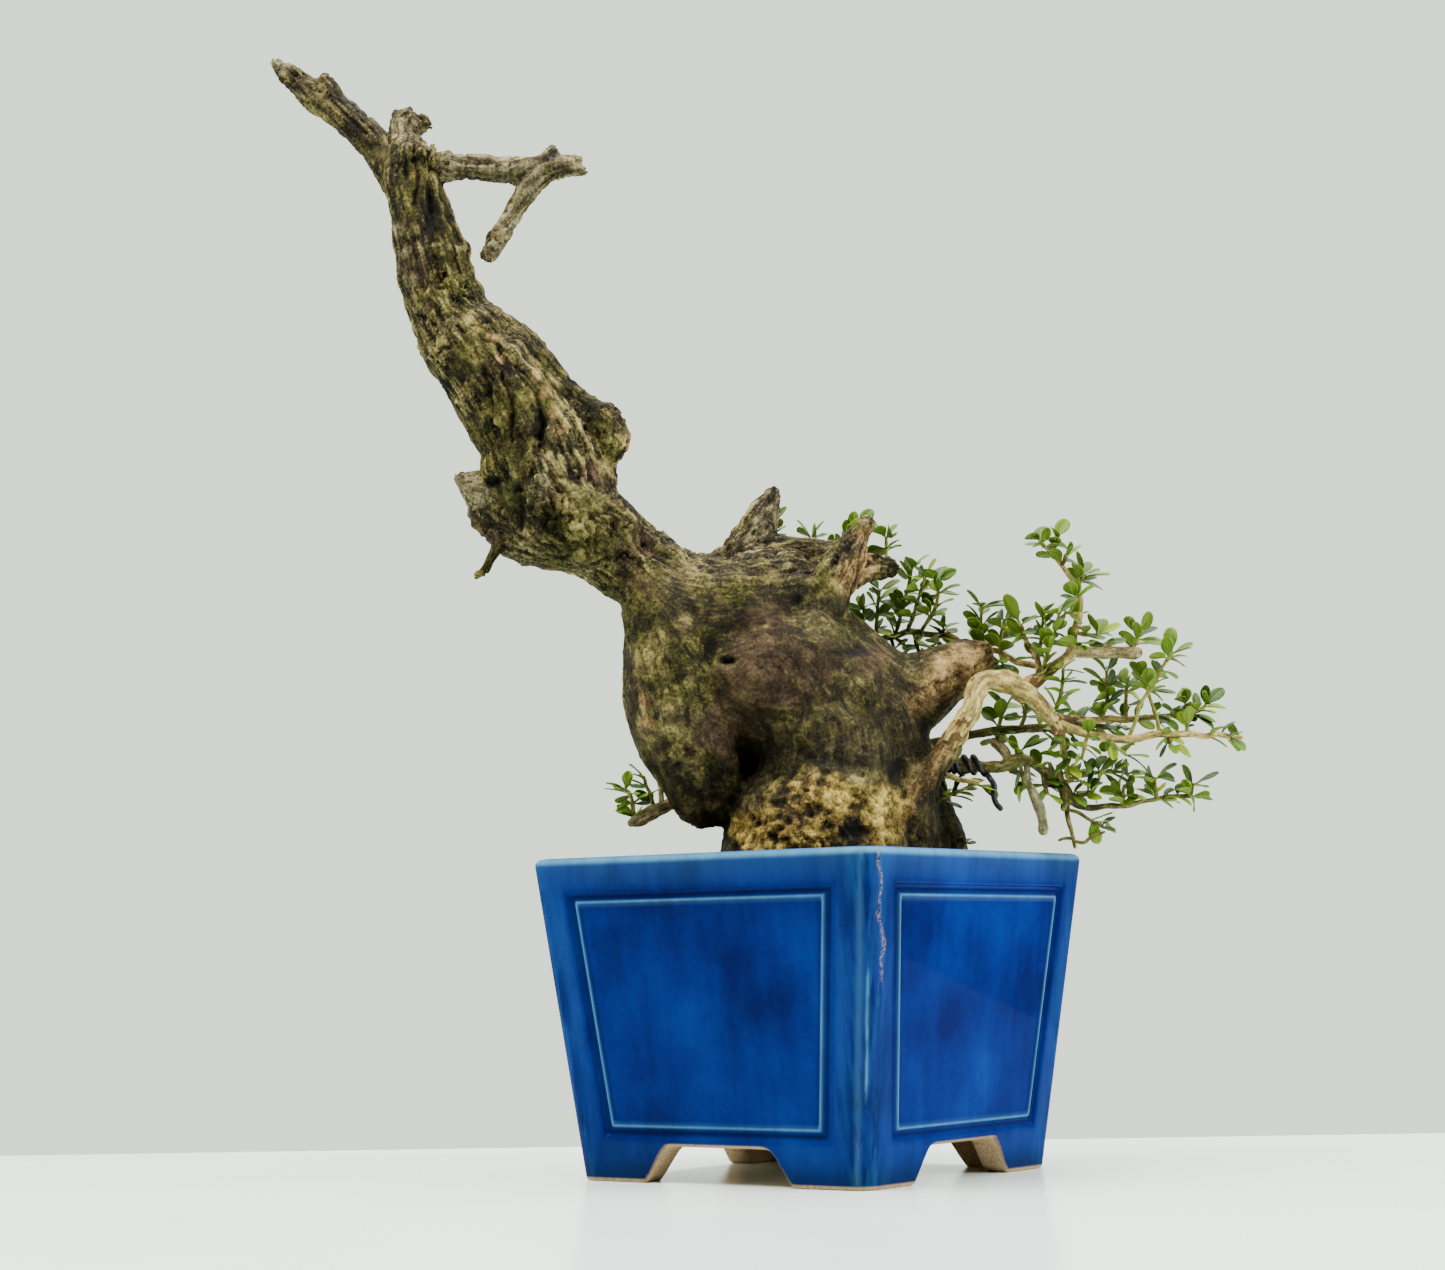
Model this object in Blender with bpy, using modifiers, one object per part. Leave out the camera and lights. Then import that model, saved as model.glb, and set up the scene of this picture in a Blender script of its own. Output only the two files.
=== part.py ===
"""Wild olive bonsai: a collected trunk with deadwood and leafy right-hand branches, in a square glazed pot."""
import math

import bmesh
import bpy
import numpy as np
from mathutils import Matrix, Vector

MM = 0.001
GAP = 0.3

# Pot, in millimetres
POT_TOP = 180.0
POT_BOTTOM = 149.0
POT_HEIGHT = 139.0
POT_WALL = 9.0
POT_CORNER = 9.0
FOOT_HEIGHT = 15.5
FLOOR_THICKNESS = 11.0
FOOT_WALL = 12.0
OPENING_LOW = 76.0
OPENING_HIGH = 54.0
DRAIN_HOLE = 22.0
PANEL_LOW = 19.5
PANEL_HIGH = 124.0
PANEL_MARGIN = 19.0
PANEL_DEPTH = 1.6
BEAD_INSET = 3.6
BEAD_WIDTH = 1.8
BEAD_HEIGHT = 1.2

# What the pot holds
GRIT_TOP = 45.0
SOIL_EDGE = 132.0
MOUND_RADIUS = 72.0
MOUND_RISE = 8.0
ROOT_GAP = 0.9
MESH_SIZE = 30.0
MESH_CELLS = 6
MESH_BAR = 0.9
CLIP_WIRE = 1.2

# The tree is laid out as it is seen from its front: across and up, in millimetres on the upright plane
# through the pot's axis, then toward the viewer along the line of sight.
FRONT_AZIMUTH = math.radians(34.0)
EYE_DISTANCE = 1305.0
EYE_HEIGHT = 95.0

# Skin of the trunk, in millimetres
TRUNK_GRAIN = 2.6
TRUNK_KEEP = 0.075

# Limbs of the trunk: across, up, toward, radius
TRUNK_LIMBS = {
    "column": ((-177, 461, 0, 10.5), (-177, 452, 0, 12), (-174, 440, 0, 13), (-171, 425, 0, 14.5),
               (-167.5, 410, 0, 15.5), (-164, 397, 0, 15.5), (-159, 385, 0, 17), (-151, 372, 0, 20),
               (-139, 358, 0, 22), (-128, 343, 0, 24), (-121, 328, 0, 26), (-117, 312, 0, 28), (-112, 297, 2, 27)),
    "top_fragment": ((-179.5, 466, -3, 6.5), (-180.5, 478, -3, 6), (-176, 478, -3, 5), (-173.5, 476, -3, 3.5)),
    "shoulder": ((-153, 378, 0, 11), (-142, 375.5, 0, 12), (-131, 368, 0, 12.5), (-121, 355.5, 0, 14),
                 (-110, 341, 0, 14), (-99, 318, 0, 14), (-98.5, 303, 0, 13.5), (-91, 289, 0, 14.5),
                 (-78, 271, 0, 14.5)),
    "shoulder_knob": ((-104, 338, 2, 12), (-93, 336, 3, 10.5), (-87.5, 326, 4, 8.5)),
    "horn": ((-180, 447, -3, 9), (-189.5, 462.5, -5, 7.6), (-196.5, 471.5, -6, 7.4), (-204.5, 480, -7, 7.8),
             (-213, 487, -8, 7.6), (-221.5, 492.5, -9, 6.8), (-229.5, 498.5, -10, 5.2), (-235.5, 503, -11, 3.4),
             (-239.5, 508.5, -11, 1.8)),
    "horn_tip": ((-228, 499, -9, 4), (-233.5, 505.5, -8, 2.4)),
    "horn_knob": ((-213, 493, -6, 5), (-216.5, 499.5, -5, 3.4)),
    "dead_branch": ((-170, 455, 0, 8), (-161, 457, 0, 6.4), (-150, 456.7, 1, 6), (-140, 455.5, 2, 6),
                    (-130, 454.5, 3, 6.4), (-121, 454.5, 4, 6.6), (-111, 455.5, 5, 5.8), (-104, 455.5, 6, 4.2),
                    (-98, 453.5, 6, 2.2)),
    "dead_branch_tip": ((-108, 458, 5, 3.6), (-99.5, 459.5, 5, 1.8)),
    "dead_branch_knob": ((-114, 459, 4, 4), (-112, 463, 4, 2.8)),
    "hanging_stub": ((-120, 451, 4, 7), (-124, 445, 5, 5.6), (-128.5, 438, 6, 4.4), (-133, 430, 7, 4),
                     (-138, 421.5, 8, 3.8), (-141.5, 415.8, 8, 3.8)),
    "hanging_nub": ((-137, 423, 8, 3.4), (-140, 424.5, 9, 2.6)),
    "broken_lobe": ((-132, 300, 0, 17), (-142, 305, 1, 12.5), (-150, 309, 2, 7), (-156.5, 313.5, 2, 2.2)),
    "lobe_foot": ((-140, 305, 1, 11), (-143.5, 297, 2, 7.5), (-139, 289, 3, 7)),
    "spike": ((-134, 294, 6, 6), (-137.5, 285, 8, 4.6), (-141, 277, 9, 3.3), (-145, 270.5, 9, 2.6),
              (-148.5, 268, 9, 1.8)),
    "elbow": ((-124, 292, 0, 20), (-108, 289, 2, 20), (-94, 287, 2, 20), (-78, 270, 2, 18)),
    "burl": ((-113, 298, 10, 20), (-101, 288, 12, 18), (-88, 283, 8, 16)),
    "small_knob": ((-123, 305, 18, 9), (-119, 309, 22, 4)),
    "underside_nub": ((-84, 261, 2, 5), (-90, 260.5, 2, 2.8)),
    "neck": ((-80, 272, 0, 17), (-66, 262, 0, 19), (-52, 252, 0, 24)),
    "neck_lump": ((-68, 277, 2, 9.5), (-63, 275, 2, 8)),
    "crease_floor": ((-24, 206, -4, 18), (-25, 188, -7, 13), (-23, 170, -6, 12), (-16, 152, -4, 14)),
    "left_leg": ((-66, 262, 2, 20), (-60, 246, 6, 23), (-58, 228, 10, 25), (-57, 212, 13, 25),
                 (-54, 197, 14, 24.5), (-49, 181, 14, 20), (-46, 168, 13, 16.5)),
    "upper_body": ((-50, 244, 0, 31), (-28, 244, 0, 35), (-14, 249, 0, 30)),
    "middle_body": ((-40, 222, 2, 34), (-10, 218, 2, 38), (6, 212, 2, 36)),
    "first_stub": ((-28, 270, -4, 16), (-22, 285, -5, 10), (-17.5, 296, -6, 6.2), (-14, 303, -6, 4)),
    "first_stub_edge": ((-18, 272, -3, 12), (0, 272, -3, 10.5), (14, 272, -3, 8)),
    "second_stub": ((4, 246, 10, 15), (10, 258, 14, 11), (17, 270, 15, 8.5), (23, 280, 15, 6),
                    (27.5, 287.5, 15, 3.6)),
    "broken_stub": ((8, 262, -8, 12), (20, 267, -9, 8), (30, 268, -9, 6.5), (36.5, 267.5, -9, 5.6)),
    "saddle": ((8, 226, 0, 26), (28, 214, 2, 21), (45, 210, 1, 18), (60, 218, 0, 14.5), (71, 224.5, -1, 10.5)),
    "cut_stump_lip": ((74, 229, -1, 6), (79, 229, -1, 4.5)),
    "base_cone": ((4, 96, 4, 40), (3, 125, 6, 45), (3, 141, 8, 43.5), (5, 156, 10, 39.5), (9, 174, 10, 33),
                  (8, 196, 6, 32)),
    "right_flank": ((30, 200, 2, 24), (36, 184, 2, 19), (40, 168, 2, 17), (40, 150, 0, 19)),
    "dark_root": ((44, 186, -6, 12), (47.5, 172, -9, 12), (51, 160, -11, 12.5), (54, 150, -13, 13.5),
                  (56, 138, -14, 14), (60, 118, -14, 12)),
    "rib": ((36, 148, 12, 10), (41, 158, 14, 9), (46, 165, 15, 8), (52, 172, 16, 7.2), (58, 180, 17, 6.4),
            (61.5, 185.5, 17.5, 5.8)),
    "left_root": ((-20, 142, 14, 16), (-34, 130, 16, 12), (-46, 112, 16, 9)),
    "front_root": ((6, 140, 30, 14), (12, 118, 44, 11), (16, 96, 50, 8)),
    "back_root": ((0, 138, -24, 16), (-8, 116, -42, 12), (-12, 92, -52, 8)),
    "right_root": ((44, 130, 14, 13), (54, 108, 20, 10), (58, 88, 22, 7)),
}

# Branches: what each grows from, its run (across, up, toward, radius), the leaves that stand on it, and its
# spurs. A spur is a run and its leaves; a leaf is (point of the run, tip across, tip up, how open the blade
# is seen).
BRANCHES = {
    "right_branch": ("trunk", (
        (60.5, 184, 17.5, 4.4), (63, 188, 18, 4.8), (68, 196, 18, 4.8), (72.5, 203, 18, 4.6), (74.5, 210, 17, 4.4),
        (78, 215.5, 16, 4.3), (86, 215.7, 14, 4.5), (92, 213.8, 13, 4.8), (98, 210, 12, 4.2), (101.6, 206.7, 12, 3.4),
        (105.1, 202.9, 12, 3), (108.1, 199.2, 12, 2.9), (110.8, 195.8, 12, 2.8), (116.6, 194.2, 13, 2.2),
        (122.7, 191.7, 14, 2), (128.9, 190.2, 15, 1.9), (134, 189.4, 15, 1.9), (142, 188.8, 14, 1.8),
        (150, 189.8, 13, 1.7), (156, 190.8, 12, 1.6), (165, 190.7, 11, 1.5), (171, 190.4, 10, 1.4),
        (176, 189.3, 10, 1.3), (181, 190.3, 9, 1.2), (187, 189.2, 8, 1.1), (192, 188.6, 8, 0.9)), (
        (25, 187.6, 194.2, .45), (24, 191.9, 182.2, .7)), (
        (((159.8, 190, 11), (160.2, 188, 12), (161, 185.6, 12)), ((2, 170.4, 181, .65), (0, 156, 192.3, .4))),)),
    "rising_branch": ("right_branch", (
        (97, 211.5, 12, 3.2), (99, 214, 12, 3.2), (102.1, 216, 12, 2.8), (107.1, 219.5, 13, 2.5),
        (112.2, 223.2, 13, 2.4), (116, 226, 13, 2.4), (118.5, 229, 13, 2.3), (118.5, 233.7, 13, 2.1),
        (120.1, 238.8, 12, 1.9), (121.8, 244.8, 11, 1.6), (122.5, 251.4, 10, 1.5), (121.6, 257, 9, 1.3),
        (118.3, 262.2, 8, 1.1), (114.9, 267.3, 7, 1), (111, 272.4, 6, 0.9), (108, 275.5, 5, 0.75),
        (105.5, 277.5, 5, 0.6)), (), (
        (((114.9, 267.3, 7), (116, 269.5, 8), (116.5, 272, 8)), ((1, 122.3, 270, .55), (2, 119.3, 274.9, .5))),
        (((122.5, 251.4, 10), (120.8, 252.5, 12)), (
            (1, 116.2, 258.8, .9), (1, 128.2, 256.6, .35), (1, 119.5, 247.5, .5))),
        (((118.5, 231.5, 13), (122, 232, 16)), ((1, 126.8, 231, .4), (1, 112, 233.5, .7))))),
    "dead_stub": ("rising_branch", (
        (117.5, 228.8, 13, 2.2), (122, 228.2, 13, 2.6), (130, 227.8, 12, 2.5), (138, 227.6, 11, 2.5),
        (146.8, 227.5, 10, 2.5)), (), (
        (((131.5, 227.8, 12), (132, 230, 12), (133.5, 231.8, 13)), ((2, 127, 232, .5), (2, 141.3, 231.5, .5))),)),
    "second_arm": ("right_branch", (
        (109.5, 197.2, 12, 1.8), (111.8, 198.5, 9, 1.8), (117.4, 198.4, 6, 1.7), (123.5, 197.7, 4, 1.6),
        (129.1, 197.6, 2, 1.6), (134.2, 198.3, 1, 1.6), (141.5, 197.5, 0, 1.5), (153.5, 198.5, -1, 1.4),
        (164.2, 199.2, -2, 1.2), (168, 199.5, -2, 1.1)), ((8, 158.8, 204, .15),), (
        (((166.5, 200.5, -2), (168, 203.5, -2)), ((1, 167.6, 211.8, .85), (1, 164, 206.5, .6))),)),
    "straight_branch": ("trunk", (
        (50, 187, -8, 2.6), (60, 189, -8, 2.4), (69, 191.3, -8, 2.1), (75.8, 192.4, -7, 2), (83.7, 193.8, -5, 2),
        (91.8, 193.9, -4, 2), (100.3, 194.4, -4, 1.9), (107.8, 194.6, -5, 1.8), (120, 196, -6, 1.4),
        (132, 194.5, -9, 1.1), (138, 194, -10, 0.9)), (
        (8, 123.8, 193, .5), (9, 135.5, 191.7, .6), (10, 141.3, 195.5, .6), (10, 140.5, 191.9, .5),
        (9, 129.5, 192.3, .5)), (
        (((84, 193.6, -5), (84.5, 190.8, -2)), ((1, 92, 186.3, .4), (1, 77.5, 187.6, .4))),)),
    "low_branch": ("trunk", (
        (49, 177, 0, 3.6), (54, 178.6, 3, 3.4), (58, 180, 4, 3.2), (61.6, 180.2, 5, 2.9), (67, 178.3, 6, 2.7),
        (72.7, 178.7, 7, 2.6), (78.2, 177.6, 8, 2.5), (83.7, 177.5, 9, 2.4), (88.7, 178.3, 10, 2.2),
        (94.3, 179.3, 10, 2), (98, 179.2, 10, 2), (102.3, 176.8, 9, 2), (107.1, 173, 8, 2.1), (111.3, 169.4, 8, 2.2),
        (114, 166.3, 8, 2.2), (115.5, 163, 8, 1.9), (119.5, 159.6, 8, 1.5), (125.8, 158.4, 8, 1.5),
        (131.7, 159.2, 8, 1.3), (140.4, 159.2, 8, 1.2), (146.7, 160.9, 7, 1.1), (153, 161.8, 6, 1),
        (159.8, 163.1, 5, 0.95), (169, 163, 4, 0.85)), (
        (23, 179.1, 162, .45), (23, 162.8, 166.2, .5), (23, 171.3, 157.2, .4)), (
        (((169.6, 165.5, 4), (170, 168, 4)), ((1, 166.4, 177, .35), (1, 181.6, 173.3, .3), (1, 177.5, 167.3, .15))),
        (((114.8, 164.8, 8), (120.5, 164.2, 10), (124.5, 165.3, 10), (127.5, 168.5, 10), (129, 172.3, 10)), (
            (2, 128.3, 161.8, .6),)),
        (((103, 176.4, 9), (104.5, 169.5, 11), (105.5, 165.5, 11)), (
            (1, 98.8, 168, .35), (2, 110.3, 160, .5), (1, 111, 166.5, .3))))),
    "down_twig": ("low_branch", (
        (115.2, 163.6, 8.5, 1.4), (113.9, 158, 10, 1.2), (114.6, 153, 11, 1.1), (115.8, 148.4, 11, 1),
        (117.1, 141.5, 12, 0.8)), (), (
        (((116.8, 143.8, 12), (121.2, 143.2, 13), (124.7, 145.8, 13), (130, 147.6, 13)), ()),
        (((115, 158, 9.5), (119, 156.5, 10), (123, 153.8, 11), (127, 151.5, 11), (130, 149.8, 11)), (
            (4, 135.5, 149.3, .75),)),
        (((116.3, 145.6, 11.5), (113, 145.2, 11), (110.5, 144.5, 11)), ()))),
    "hanging_twig": ("low_branch", (
        (96.5, 179, 10, 1.3), (97.5, 170, 13, 1.5), (99.6, 165, 14, 1.6), (102.2, 158, 15, 1.8),
        (103.2, 152, 15, 1.7), (103.4, 149, 15, 1.9)), (), ()),
    "fork_twig": ("rising_branch", (
        (102.8, 216.6, 12, 1.4), (103.3, 223.5, 13, 1.4), (101.5, 227.5, 12, 1.3), (99.3, 231, 10, 1.2),
        (97, 236, 8, 1.1), (96, 240, 7, 1)), (), (
        (((97.5, 235, 9), (96.3, 238, 8), (95.6, 241, 8)), (
            (2, 88.8, 255, .6), (2, 102.3, 243, .4), (1, 106.2, 237.3, .6), (1, 100.8, 235.8, .6), (1, 92, 237, .5),
            (0, 91, 232, .4))),
        (((102, 226.5, 12), (104, 231, 10), (105, 238, 9), (106, 245, 9)), (
            (3, 97, 243, .15), (3, 112, 241.5, .15), (1, 108.5, 235.2, .15))))),
    "back_branch": ("trunk", (
        (16, 226, -16, 2.2), (22, 231, -18, 2), (27.5, 233.5, -20, 1.7), (35, 236, -21, 1.5), (40, 236.8, -21, 1.5),
        (45, 238.8, -21, 1.6), (50, 238.2, -20, 1.6), (57, 237, -18, 1.5), (62, 237, -16, 1.5), (66.5, 235, -14, 1.4),
        (70.5, 232.3, -12, 1.3), (77, 230.5, -11, 1.3), (84.5, 229.5, -10, 1.3), (89.5, 227, -8, 1.4),
        (93.5, 224.3, -6, 1.5), (100, 223, -2, 1.5), (103, 222, 1, 1.4)), (), (
        (((60, 237, -17), (61.5, 239.5, -13)), ((1, 68.5, 243.3, .4), (1, 57.5, 243, .3))),
        (((58, 237, -17.5), (59, 232.5, -14)), ((1, 62.5, 232, .6), (1, 54, 234.5, .5), (1, 66, 231.5, .4))),
        (((38, 236.5, -21), (39, 231, -17)), ((1, 41.5, 226.5, .7), (1, 44.5, 233.5, .4), (1, 34.5, 229, .4))))),
    "pale_stub": ("low_branch", (
        (89, 178.3, 10, 2), (88, 183, 4, 2.2), (85, 186.5, 1, 2.3), (82.5, 188.5, -1, 2.2)), (), ()),
    "left_stub": ("trunk", (
        (-54, 165.5, 10, 2.8), (-60, 164, 12, 3), (-66, 161.5, 14, 3), (-71, 159.5, 15, 3.4), (-76, 157, 16, 3.2),
        (-79.5, 155.5, 16, 2.2)), (), (
        (((-66, 161.5, 14, 1.3), (-66.5, 170, 13, 1.2), (-67.5, 174.5, 13, 1)), ()),)),
    "under_twig": ("trunk", (
        (48, 175, -2, 1.6), (52, 174.5, 4, 1.4), (56.5, 173.5, 8, 1.3), (61.8, 173.8, 11, 1.3), (66.8, 172, 12, 1.2),
        (74.7, 171, 13, 1)), (), ()),
}

# Leafy shoots: what each grows from, then its runs (across, up, toward) with their leaves. The second and later
# runs start on the first.
SHOOTS = {
    "arch_shoot_1": ("back_branch", ((((24, 236, -21), (25, 243, -24), (26, 250, -25)), (
        (2, 18, 251, .6), (1, 20, 248.8, .5), (2, 30.5, 252.5, .25), (1, 30, 246.5, .35), (2, 22.5, 255, .5))),)),
    "arch_shoot_2": ("back_branch", (((
        (30.5, 235, -20), (31.3, 241, -20), (31.7, 247, -20), (32.3, 253, -20), (33, 257.5, -20)), (
        (0, 25.5, 241, .7), (0, 24, 234.5, .6), (1, 37, 236.5, .7), (2, 38.5, 244.5, .6), (2, 25.8, 247.5, .4),
        (3, 38, 250, .6), (3, 36.5, 257, .5), (4, 42, 261, .55), (4, 30, 258.3, .3))),)),
    "arch_shoot_3": ("back_branch", (((
        (39.5, 237, -20), (41, 242, -19), (43, 249, -18), (45, 256, -18), (46.8, 263, -18), (47.5, 267, -18)), (
        (5, 44.5, 271.5, .3), (5, 46.3, 271, .7), (4, 41, 267.3, .45), (4, 42.5, 270, .25), (5, 51.3, 270.7, .25),
        (4, 49.5, 261, .6), (3, 49, 258, .7), (2, 38, 251.5, .6), (2, 48.5, 253, .5), (1, 36, 246, .6),
        (1, 46, 245, .7))),)),
    "arch_shoot_4": ("back_branch", (((
        (45, 239, -17), (47.5, 245, -15), (49.5, 251, -13), (51.5, 257, -12), (53.5, 263, -11)), (
        (4, 51.3, 268.5, .6), (4, 58.5, 270.2, .25), (4, 57, 267.5, .6), (3, 44.5, 257, .7), (3, 55.5, 259.5, .5),
        (2, 43.5, 253.5, .5), (2, 54, 249.5, .6), (1, 41, 247, .6), (1, 51, 249, .75))),)),
    "arch_shoot_5": ("back_branch", (((
        (51.5, 239.5, -14), (55.3, 245, -12), (58, 250, -10), (59.2, 256, -9), (59, 261.5, -8)), (
        (4, 62.5, 269, .8), (4, 67.5, 264.8, .8), (4, 66.5, 266.7, .25), (3, 69, 258.8, .3), (3, 68.8, 256, .45),
        (4, 53.5, 266, .7), (3, 53, 252.5, .5), (2, 65.5, 251.8, .25), (2, 51.5, 256, .6), (1, 61, 244.7, .2),
        (1, 60, 242.5, .2), (1, 49, 249, .6))),)),
    "arch_shoot_6": ("back_branch", ((((48, 237.5, -19), (49, 233, -17), (50, 229.5, -16)), (
        (1, 44, 231.5, .5), (1, 55.5, 232.5, .6), (2, 45, 227.5, .5), (2, 56, 229.5, .5))),)),
    "ridge_shoot_1": ("trunk", ((((-14, 270, -8), (-14.2, 279, -18), (-14.5, 284, -19), (-14.5, 288, -19)), (
        (3, -16.8, 292, .5), (3, -12.8, 291.5, .6), (2, -8.8, 289, .3), (2, -9.8, 284.8, .35), (2, -19, 289, .3))),)),
    "ridge_shoot_2": ("trunk", (
        (((9, 270, -5), (9, 271.5, -17), (3.5, 278, -19), (3, 282, -19)), (
            (3, -3.8, 286.5, .25), (3, 5, 285.8, .6), (3, 10.5, 285, .3), (3, 8, 281.5, .5))),
        (((9, 271.5, -17), (17, 277, -17), (17.5, 280, -16), (22, 284, -14), (26, 286.8, -12)), (
            (2, 14, 283, .35), (2, 19, 283, .5), (2, 12.8, 281.5, .3), (4, 19.6, 286.5, .6), (4, 22, 289.3, .5))))),
    "ridge_shoot_3": ("trunk", ((((34, 268.5, -9), (36, 272.5, -11), (36.5, 277, -12), (36.5, 281, -12)), (
        (2, 27.8, 275.8, .7), (2, 40.2, 276, .3), (2, 31, 274.3, .7), (3, 31.2, 285, .7), (3, 40.6, 283.6, .25),
        (3, 37.5, 285, .5))),)),
    "inner_shoot_1": ("back_branch", ((((78.4, 230.5, -9), (77.8, 238, -9), (78.2, 245, -9), (78.6, 249, -9)), (
        (3, 72.3, 257.5, .15), (3, 88.5, 249.2, .3), (3, 89, 252.3, .15), (3, 76, 249.8, .3), (0, 74.5, 239.1, .9),
        (0, 79, 236, .6), (1, 84.5, 242.5, .6))),)),
    "inner_shoot_2": ("back_branch", ((((86, 228.6, -8), (86.5, 234, -8), (87.5, 239, -8), (88.5, 243, -8)), (
        (3, 86.5, 247.8, .8), (3, 92, 246, .6), (2, 81, 243, .6), (2, 95, 240.5, .5), (1, 82, 237.5, .6),
        (1, 93, 237.5, .7), (1, 82, 232.5, .5))),)),
    "inner_shoot_3": ("rising_branch", (((
        (105.5, 221, 15), (107, 227, 16), (109, 231.5, 16), (110.5, 236, 16), (111.8, 241, 16), (113, 245.5, 16)), (
        (5, 116.5, 251.8, .6), (5, 120.5, 250.3, .6), (5, 106.8, 246, .35), (2, 116.5, 233.5, .7),
        (1, 104.3, 229.3, .6))),)),
    "inner_shoot_4": ("back_branch", ((((86.3, 229, -9), (87, 224.5, -7), (87, 223, -7)), (
        (2, 93.6, 218.7, .55), (1, 79.5, 226.5, .6), (2, 83, 221, .4))),)),
    "crown_shoot_1": ("rising_branch", ((((107, 276.5, 5), (105.6, 278.8, 5)), (
        (1, 106.8, 286.4, .85), (1, 99, 280, .5), (1, 112.2, 280.2, .4), (0, 102.7, 275.8, .45))),)),
    "crown_shoot_2": ("rising_branch", ((((110.5, 273.5, 6), (111.5, 276.5, 7), (112.6, 279.3, 7)), (
        (2, 118, 288.8, .95), (2, 110.3, 283, .2), (1, 113.5, 277.7, .15), (1, 119, 275.6, .6),
        (0, 105.2, 272.8, .5))),)),
    "crown_shoot_3": ("rising_branch", ((((121.3, 257.5, 9), (123, 260, 10), (124.3, 262.5, 11)), (
        (2, 127, 269.9, .9), (2, 121.7, 273.5, .3), (1, 117.2, 265.8, .45), (2, 136.2, 262.7, .3),
        (1, 133.3, 256.5, .4))),)),
    "crown_shoot_4": ("rising_branch", ((((121.5, 244.5, 11), (118.5, 245.8, 13), (116, 246.3, 14)), (
        (2, 113.8, 251.7, .7), (1, 120.8, 250.6, .7), (2, 114.3, 241.5, .6), (1, 121, 240, .6),
        (0, 125.5, 247, .5))),)),
    "crown_shoot_5": ("rising_branch", ((((120.5, 237, 13), (125, 236, 14), (130, 235.8, 15)), (
        (2, 133.4, 243.9, .95), (2, 125.8, 244.8, .35), (2, 137, 236.5, .6), (1, 122, 238.5, .6), (1, 127, 241, .4),
        (2, 140, 239.4, .55), (1, 131.8, 232.8, .5))),)),
    "stub_shoot": ("dead_stub", ((((145.8, 229.5, 10), (147.3, 233.5, 10), (148.4, 236.3, 10)), (
        (2, 142.3, 243.5, .55), (2, 153.4, 244.8, .75), (1, 140.5, 236.5, .4), (1, 159.6, 231, .6))),)),
    "tall_riser": ("right_branch", (((
        (142.8, 190.5, 14), (146, 197.5, 15), (148, 204.5, 15), (151.3, 209, 15), (155, 214, 15), (157.5, 219.5, 15),
        (161, 224.5, 15), (163, 226.9, 15)), (
        (7, 162.6, 238.8, .9), (7, 171.1, 229.8, .4), (7, 159.3, 230.8, .5), (6, 152.3, 225.8, .5),
        (6, 169, 221.8, .35), (5, 163.3, 214.7, .45))),)),
    "middle_shoot_1": ("right_branch", (((
        (110.5, 203, 12), (111.8, 206.5, 12), (113, 210, 13), (113.8, 215, 13), (114.2, 220.5, 13)), (
        (4, 119.5, 225.8, .55), (4, 109.5, 221.2, .2), (4, 124, 219.5, .2), (3, 104.6, 216.2, .25),
        (3, 125, 214.6, .3), (2, 105, 211.3, .15), (1, 118.8, 202.3, .5), (2, 120.5, 210.5, .3),
        (3, 119, 217.5, .4))),)),
    "middle_shoot_2": ("second_arm", (((
        (131, 198.3, 1), (132.5, 203, 1), (133.5, 207, 1), (133.3, 213, 0), (133.5, 219, -1)), (
        (2, 132, 217, .95), (3, 136.3, 218.3, .5), (4, 137.8, 223.5, .5), (4, 126, 225.6, .15), (3, 123, 221, .15),
        (1, 126.5, 203.5, .6), (1, 139.3, 201, .6), (2, 127.5, 206.5, .6), (3, 127, 214.2, .3))),)),
    "middle_shoot_3": ("right_branch", (((
        (156, 192.2, 12), (155, 198.5, 10), (152.9, 205, 9), (151.5, 210.5, 9), (150.9, 216.8, 9)), (
        (4, 144.3, 223.3, .5), (4, 160.5, 218.3, .75), (3, 157.4, 213.3, .3), (3, 163.9, 209, .35),
        (3, 158.9, 206.5, .4), (3, 143.5, 213.5, .4))),)),
    "middle_shoot_4": ("second_arm", ((((141, 198, -1), (141.5, 204, -1), (142, 210, -1), (142, 212.5, -1)), (
        (3, 141.6, 221.2, .75), (2, 149.5, 213, .5), (2, 148.8, 207, .6), (1, 148.5, 204.5, .4), (0, 143.5, 204, .5),
        (3, 136.8, 214.2, .4))),)),
    "middle_shoot_5": ("right_branch", (((
        (168.3, 192.3, 10), (168.5, 196, 8), (170.5, 199.5, 6), (174, 201, 5), (176.8, 203, 5)), (
        (4, 185.4, 210.8, .8), (4, 176.3, 208, .4), (4, 186.7, 202.3, .4), (3, 179.4, 199, .25), (2, 181.5, 195.8, .4),
        (2, 180, 192.5, .5), (3, 169.3, 204, .6))),)),
    "low_shoot_1": ("low_branch", (((
        (115.5, 171, 9), (119.5, 172.6, 9), (124, 173.2, 9), (128.5, 174.3, 9), (134, 174.4, 9), (139.5, 174, 9),
        (142.5, 172, 9)), (
        (3, 131.6, 182.3, .7), (3, 136.8, 180.5, .6), (1, 127, 176, .5), (4, 141, 176.5, .4), (6, 140.7, 180, .5),
        (4, 140, 169.3, .35), (6, 150.3, 174.9, .6), (6, 152, 169.2, .3), (5, 139, 168.3, .3))),)),
    "low_shoot_2": ("right_branch", ((((133, 188.3, 15), (137, 185.3, 16), (140.8, 182, 16)), (
        (2, 142.3, 187.3, .8), (2, 150.3, 180.3, .25), (2, 150, 175.2, .15), (0, 134.5, 183.8, .5))),)),
    "low_shoot_3": ("right_branch", ((((124, 190.2, 16), (122.6, 185.5, 16), (121.3, 180.8, 15)), (
        (1, 130.3, 178.4, .15), (1, 115.5, 186.5, .35), (2, 115.8, 182.3, .5), (2, 117, 178.2, .6),
        (1, 117.8, 189.2, .2))),)),
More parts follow.
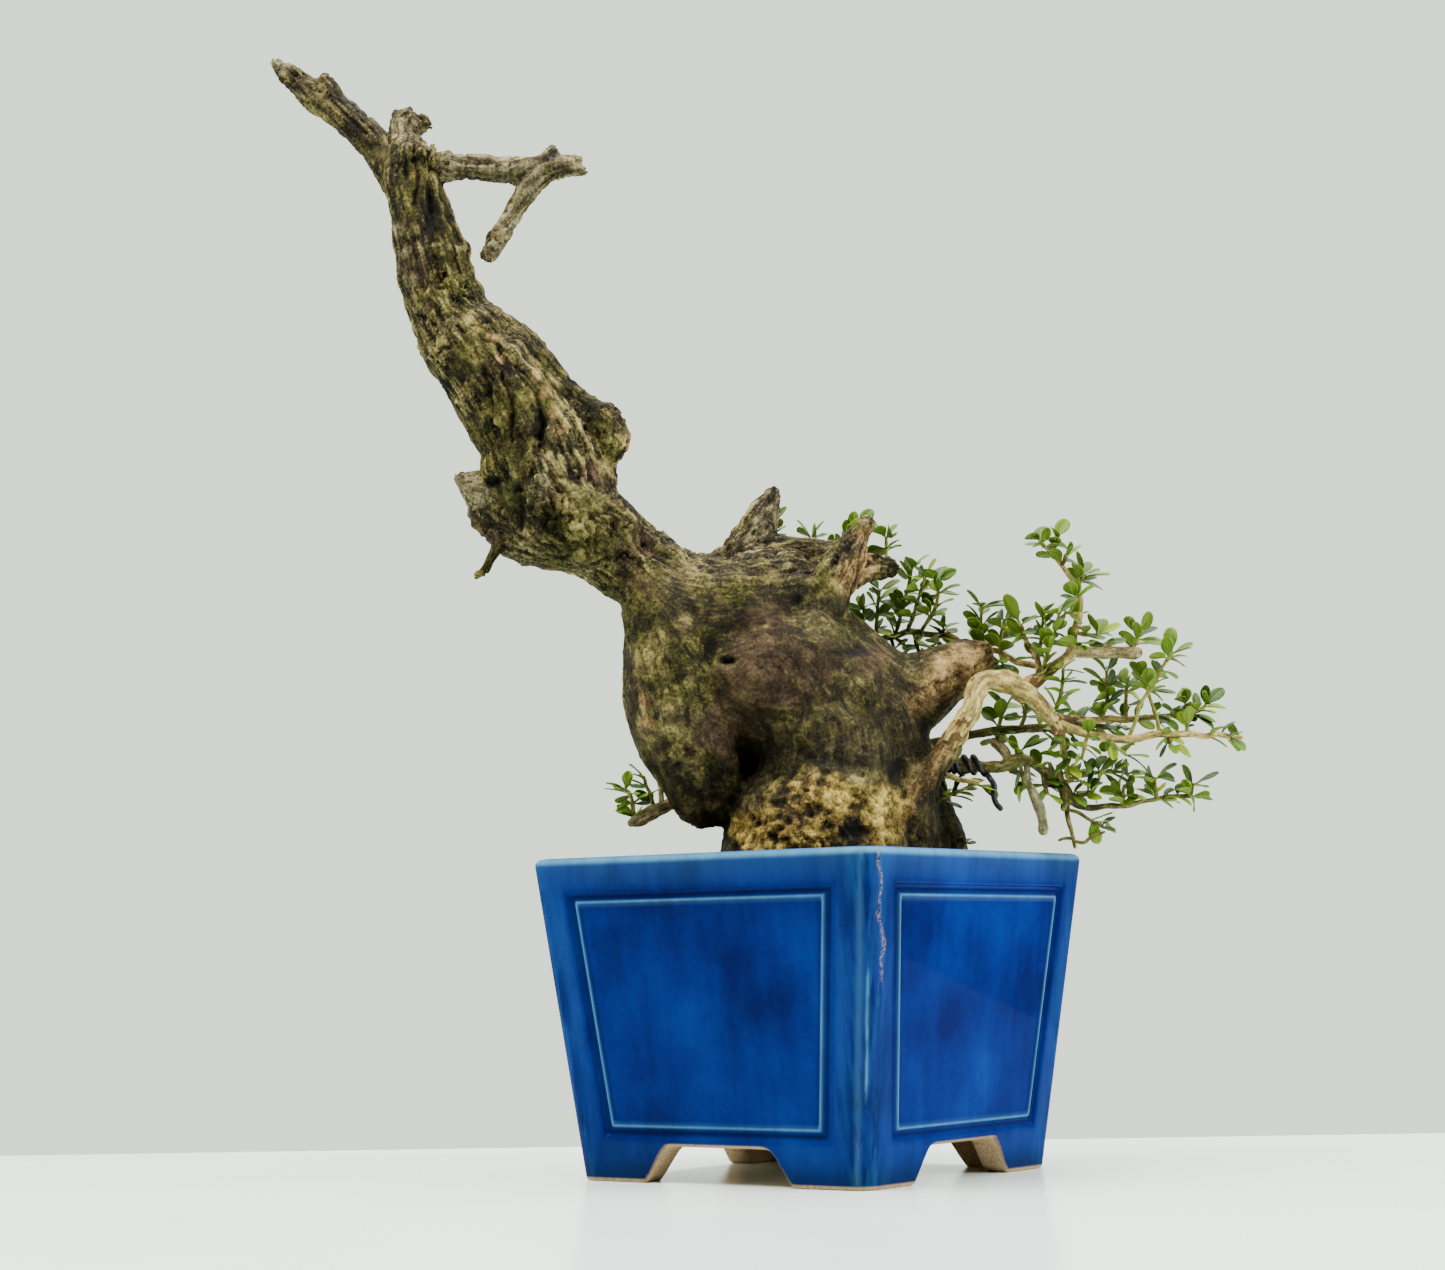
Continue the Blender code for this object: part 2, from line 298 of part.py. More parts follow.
    "low_shoot_4": ("low_branch", ((((153.7, 162.8, 6), (153.6, 166, 6), (153.4, 171, 6)), (
        (1, 150.6, 166.9, .45), (1, 156.3, 166.9, .45), (2, 151, 176, .6), (2, 163.2, 177.4, .3),
        (2, 162.9, 171.1, .75))),)),
    "low_shoot_5": ("low_branch", ((((138.5, 160.2, 8), (139, 164, 9), (139.6, 168, 9)), (
        (1, 129, 166, .6), (1, 148, 161.6, .25), (2, 143.5, 169.8, .4), (2, 133.8, 172.8, .3), (0, 145, 162, .6),
        (0, 133.5, 162.8, .5))),)),
    "low_shoot_6": ("low_branch", ((((94, 177.3, 9), (94.8, 173.5, 8), (95, 170, 8)), (
        (1, 89.7, 175.4, .45), (2, 92.2, 161.8, .45), (2, 100.3, 168.2, .4), (1, 99.5, 172.5, .5))),)),
    "low_shoot_7": ("trunk", (((
        (52, 162.5, -2), (57.5, 163.3, 6), (62, 165.3, 8), (66, 166.6, 9), (71.2, 169.1, 10), (74.8, 169.8, 10)), (
        (2, 58.8, 171.5, .15), (2, 72.5, 162.2, .15), (3, 65.5, 171.2, .5))),)),
    "low_shoot_8": ("right_branch", (((
        (112.8, 190, 13, 1.5), (113.2, 186, 13, 1.4), (114, 181, 13, 1.3), (114.6, 176, 13, 1.2),
        (115, 172.5, 13, 1.1)), (
        (2, 103.3, 183.3, .3), (1, 110.8, 182, .4), (4, 117, 178, .5), (4, 124.2, 167.6, .3))),)),
    "shaded_shoot_1": ("straight_branch", ((((85, 195.8, -5), (86, 199.5, -6), (87.5, 203, -7)), (
        (1, 77.3, 203.2, .95), (2, 80.6, 211, .4), (2, 95, 205.8, .65), (1, 92.3, 198.6, .6))),)),
    "shaded_shoot_2": ("straight_branch", ((((95, 196, -4), (96.5, 200, -4), (96, 204, -4)), (
        (1, 100, 204.5, .6), (1, 88, 199, .5), (2, 91.3, 208.3, .5), (1, 104, 198.5, .4), (0, 84, 196.3, .2))),)),
    "shaded_shoot_3": ("low_branch", ((((94, 181, 10), (93.8, 184.3, 10)), (
        (1, 89.4, 191, .45), (1, 102.6, 190.7, .45), (1, 107.2, 190.4, .3))),)),
    "left_shoot_1": ("left_stub", ((((-69.5, 161.5, 15), (-71.2, 168, 15), (-73.2, 172, 15), (-73.5, 174.4, 15)), (
        (3, -68.4, 176.5, .6), (3, -77.9, 176.3, .15), (2, -80, 171.9, .3), (1, -67.3, 169.3, .15))),)),
    "left_shoot_2": ("left_stub", ((((-78.5, 158, 16), (-79.2, 164, 17), (-80.3, 168.2, 17), (-82.8, 170.7, 17)), (
        (3, -87.9, 171.5, .4), (2, -77.4, 167.4, .2), (2, -86.4, 164.7, .4), (1, -85.4, 161.7, .45),
        (1, -71, 163.2, .4), (1, -72.2, 167, .2), (0, -74.8, 161, .25))),)),
}

# Twigs and leaves, in millimetres
STOUT_BRANCH = 2.5
TWIG_FOOT = 0.95
TWIG_TIP = 0.6
TWIG_OVERRUN = 0.6
TWIG_STEP = 1.6
LEAF_SUNK = 0.35
LEAF_LENGTH = 11.5
LEAF_SLENDER = 0.5
LEAF_THICK = 0.9
LEAF_CLEAR = 0.55

# Training wire on the low branch: (across along the branch, turns made so far), then its hanging tail
WIRE = 2.6
WIRE_WINDS = ((60.5, 0.25), (63.2, 1.25), (66, 2.25), (73.5, 3.0), (77.5, 4.0), (80, 4.6))
WIRE_TAIL = ((82.5, 172.6, 13.5), (83.1, 169.5, 14), (81.6, 164.8, 14), (82.6, 161, 14), (84.4, 159, 14))

SEEDLING = ((67, 130, 0, 0.8), (67, 137, 0, 0.7), (68, 141, 0, 0.6), (69, 144, 0, 0.5))

GLAZE = (0.016, 0.075, 0.30)
BARK = (0.105, 0.085, 0.040)
PALE_BARK = (0.46, 0.37, 0.20)
GREEN_BARK = (0.16, 0.17, 0.045)
DEADWOOD = (0.30, 0.26, 0.18)
LEAF_GREEN = (0.10, 0.19, 0.015)
SOIL = (0.045, 0.030, 0.018)
GRIT = (0.30, 0.26, 0.21)
BLACK_PLASTIC = (0.012, 0.012, 0.012)
DARK_WIRE = (0.020, 0.020, 0.022)


def new_collection(name):
    collection = bpy.data.collections.new(name)
    bpy.context.scene.collection.children.link(collection)
    return collection


def clear_scene():
    for obj in list(bpy.data.objects):
        bpy.data.objects.remove(obj, do_unlink=True)


def finish_material(name, colour, roughness, metallic=0.0):
    material = bpy.data.materials.new(name)
    material.use_nodes = True
    shader = material.node_tree.nodes["Principled BSDF"]
    shader.inputs["Base Color"].default_value = (*colour, 1.0)
    shader.inputs["Roughness"].default_value = roughness
    shader.inputs["Metallic"].default_value = metallic
    return material


def add_mesh(name, mesh, collection, material=None):
    obj = bpy.data.objects.new(name, mesh)
    collection.objects.link(obj)
    if material:
        mesh.materials.append(material)
    return obj


def add_bmesh(name, shape, collection, material=None):
    mesh = bpy.data.meshes.new(name)
    bmesh.ops.recalc_face_normals(shape, faces=shape.faces)
    shape.to_mesh(mesh)
    shape.free()
    return add_mesh(name, mesh, collection, material)


def mark_cutter(obj):
    obj.hide_render = True
    obj.display_type = "WIRE"
    return obj


def boolean(obj, cutter, operation):
    modifier = obj.modifiers.new(cutter.name, "BOOLEAN")
    modifier.object = cutter
    modifier.operation = operation
    modifier.solver = "EXACT"


def settled_mesh(obj):
    """The object's mesh with its modifiers applied."""
    graph = bpy.context.evaluated_depsgraph_get()
    return bpy.data.meshes.new_from_object(obj.evaluated_get(graph), depsgraph=graph)


def settle(obj):
    mesh = settled_mesh(obj)
    obj.modifiers.clear()
    obj.data = mesh
    return obj


def grown_cutter(obj, cutters, gap=GAP, name="seat_"):
    """A copy of a piece whose skin stands a gap further out, to seat a neighbour on it."""
    mesh = settled_mesh(obj)
    moved = [vertex.co + vertex.normal * (gap * MM) for vertex in mesh.vertices]
    for vertex, place in zip(mesh.vertices, moved):
        vertex.co = place
    return mark_cutter(add_mesh(name + obj.name, mesh, cutters))


def seen_at(across, up, toward):
    """The place, in metres, of a point given as it is seen from the front."""
    share = (EYE_DISTANCE - toward) / EYE_DISTANCE
    x = math.cos(FRONT_AZIMUTH) * across * share + math.sin(FRONT_AZIMUTH) * toward
    y = math.sin(FRONT_AZIMUTH) * across * share - math.cos(FRONT_AZIMUTH) * toward
    z = EYE_HEIGHT + (up - EYE_HEIGHT) * share
    return Vector((x, y, z)) * MM


def smooth_route(points, spans=2):
    """Points on a smooth curve through the given ones, each with its radius last."""
    rows = np.array(points, dtype=float)
    ends = np.vstack([2 * rows[0] - rows[1], rows, 2 * rows[-1] - rows[-2]])
    route = []
    for i in range(1, len(ends) - 2):
        before, start, end, after = ends[i - 1:i + 3]
        for step in range(spans):
            t = step / spans
            route.append(0.5 * (2 * start + (end - before) * t + (2 * before - 5 * start + 4 * end - after) * t ** 2
                                + (3 * start - before - 3 * end + after) * t ** 3))
    route.append(rows[-1])
    return route


def tube(name, route, collection, material=None, resolution=2):
    """A round solid along a route of (place, radius) pairs, in metres."""
    curve = bpy.data.curves.new(name, "CURVE")
    curve.dimensions = "3D"
    curve.bevel_depth = 1.0
    curve.bevel_resolution = resolution
    curve.use_fill_caps = True
    spline = curve.splines.new("POLY")
    spline.points.add(len(route) - 1)
    for point, (place, radius) in zip(spline.points, route):
        point.co = (*place, 1.0)
        point.radius = radius
    guide = bpy.data.objects.new(name + "_line", curve)
    collection.objects.link(guide)
    mesh = settled_mesh(guide)
    mesh.transform(guide.matrix_world)
    shape = bmesh.new()
    shape.from_mesh(mesh)
    bmesh.ops.remove_doubles(shape, verts=shape.verts, dist=1e-6)
    bpy.data.objects.remove(guide, do_unlink=True)
    mesh.materials.clear()
    return add_bmesh(name, shape, collection, material)


def limb_route(points, spans):
    return [(seen_at(*row[:3]), row[3] * MM) for row in smooth_route(points, spans)]


def tapered_block(half_low, half_high, low, high, corner):
    """A square block with sloping sides and rounded upright corners, in millimetres."""
    shape = bmesh.new()
    bmesh.ops.create_cube(shape, size=2.0)
    for vertex in shape.verts:
        half = half_high if vertex.co.z > 0 else half_low
        vertex.co = Vector((vertex.co.x * half, vertex.co.y * half, high if vertex.co.z > 0 else low)) * MM
    upright = [edge for edge in shape.edges if abs(edge.verts[0].co.z - edge.verts[1].co.z) > (high - low) * MM / 2]
    bmesh.ops.bevel(shape, geom=upright, offset=corner * MM, offset_type="OFFSET", segments=4, profile=0.5,
                    affect="EDGES")
    return shape


def outer_half(height):
    """Half the pot's outside width at a height."""
    return (POT_BOTTOM + (POT_TOP - POT_BOTTOM) * height / POT_HEIGHT) / 2


def inner_half(height):
    return outer_half(height) - POT_WALL


def side_slab(name, half_low, half_high, low, high, depth_in, depth_out, cutters):
    """A flat slab lying in a side of the pot, from one depth to another, measured into the wall."""
    shape = bmesh.new()
    bmesh.ops.create_cube(shape, size=2.0)
    for vertex in shape.verts:
        height = high if vertex.co.z > 0 else low
        half = half_high if vertex.co.z > 0 else half_low
        depth = depth_in if vertex.co.y > 0 else depth_out
        vertex.co = Vector((vertex.co.x * half, depth - outer_half(height), height)) * MM
    return mark_cutter(add_bmesh(name, shape, cutters))


def turned_copy(obj, angle, cutters):
    copy = obj.copy()
    copy.data = obj.data.copy()
    copy.data.transform(Matrix.Rotation(angle, 4, "Z"))
    cutters.objects.link(copy)
    return copy


def panel_half(height, inset=0.0):
    return outer_half(height) - PANEL_MARGIN - inset


def build_panels(pot, cutters):
    """Sunk panels on the four sides, each with a thin raised bead around its field."""
    low, high = PANEL_LOW, PANEL_HIGH
    recess = side_slab("panel_recess", panel_half(low), panel_half(high), low, high, PANEL_DEPTH, -4.0, cutters)
    low, high = low + BEAD_INSET, high - BEAD_INSET
    bead = side_slab("panel_bead", panel_half(low, BEAD_INSET), panel_half(high, BEAD_INSET), low, high,
                     PANEL_DEPTH + 2.0, PANEL_DEPTH - BEAD_HEIGHT, cutters)
    low, high = low + BEAD_WIDTH, high - BEAD_WIDTH
    inset = BEAD_INSET + BEAD_WIDTH
    field = side_slab("panel_field", panel_half(low, inset), panel_half(high, inset), low, high,
                      PANEL_DEPTH - 0.5, -4.0, cutters)
    for side in range(4):
        angle = side * math.pi / 2
        boolean(pot, turned_copy(recess, angle, cutters), "DIFFERENCE")
        boolean(pot, turned_copy(bead, angle, cutters), "UNION")
        boolean(pot, turned_copy(field, angle, cutters), "DIFFERENCE")
    for guide in (recess, bead, field):
        bpy.data.objects.remove(guide, do_unlink=True)


def foot_channel(cutters):
    """The arched opening between two feet, right through under the pot."""
    shape = bmesh.new()
    bmesh.ops.create_cube(shape, size=2.0)
    for vertex in shape.verts:
        half = OPENING_HIGH / 2 if vertex.co.z > 0 else OPENING_LOW / 2 + 0.8
        height = FOOT_HEIGHT if vertex.co.z > 0 else -1.0
        vertex.co = Vector((vertex.co.x * half, vertex.co.y * POT_TOP, height)) * MM
    tops = [edge for edge in shape.edges if all(vertex.co.z > 0 for vertex in edge.verts)
            and abs(edge.verts[0].co.y - edge.verts[1].co.y) > POT_TOP * MM]
    bmesh.ops.bevel(shape, geom=tops, offset=5 * MM, offset_type="OFFSET", segments=3, profile=0.5, affect="EDGES")
    return mark_cutter(add_bmesh("foot_channel", shape, cutters))


def build_pot(parts, cutters, glaze):
    shape = tapered_block(POT_BOTTOM / 2, POT_TOP / 2, 0, POT_HEIGHT, POT_CORNER)
    rim = [edge for edge in shape.edges if all(vertex.co.z > POT_HEIGHT * MM - 1e-5 for vertex in edge.verts)]
    bmesh.ops.bevel(shape, geom=rim, offset=1.6 * MM, offset_type="OFFSET", segments=2, profile=0.5, affect="EDGES")
    pot = add_bmesh("pot", shape, parts, glaze)
    floor_top = FOOT_HEIGHT + FLOOR_THICKNESS
    above = POT_HEIGHT + 10
    hollow = tapered_block(inner_half(floor_top), inner_half(above), floor_top, above, POT_CORNER - 3)
    boolean(pot, mark_cutter(add_bmesh("pot_hollow", hollow, cutters)), "DIFFERENCE")
    build_panels(pot, cutters)
    inside = POT_BOTTOM / 2 - FOOT_WALL
    pocket = tapered_block(inside, inside, -5, FOOT_HEIGHT, 4)
    boolean(pot, mark_cutter(add_bmesh("foot_pocket", pocket, cutters)), "DIFFERENCE")
    channel = foot_channel(cutters)
    boolean(pot, channel, "DIFFERENCE")
    boolean(pot, turned_copy(channel, math.pi / 2, cutters), "DIFFERENCE")
    drain = bmesh.new()
    bmesh.ops.create_cone(drain, cap_ends=True, segments=24, radius1=DRAIN_HOLE / 2 * MM, radius2=DRAIN_HOLE / 2 * MM,
                          depth=60 * MM, matrix=Matrix.Translation((0, 0, floor_top * MM)))
    boolean(pot, mark_cutter(add_bmesh("drain_cutter", drain, cutters)), "DIFFERENCE")
    return settle(pot)


def build_drain_mesh(parts, plastic):
    """A square of plastic mesh on the pot's floor, over the drain hole."""
    shape = bmesh.new()
    bmesh.ops.create_grid(shape, x_segments=MESH_CELLS, y_segments=MESH_CELLS, size=MESH_SIZE / 2 * MM)
    bmesh.ops.translate(shape, verts=shape.verts,
                        vec=(0, 0, (FOOT_HEIGHT + FLOOR_THICKNESS + GAP + MESH_BAR / 2) * MM))
    obj = add_bmesh("drain_mesh", shape, parts, plastic)
    bars = obj.modifiers.new("bars", "WIREFRAME")
    bars.thickness = MESH_BAR * MM
    bars.use_boundary = True
    bars.use_even_offset = True
    return obj


def build_mesh_clip(parts, metal):
    """A bent wire over the mesh whose legs pass down the drain hole and spread under the floor."""
    cell = MESH_SIZE / MESH_CELLS
    leg = cell * 1.5
    radius = CLIP_WIRE / 2
    over = FOOT_HEIGHT + FLOOR_THICKNESS + GAP + MESH_BAR + GAP + radius
    under = FOOT_HEIGHT - GAP - radius
    half = [(leg, over), (leg + 0.4, over - 1.5), (leg + 0.4, under + 1.5), (leg + 1.6, under), (leg + 9, under)]
    route = [(-x, z) for x, z in reversed(half)] + half
    return tube("mesh_clip", [(Vector((x, cell / 2, z)) * MM, radius * MM) for x, z in route], parts, metal, 1)


def build_grit(parts, cutters, grit):
    floor_top = FOOT_HEIGHT + FLOOR_THICKNESS
    low = floor_top + GAP
    shape = tapered_block(inner_half(low) - GAP, inner_half(GRIT_TOP) - GAP, low, GRIT_TOP, POT_CORNER - 3)
    layer = add_bmesh("drainage_layer", shape, parts, grit)
    half = MESH_SIZE / 2 + 1
    over_clip = floor_top + 3 * GAP + MESH_BAR + CLIP_WIRE
    room = tapered_block(half, half, floor_top - 5, over_clip, 1)
    boolean(layer, mark_cutter(add_bmesh("mesh_room", room, cutters)), "DIFFERENCE")
    return settle(layer)


def build_soil(parts, cutters, soil, root_room):
    low = GRIT_TOP + GAP
    shape = tapered_block(inner_half(low) - GAP, inner_half(SOIL_EDGE) - GAP, low, SOIL_EDGE, POT_CORNER - 3)
    fill = add_bmesh("soil", shape, parts, soil)
    mound = bmesh.new()
    bmesh.ops.create_uvsphere(mound, u_segments=28, v_segments=10, radius=1.0)
    for vertex in mound.verts:
        vertex.co = Vector((vertex.co.x * MOUND_RADIUS, vertex.co.y * MOUND_RADIUS,
                            SOIL_EDGE - 1 + vertex.co.z * (MOUND_RISE + 1))) * MM
    boolean(fill, mark_cutter(add_bmesh("mound", mound, cutters)), "UNION")
    boolean(fill, root_room, "DIFFERENCE")
    return settle(fill)


def build_trunk(parts, bark):
    """The trunk: its limbs run together into one skin."""
    shape = bmesh.new()
    for name, points in TRUNK_LIMBS.items():
        route = limb_route(points, 2)
        limb = tube(name, route, parts, resolution=3)
        shape.from_mesh(limb.data)
        mesh = limb.data
        bpy.data.objects.remove(limb, do_unlink=True)
        bpy.data.meshes.remove(mesh)
        for place, radius in (route[0], route[-1]):
            bmesh.ops.create_icosphere(shape, subdivisions=2, radius=radius, matrix=Matrix.Translation(place))
    trunk = add_bmesh("trunk", shape, parts, bark)
    skin = trunk.modifiers.new("skin", "REMESH")
    skin.mode = "VOXEL"
    skin.voxel_size = TRUNK_GRAIN * MM
    soften = trunk.modifiers.new("soften", "SMOOTH")
    soften.factor = 0.5
    soften.iterations = 5
    thin = trunk.modifiers.new("thin", "DECIMATE")
    thin.ratio = TRUNK_KEEP
    settle(trunk)
    keep_largest(trunk)
    trunk.data.shade_smooth()
    return trunk


def seat_on(obj, cutters):
    seat = cutters.objects.get("seat_" + obj.name)
    return seat if seat else grown_cutter(obj, cutters)


def nearest_on(rows, across, up):
    """The point of a run that is seen nearest to a place in the front view."""
    fine = smooth_route(rows, 6)
    return min(fine, key=lambda row: math.hypot(row[0] - across, row[1] - up))


def with_radii(points):
    """A run's points, each with a radius, thinning towards the tip where none is given."""
    last = max(len(points) - 1, 1)
    return [tuple(row) if len(row) == 4 else (*row, TWIG_FOOT + (TWIG_TIP - TWIG_FOOT) * i / last)
            for i, row in enumerate(points)]


def rooted_run(points, trunk_rows):
    """A run begun on the middle line of what it grows from; its points keep their numbers from 1 on."""
    rows = with_radii(points)
    if trunk_rows is None:
        return [rows[0]] + rows
    foot = nearest_on(trunk_rows, rows[0][0], rows[0][1])
    return [(foot[0], foot[1], foot[2], rows[0][3])] + rows


def growth_runs():
    """Every living piece: the name of what it grows from and its runs with their leaves."""
    pieces = {}
    for name, (parent, main, own_leaves, spurs) in BRANCHES.items():
        rows = [tuple(row) for row in main]
        runs = [([rows[0]] + rows, own_leaves)]
        for points, leaves in spurs:
            runs.append((rooted_run(points, rows), leaves))
        pieces[name] = (parent, runs)
    for name, (parent, spurs) in SHOOTS.items():
        bearer = None if parent == "trunk" else [tuple(row) for row in BRANCHES[parent][1]]
        runs = []
        for points, leaves in spurs:
            runs.append((rooted_run(points, runs[0][0][1:] if runs else bearer), leaves))
        pieces[name] = (parent, runs)
    return pieces


def run_route(rows):
    """Places and radii along a run, in metres, carried a little past its last point."""
    route = []
    for row in rows:
        place = seen_at(*row[:3])
        if not route or (place - route[-1][0]).length > TWIG_STEP * MM:
            route.append((place, row[3] * MM))
    onward = (route[-1][0] - route[-2][0]).normalized() * (TWIG_OVERRUN * MM)
    route.append((route[-1][0] + onward, route[-1][1] * 0.8))
    return route


class Leaf:
    """One blade: its root and three unit directions (along, sideways, out of the blade)."""

    def __init__(self, root, tip, openness, depth_sign, twist, stretch):
        seen = (tip - root).length
        length = max(LEAF_LENGTH * MM * stretch, seen * 1.01)
        sight = Vector((math.sin(FRONT_AZIMUTH), -math.cos(FRONT_AZIMUTH), 0))
        depth = math.sqrt(max(length ** 2 - seen ** 2, 0.0)) * depth_sign
        self.along = (tip - root + sight * depth).normalized()
        in_view = self.along.cross(sight).normalized()
        in_depth = (sight - self.along * sight.dot(self.along)).normalized()
        self.side = (in_view * openness + in_depth * math.sqrt(1 - openness ** 2)).normalized()
        self.side.rotate(Matrix.Rotation(twist, 3, self.along))
        self.out = self.along.cross(self.side)
        if self.out.z < 0:
            self.side, self.out = -self.side, -self.out
        self.root = root
        self.length = length
        self.width = length * LEAF_SLENDER

    def points(self):
        """Points spread over the blade, from a third of its length on."""
        found = []
        for share in np.linspace(0.35, 0.98, 7):
            half = self.width / 2 * math.sin(math.pi * share) ** 0.7
            for side in (-1.0, -0.5, 0.0, 0.5, 1.0):
                found.append(self.root + self.along * (self.length * share) + self.side * (half * side))
        return np.array([tuple(point) for point in found])

    def holds(self, points):
        """Whether any of the points is within a clear distance of the blade."""
        away = points - np.array(self.root + self.along * (self.length / 2))
        clear = LEAF_CLEAR * MM
        scaled = ((away @ np.array(self.along) / (self.length / 2 + clear)) ** 2
                  + (away @ np.array(self.side) / (self.width / 2 + clear)) ** 2
                  + (away @ np.array(self.out) / (LEAF_THICK * MM / 2 + 2 * clear)) ** 2)
        return bool((scaled < 1).any())


class Limbs:
    """Round limbs that a leaf must stay clear of."""

    def __init__(self):
        self.owners = []
        self.rows = []

    def add(self, owner, route, spare):
        for (start, r0), (end, r1) in zip(route[:-1], route[1:]):
            self.owners.append(owner)
            self.rows.append((*start, *(end - start), r0 + spare, r1 - r0))

    def close(self):
        self.owners = np.array(self.owners)
        self.rows = np.array(self.rows)

    def touch(self, points, owner):
        rows = self.rows[self.owners != owner]
        start, line, radius, change = rows[:, 0:3], rows[:, 3:6], rows[:, 6], rows[:, 7]
        away = points[:, None, :] - start[None]
        share = np.clip((away * line).sum(axis=2) / np.maximum((line * line).sum(axis=1), 1e-12), 0, 1)
        far = np.linalg.norm(away - share[:, :, None] * line, axis=2)
        return bool((far < radius + change * share).any())


def grow_leaves(pieces):
    """Every piece's leaves, each turned so that it is clear of the limbs and of the other pieces' leaves."""
    limbs = Limbs()
    for points in TRUNK_LIMBS.values():
        limbs.add("trunk", limb_route(points, 2), 1.2 * MM)
    for name, (parent, runs) in pieces.items():
        for rows, blades in runs:
            limbs.add(name, run_route(rows), 0.8 * MM)
    limbs.close()
    turns = [(sign, twist, stretch) for stretch in (1.0, 0.9) for twist in (0.0, 0.4, -0.4, 0.8, -0.8)
             for sign in (1, -1)]
    placed = []
    leaves = {}
    for name, (parent, runs) in pieces.items():
        leaves[name] = []
        for rows, blades in runs:
            for number, (point, across, up, openness) in enumerate(blades):
                row = rows[point + 1]
                root = seen_at(*row[:3])
                tip = seen_at(across, up, row[2])
                for sign, twist, stretch in turns:
                    leaf = Leaf(root, tip, openness, sign if number % 2 else -sign, twist, stretch)
                    points = leaf.points()
                    if limbs.touch(points, name):
                        continue
                    near = [(other, spread) for owner, other, spread in placed
                            if owner != name and (other.root - root).length < other.length + leaf.length]
                    if any(other.holds(points) or leaf.holds(spread) for other, spread in near):
                        continue
                    placed.append((name, leaf, points))
                    leaves[name].append(leaf)
                    break
    return leaves


def leaf_solid(leaf, shape):
    """A thin keeled blade with a pointed oval outline, from inside the twig to the leaf's tip."""
    frame = Matrix((leaf.along, leaf.side, leaf.out)).transposed().to_4x4()
    sunk = LEAF_SUNK * MM
    middle = leaf.root + leaf.along * (leaf.length - sunk) / 2
    half_width = leaf.width / 2 / math.sin(math.radians(60))
    size = Matrix.Diagonal(((leaf.length + sunk) / 2, half_width, LEAF_THICK * MM / 2, 1.0))
    lying = Matrix.Rotation(math.pi / 2, 4, "Y")
    bmesh.ops.create_uvsphere(shape, u_segments=3, v_segments=3, radius=1.0,
                              matrix=Matrix.Translation(middle) @ frame @ size @ lying)


def join(body, other):
    """Makes one body of two, and drops the second."""
    boolean(body, other, "UNION")
    settle(body)
    bpy.data.objects.remove(other, do_unlink=True)


def keep_largest(obj):
    """Drops crumbs that a cut has left beside the piece."""
    shape = bmesh.new()
    shape.from_mesh(obj.data)
    unseen = set(shape.faces)
    islands = []
    while unseen:
        island = [unseen.pop()]
        for face in island:
            for edge in face.edges:
                for other in edge.link_faces:
                    if other in unseen:
                        unseen.remove(other)
                        island.append(other)
        islands.append(island)
    islands.sort(key=len)
    for island in islands[:-1]:
        bmesh.ops.delete(shape, geom=island, context="FACES")
    shape.to_mesh(obj.data)
    shape.free()


def build_growth(name, piece, leaves, made, parts, cutters, material):
    """A branch or shoot: its runs and leaves in one body, seated on what it grows from."""
    parent, runs = piece
    stout = max(row[3] for row in runs[0][0]) > STOUT_BRANCH
    body = tube(name, run_route(runs[0][0]), parts, material, 2 if stout else 1 if name in BRANCHES else 0)
    for rows, blades in runs[1:]:
        join(body, tube(name + "_spur", run_route(rows), cutters, resolution=0))
    for leaf in leaves:
        blade = bmesh.new()
        leaf_solid(leaf, blade)
        join(body, add_bmesh(name + "_blade", blade, cutters))
    boolean(body, seat_on(made[parent], cutters), "DIFFERENCE")
    settle(body)
    keep_largest(body)
    return body


def build_training_wire(parts, metal):
    """Wire wound round the low branch, then hanging free at its outer end."""
    rows = smooth_route(BRANCHES["low_branch"][1], 8)
    rows = [row for row in rows if 50 <= row[0] <= 90]
    along = [row[0] for row in rows]
    radius = WIRE / 2
    winds = [wind for place, wind in WIRE_WINDS]
    places = [place for place, wind in WIRE_WINDS]
    route = []
    for turn in np.linspace(winds[0], winds[-1], int((winds[-1] - winds[0]) * 10) + 1):
        across = float(np.interp(turn, winds, places))
        up, toward, core = (float(np.interp(across, along, [row[k] for row in rows])) for k in (1, 2, 3))
        reach = core + 2 * GAP + radius
        angle = 2 * math.pi * turn
        route.append((seen_at(across, up + reach * math.cos(angle), toward + reach * math.sin(angle)), radius * MM))
    tail = [(seen_at(*place), radius * MM) for place in WIRE_TAIL]
    return tube("training_wire", route + tail, parts, metal, 1)


def build_seedling(parts, cutters, green, soil):
    """A small weed rooted at the soil's edge."""
    weed = tube("seedling", run_route(SEEDLING), parts, green, 1)
    top = seen_at(69, 144, 0)
    for tip_across, tip_up, sign in ((73, 143.6, 1), (66.3, 145.8, -1), (71.5, 146, -1)):
        blade = bmesh.new()
        leaf_solid(Leaf(top, seen_at(tip_across, tip_up, 0), 0.6, sign, 0.0, 0.5), blade)
        join(weed, add_bmesh("seedling_blade", blade, cutters))
    boolean(weed, seat_on(soil, cutters), "DIFFERENCE")
    settle(weed)
    keep_largest(weed)


def stand_on_middle(parts):
    """Moves the bonsai so that the origin is under the middle of its footprint."""
    bpy.context.view_layer.update()
    corners = np.array([obj.matrix_world @ vertex.co for obj in parts.objects for vertex in obj.data.vertices])
    middle = (corners.min(axis=0) + corners.max(axis=0)) / 2
    shift = Matrix.Translation((-middle[0], -middle[1], -corners[:, 2].min()))
    for obj in parts.objects:
        obj.data.transform(shift)


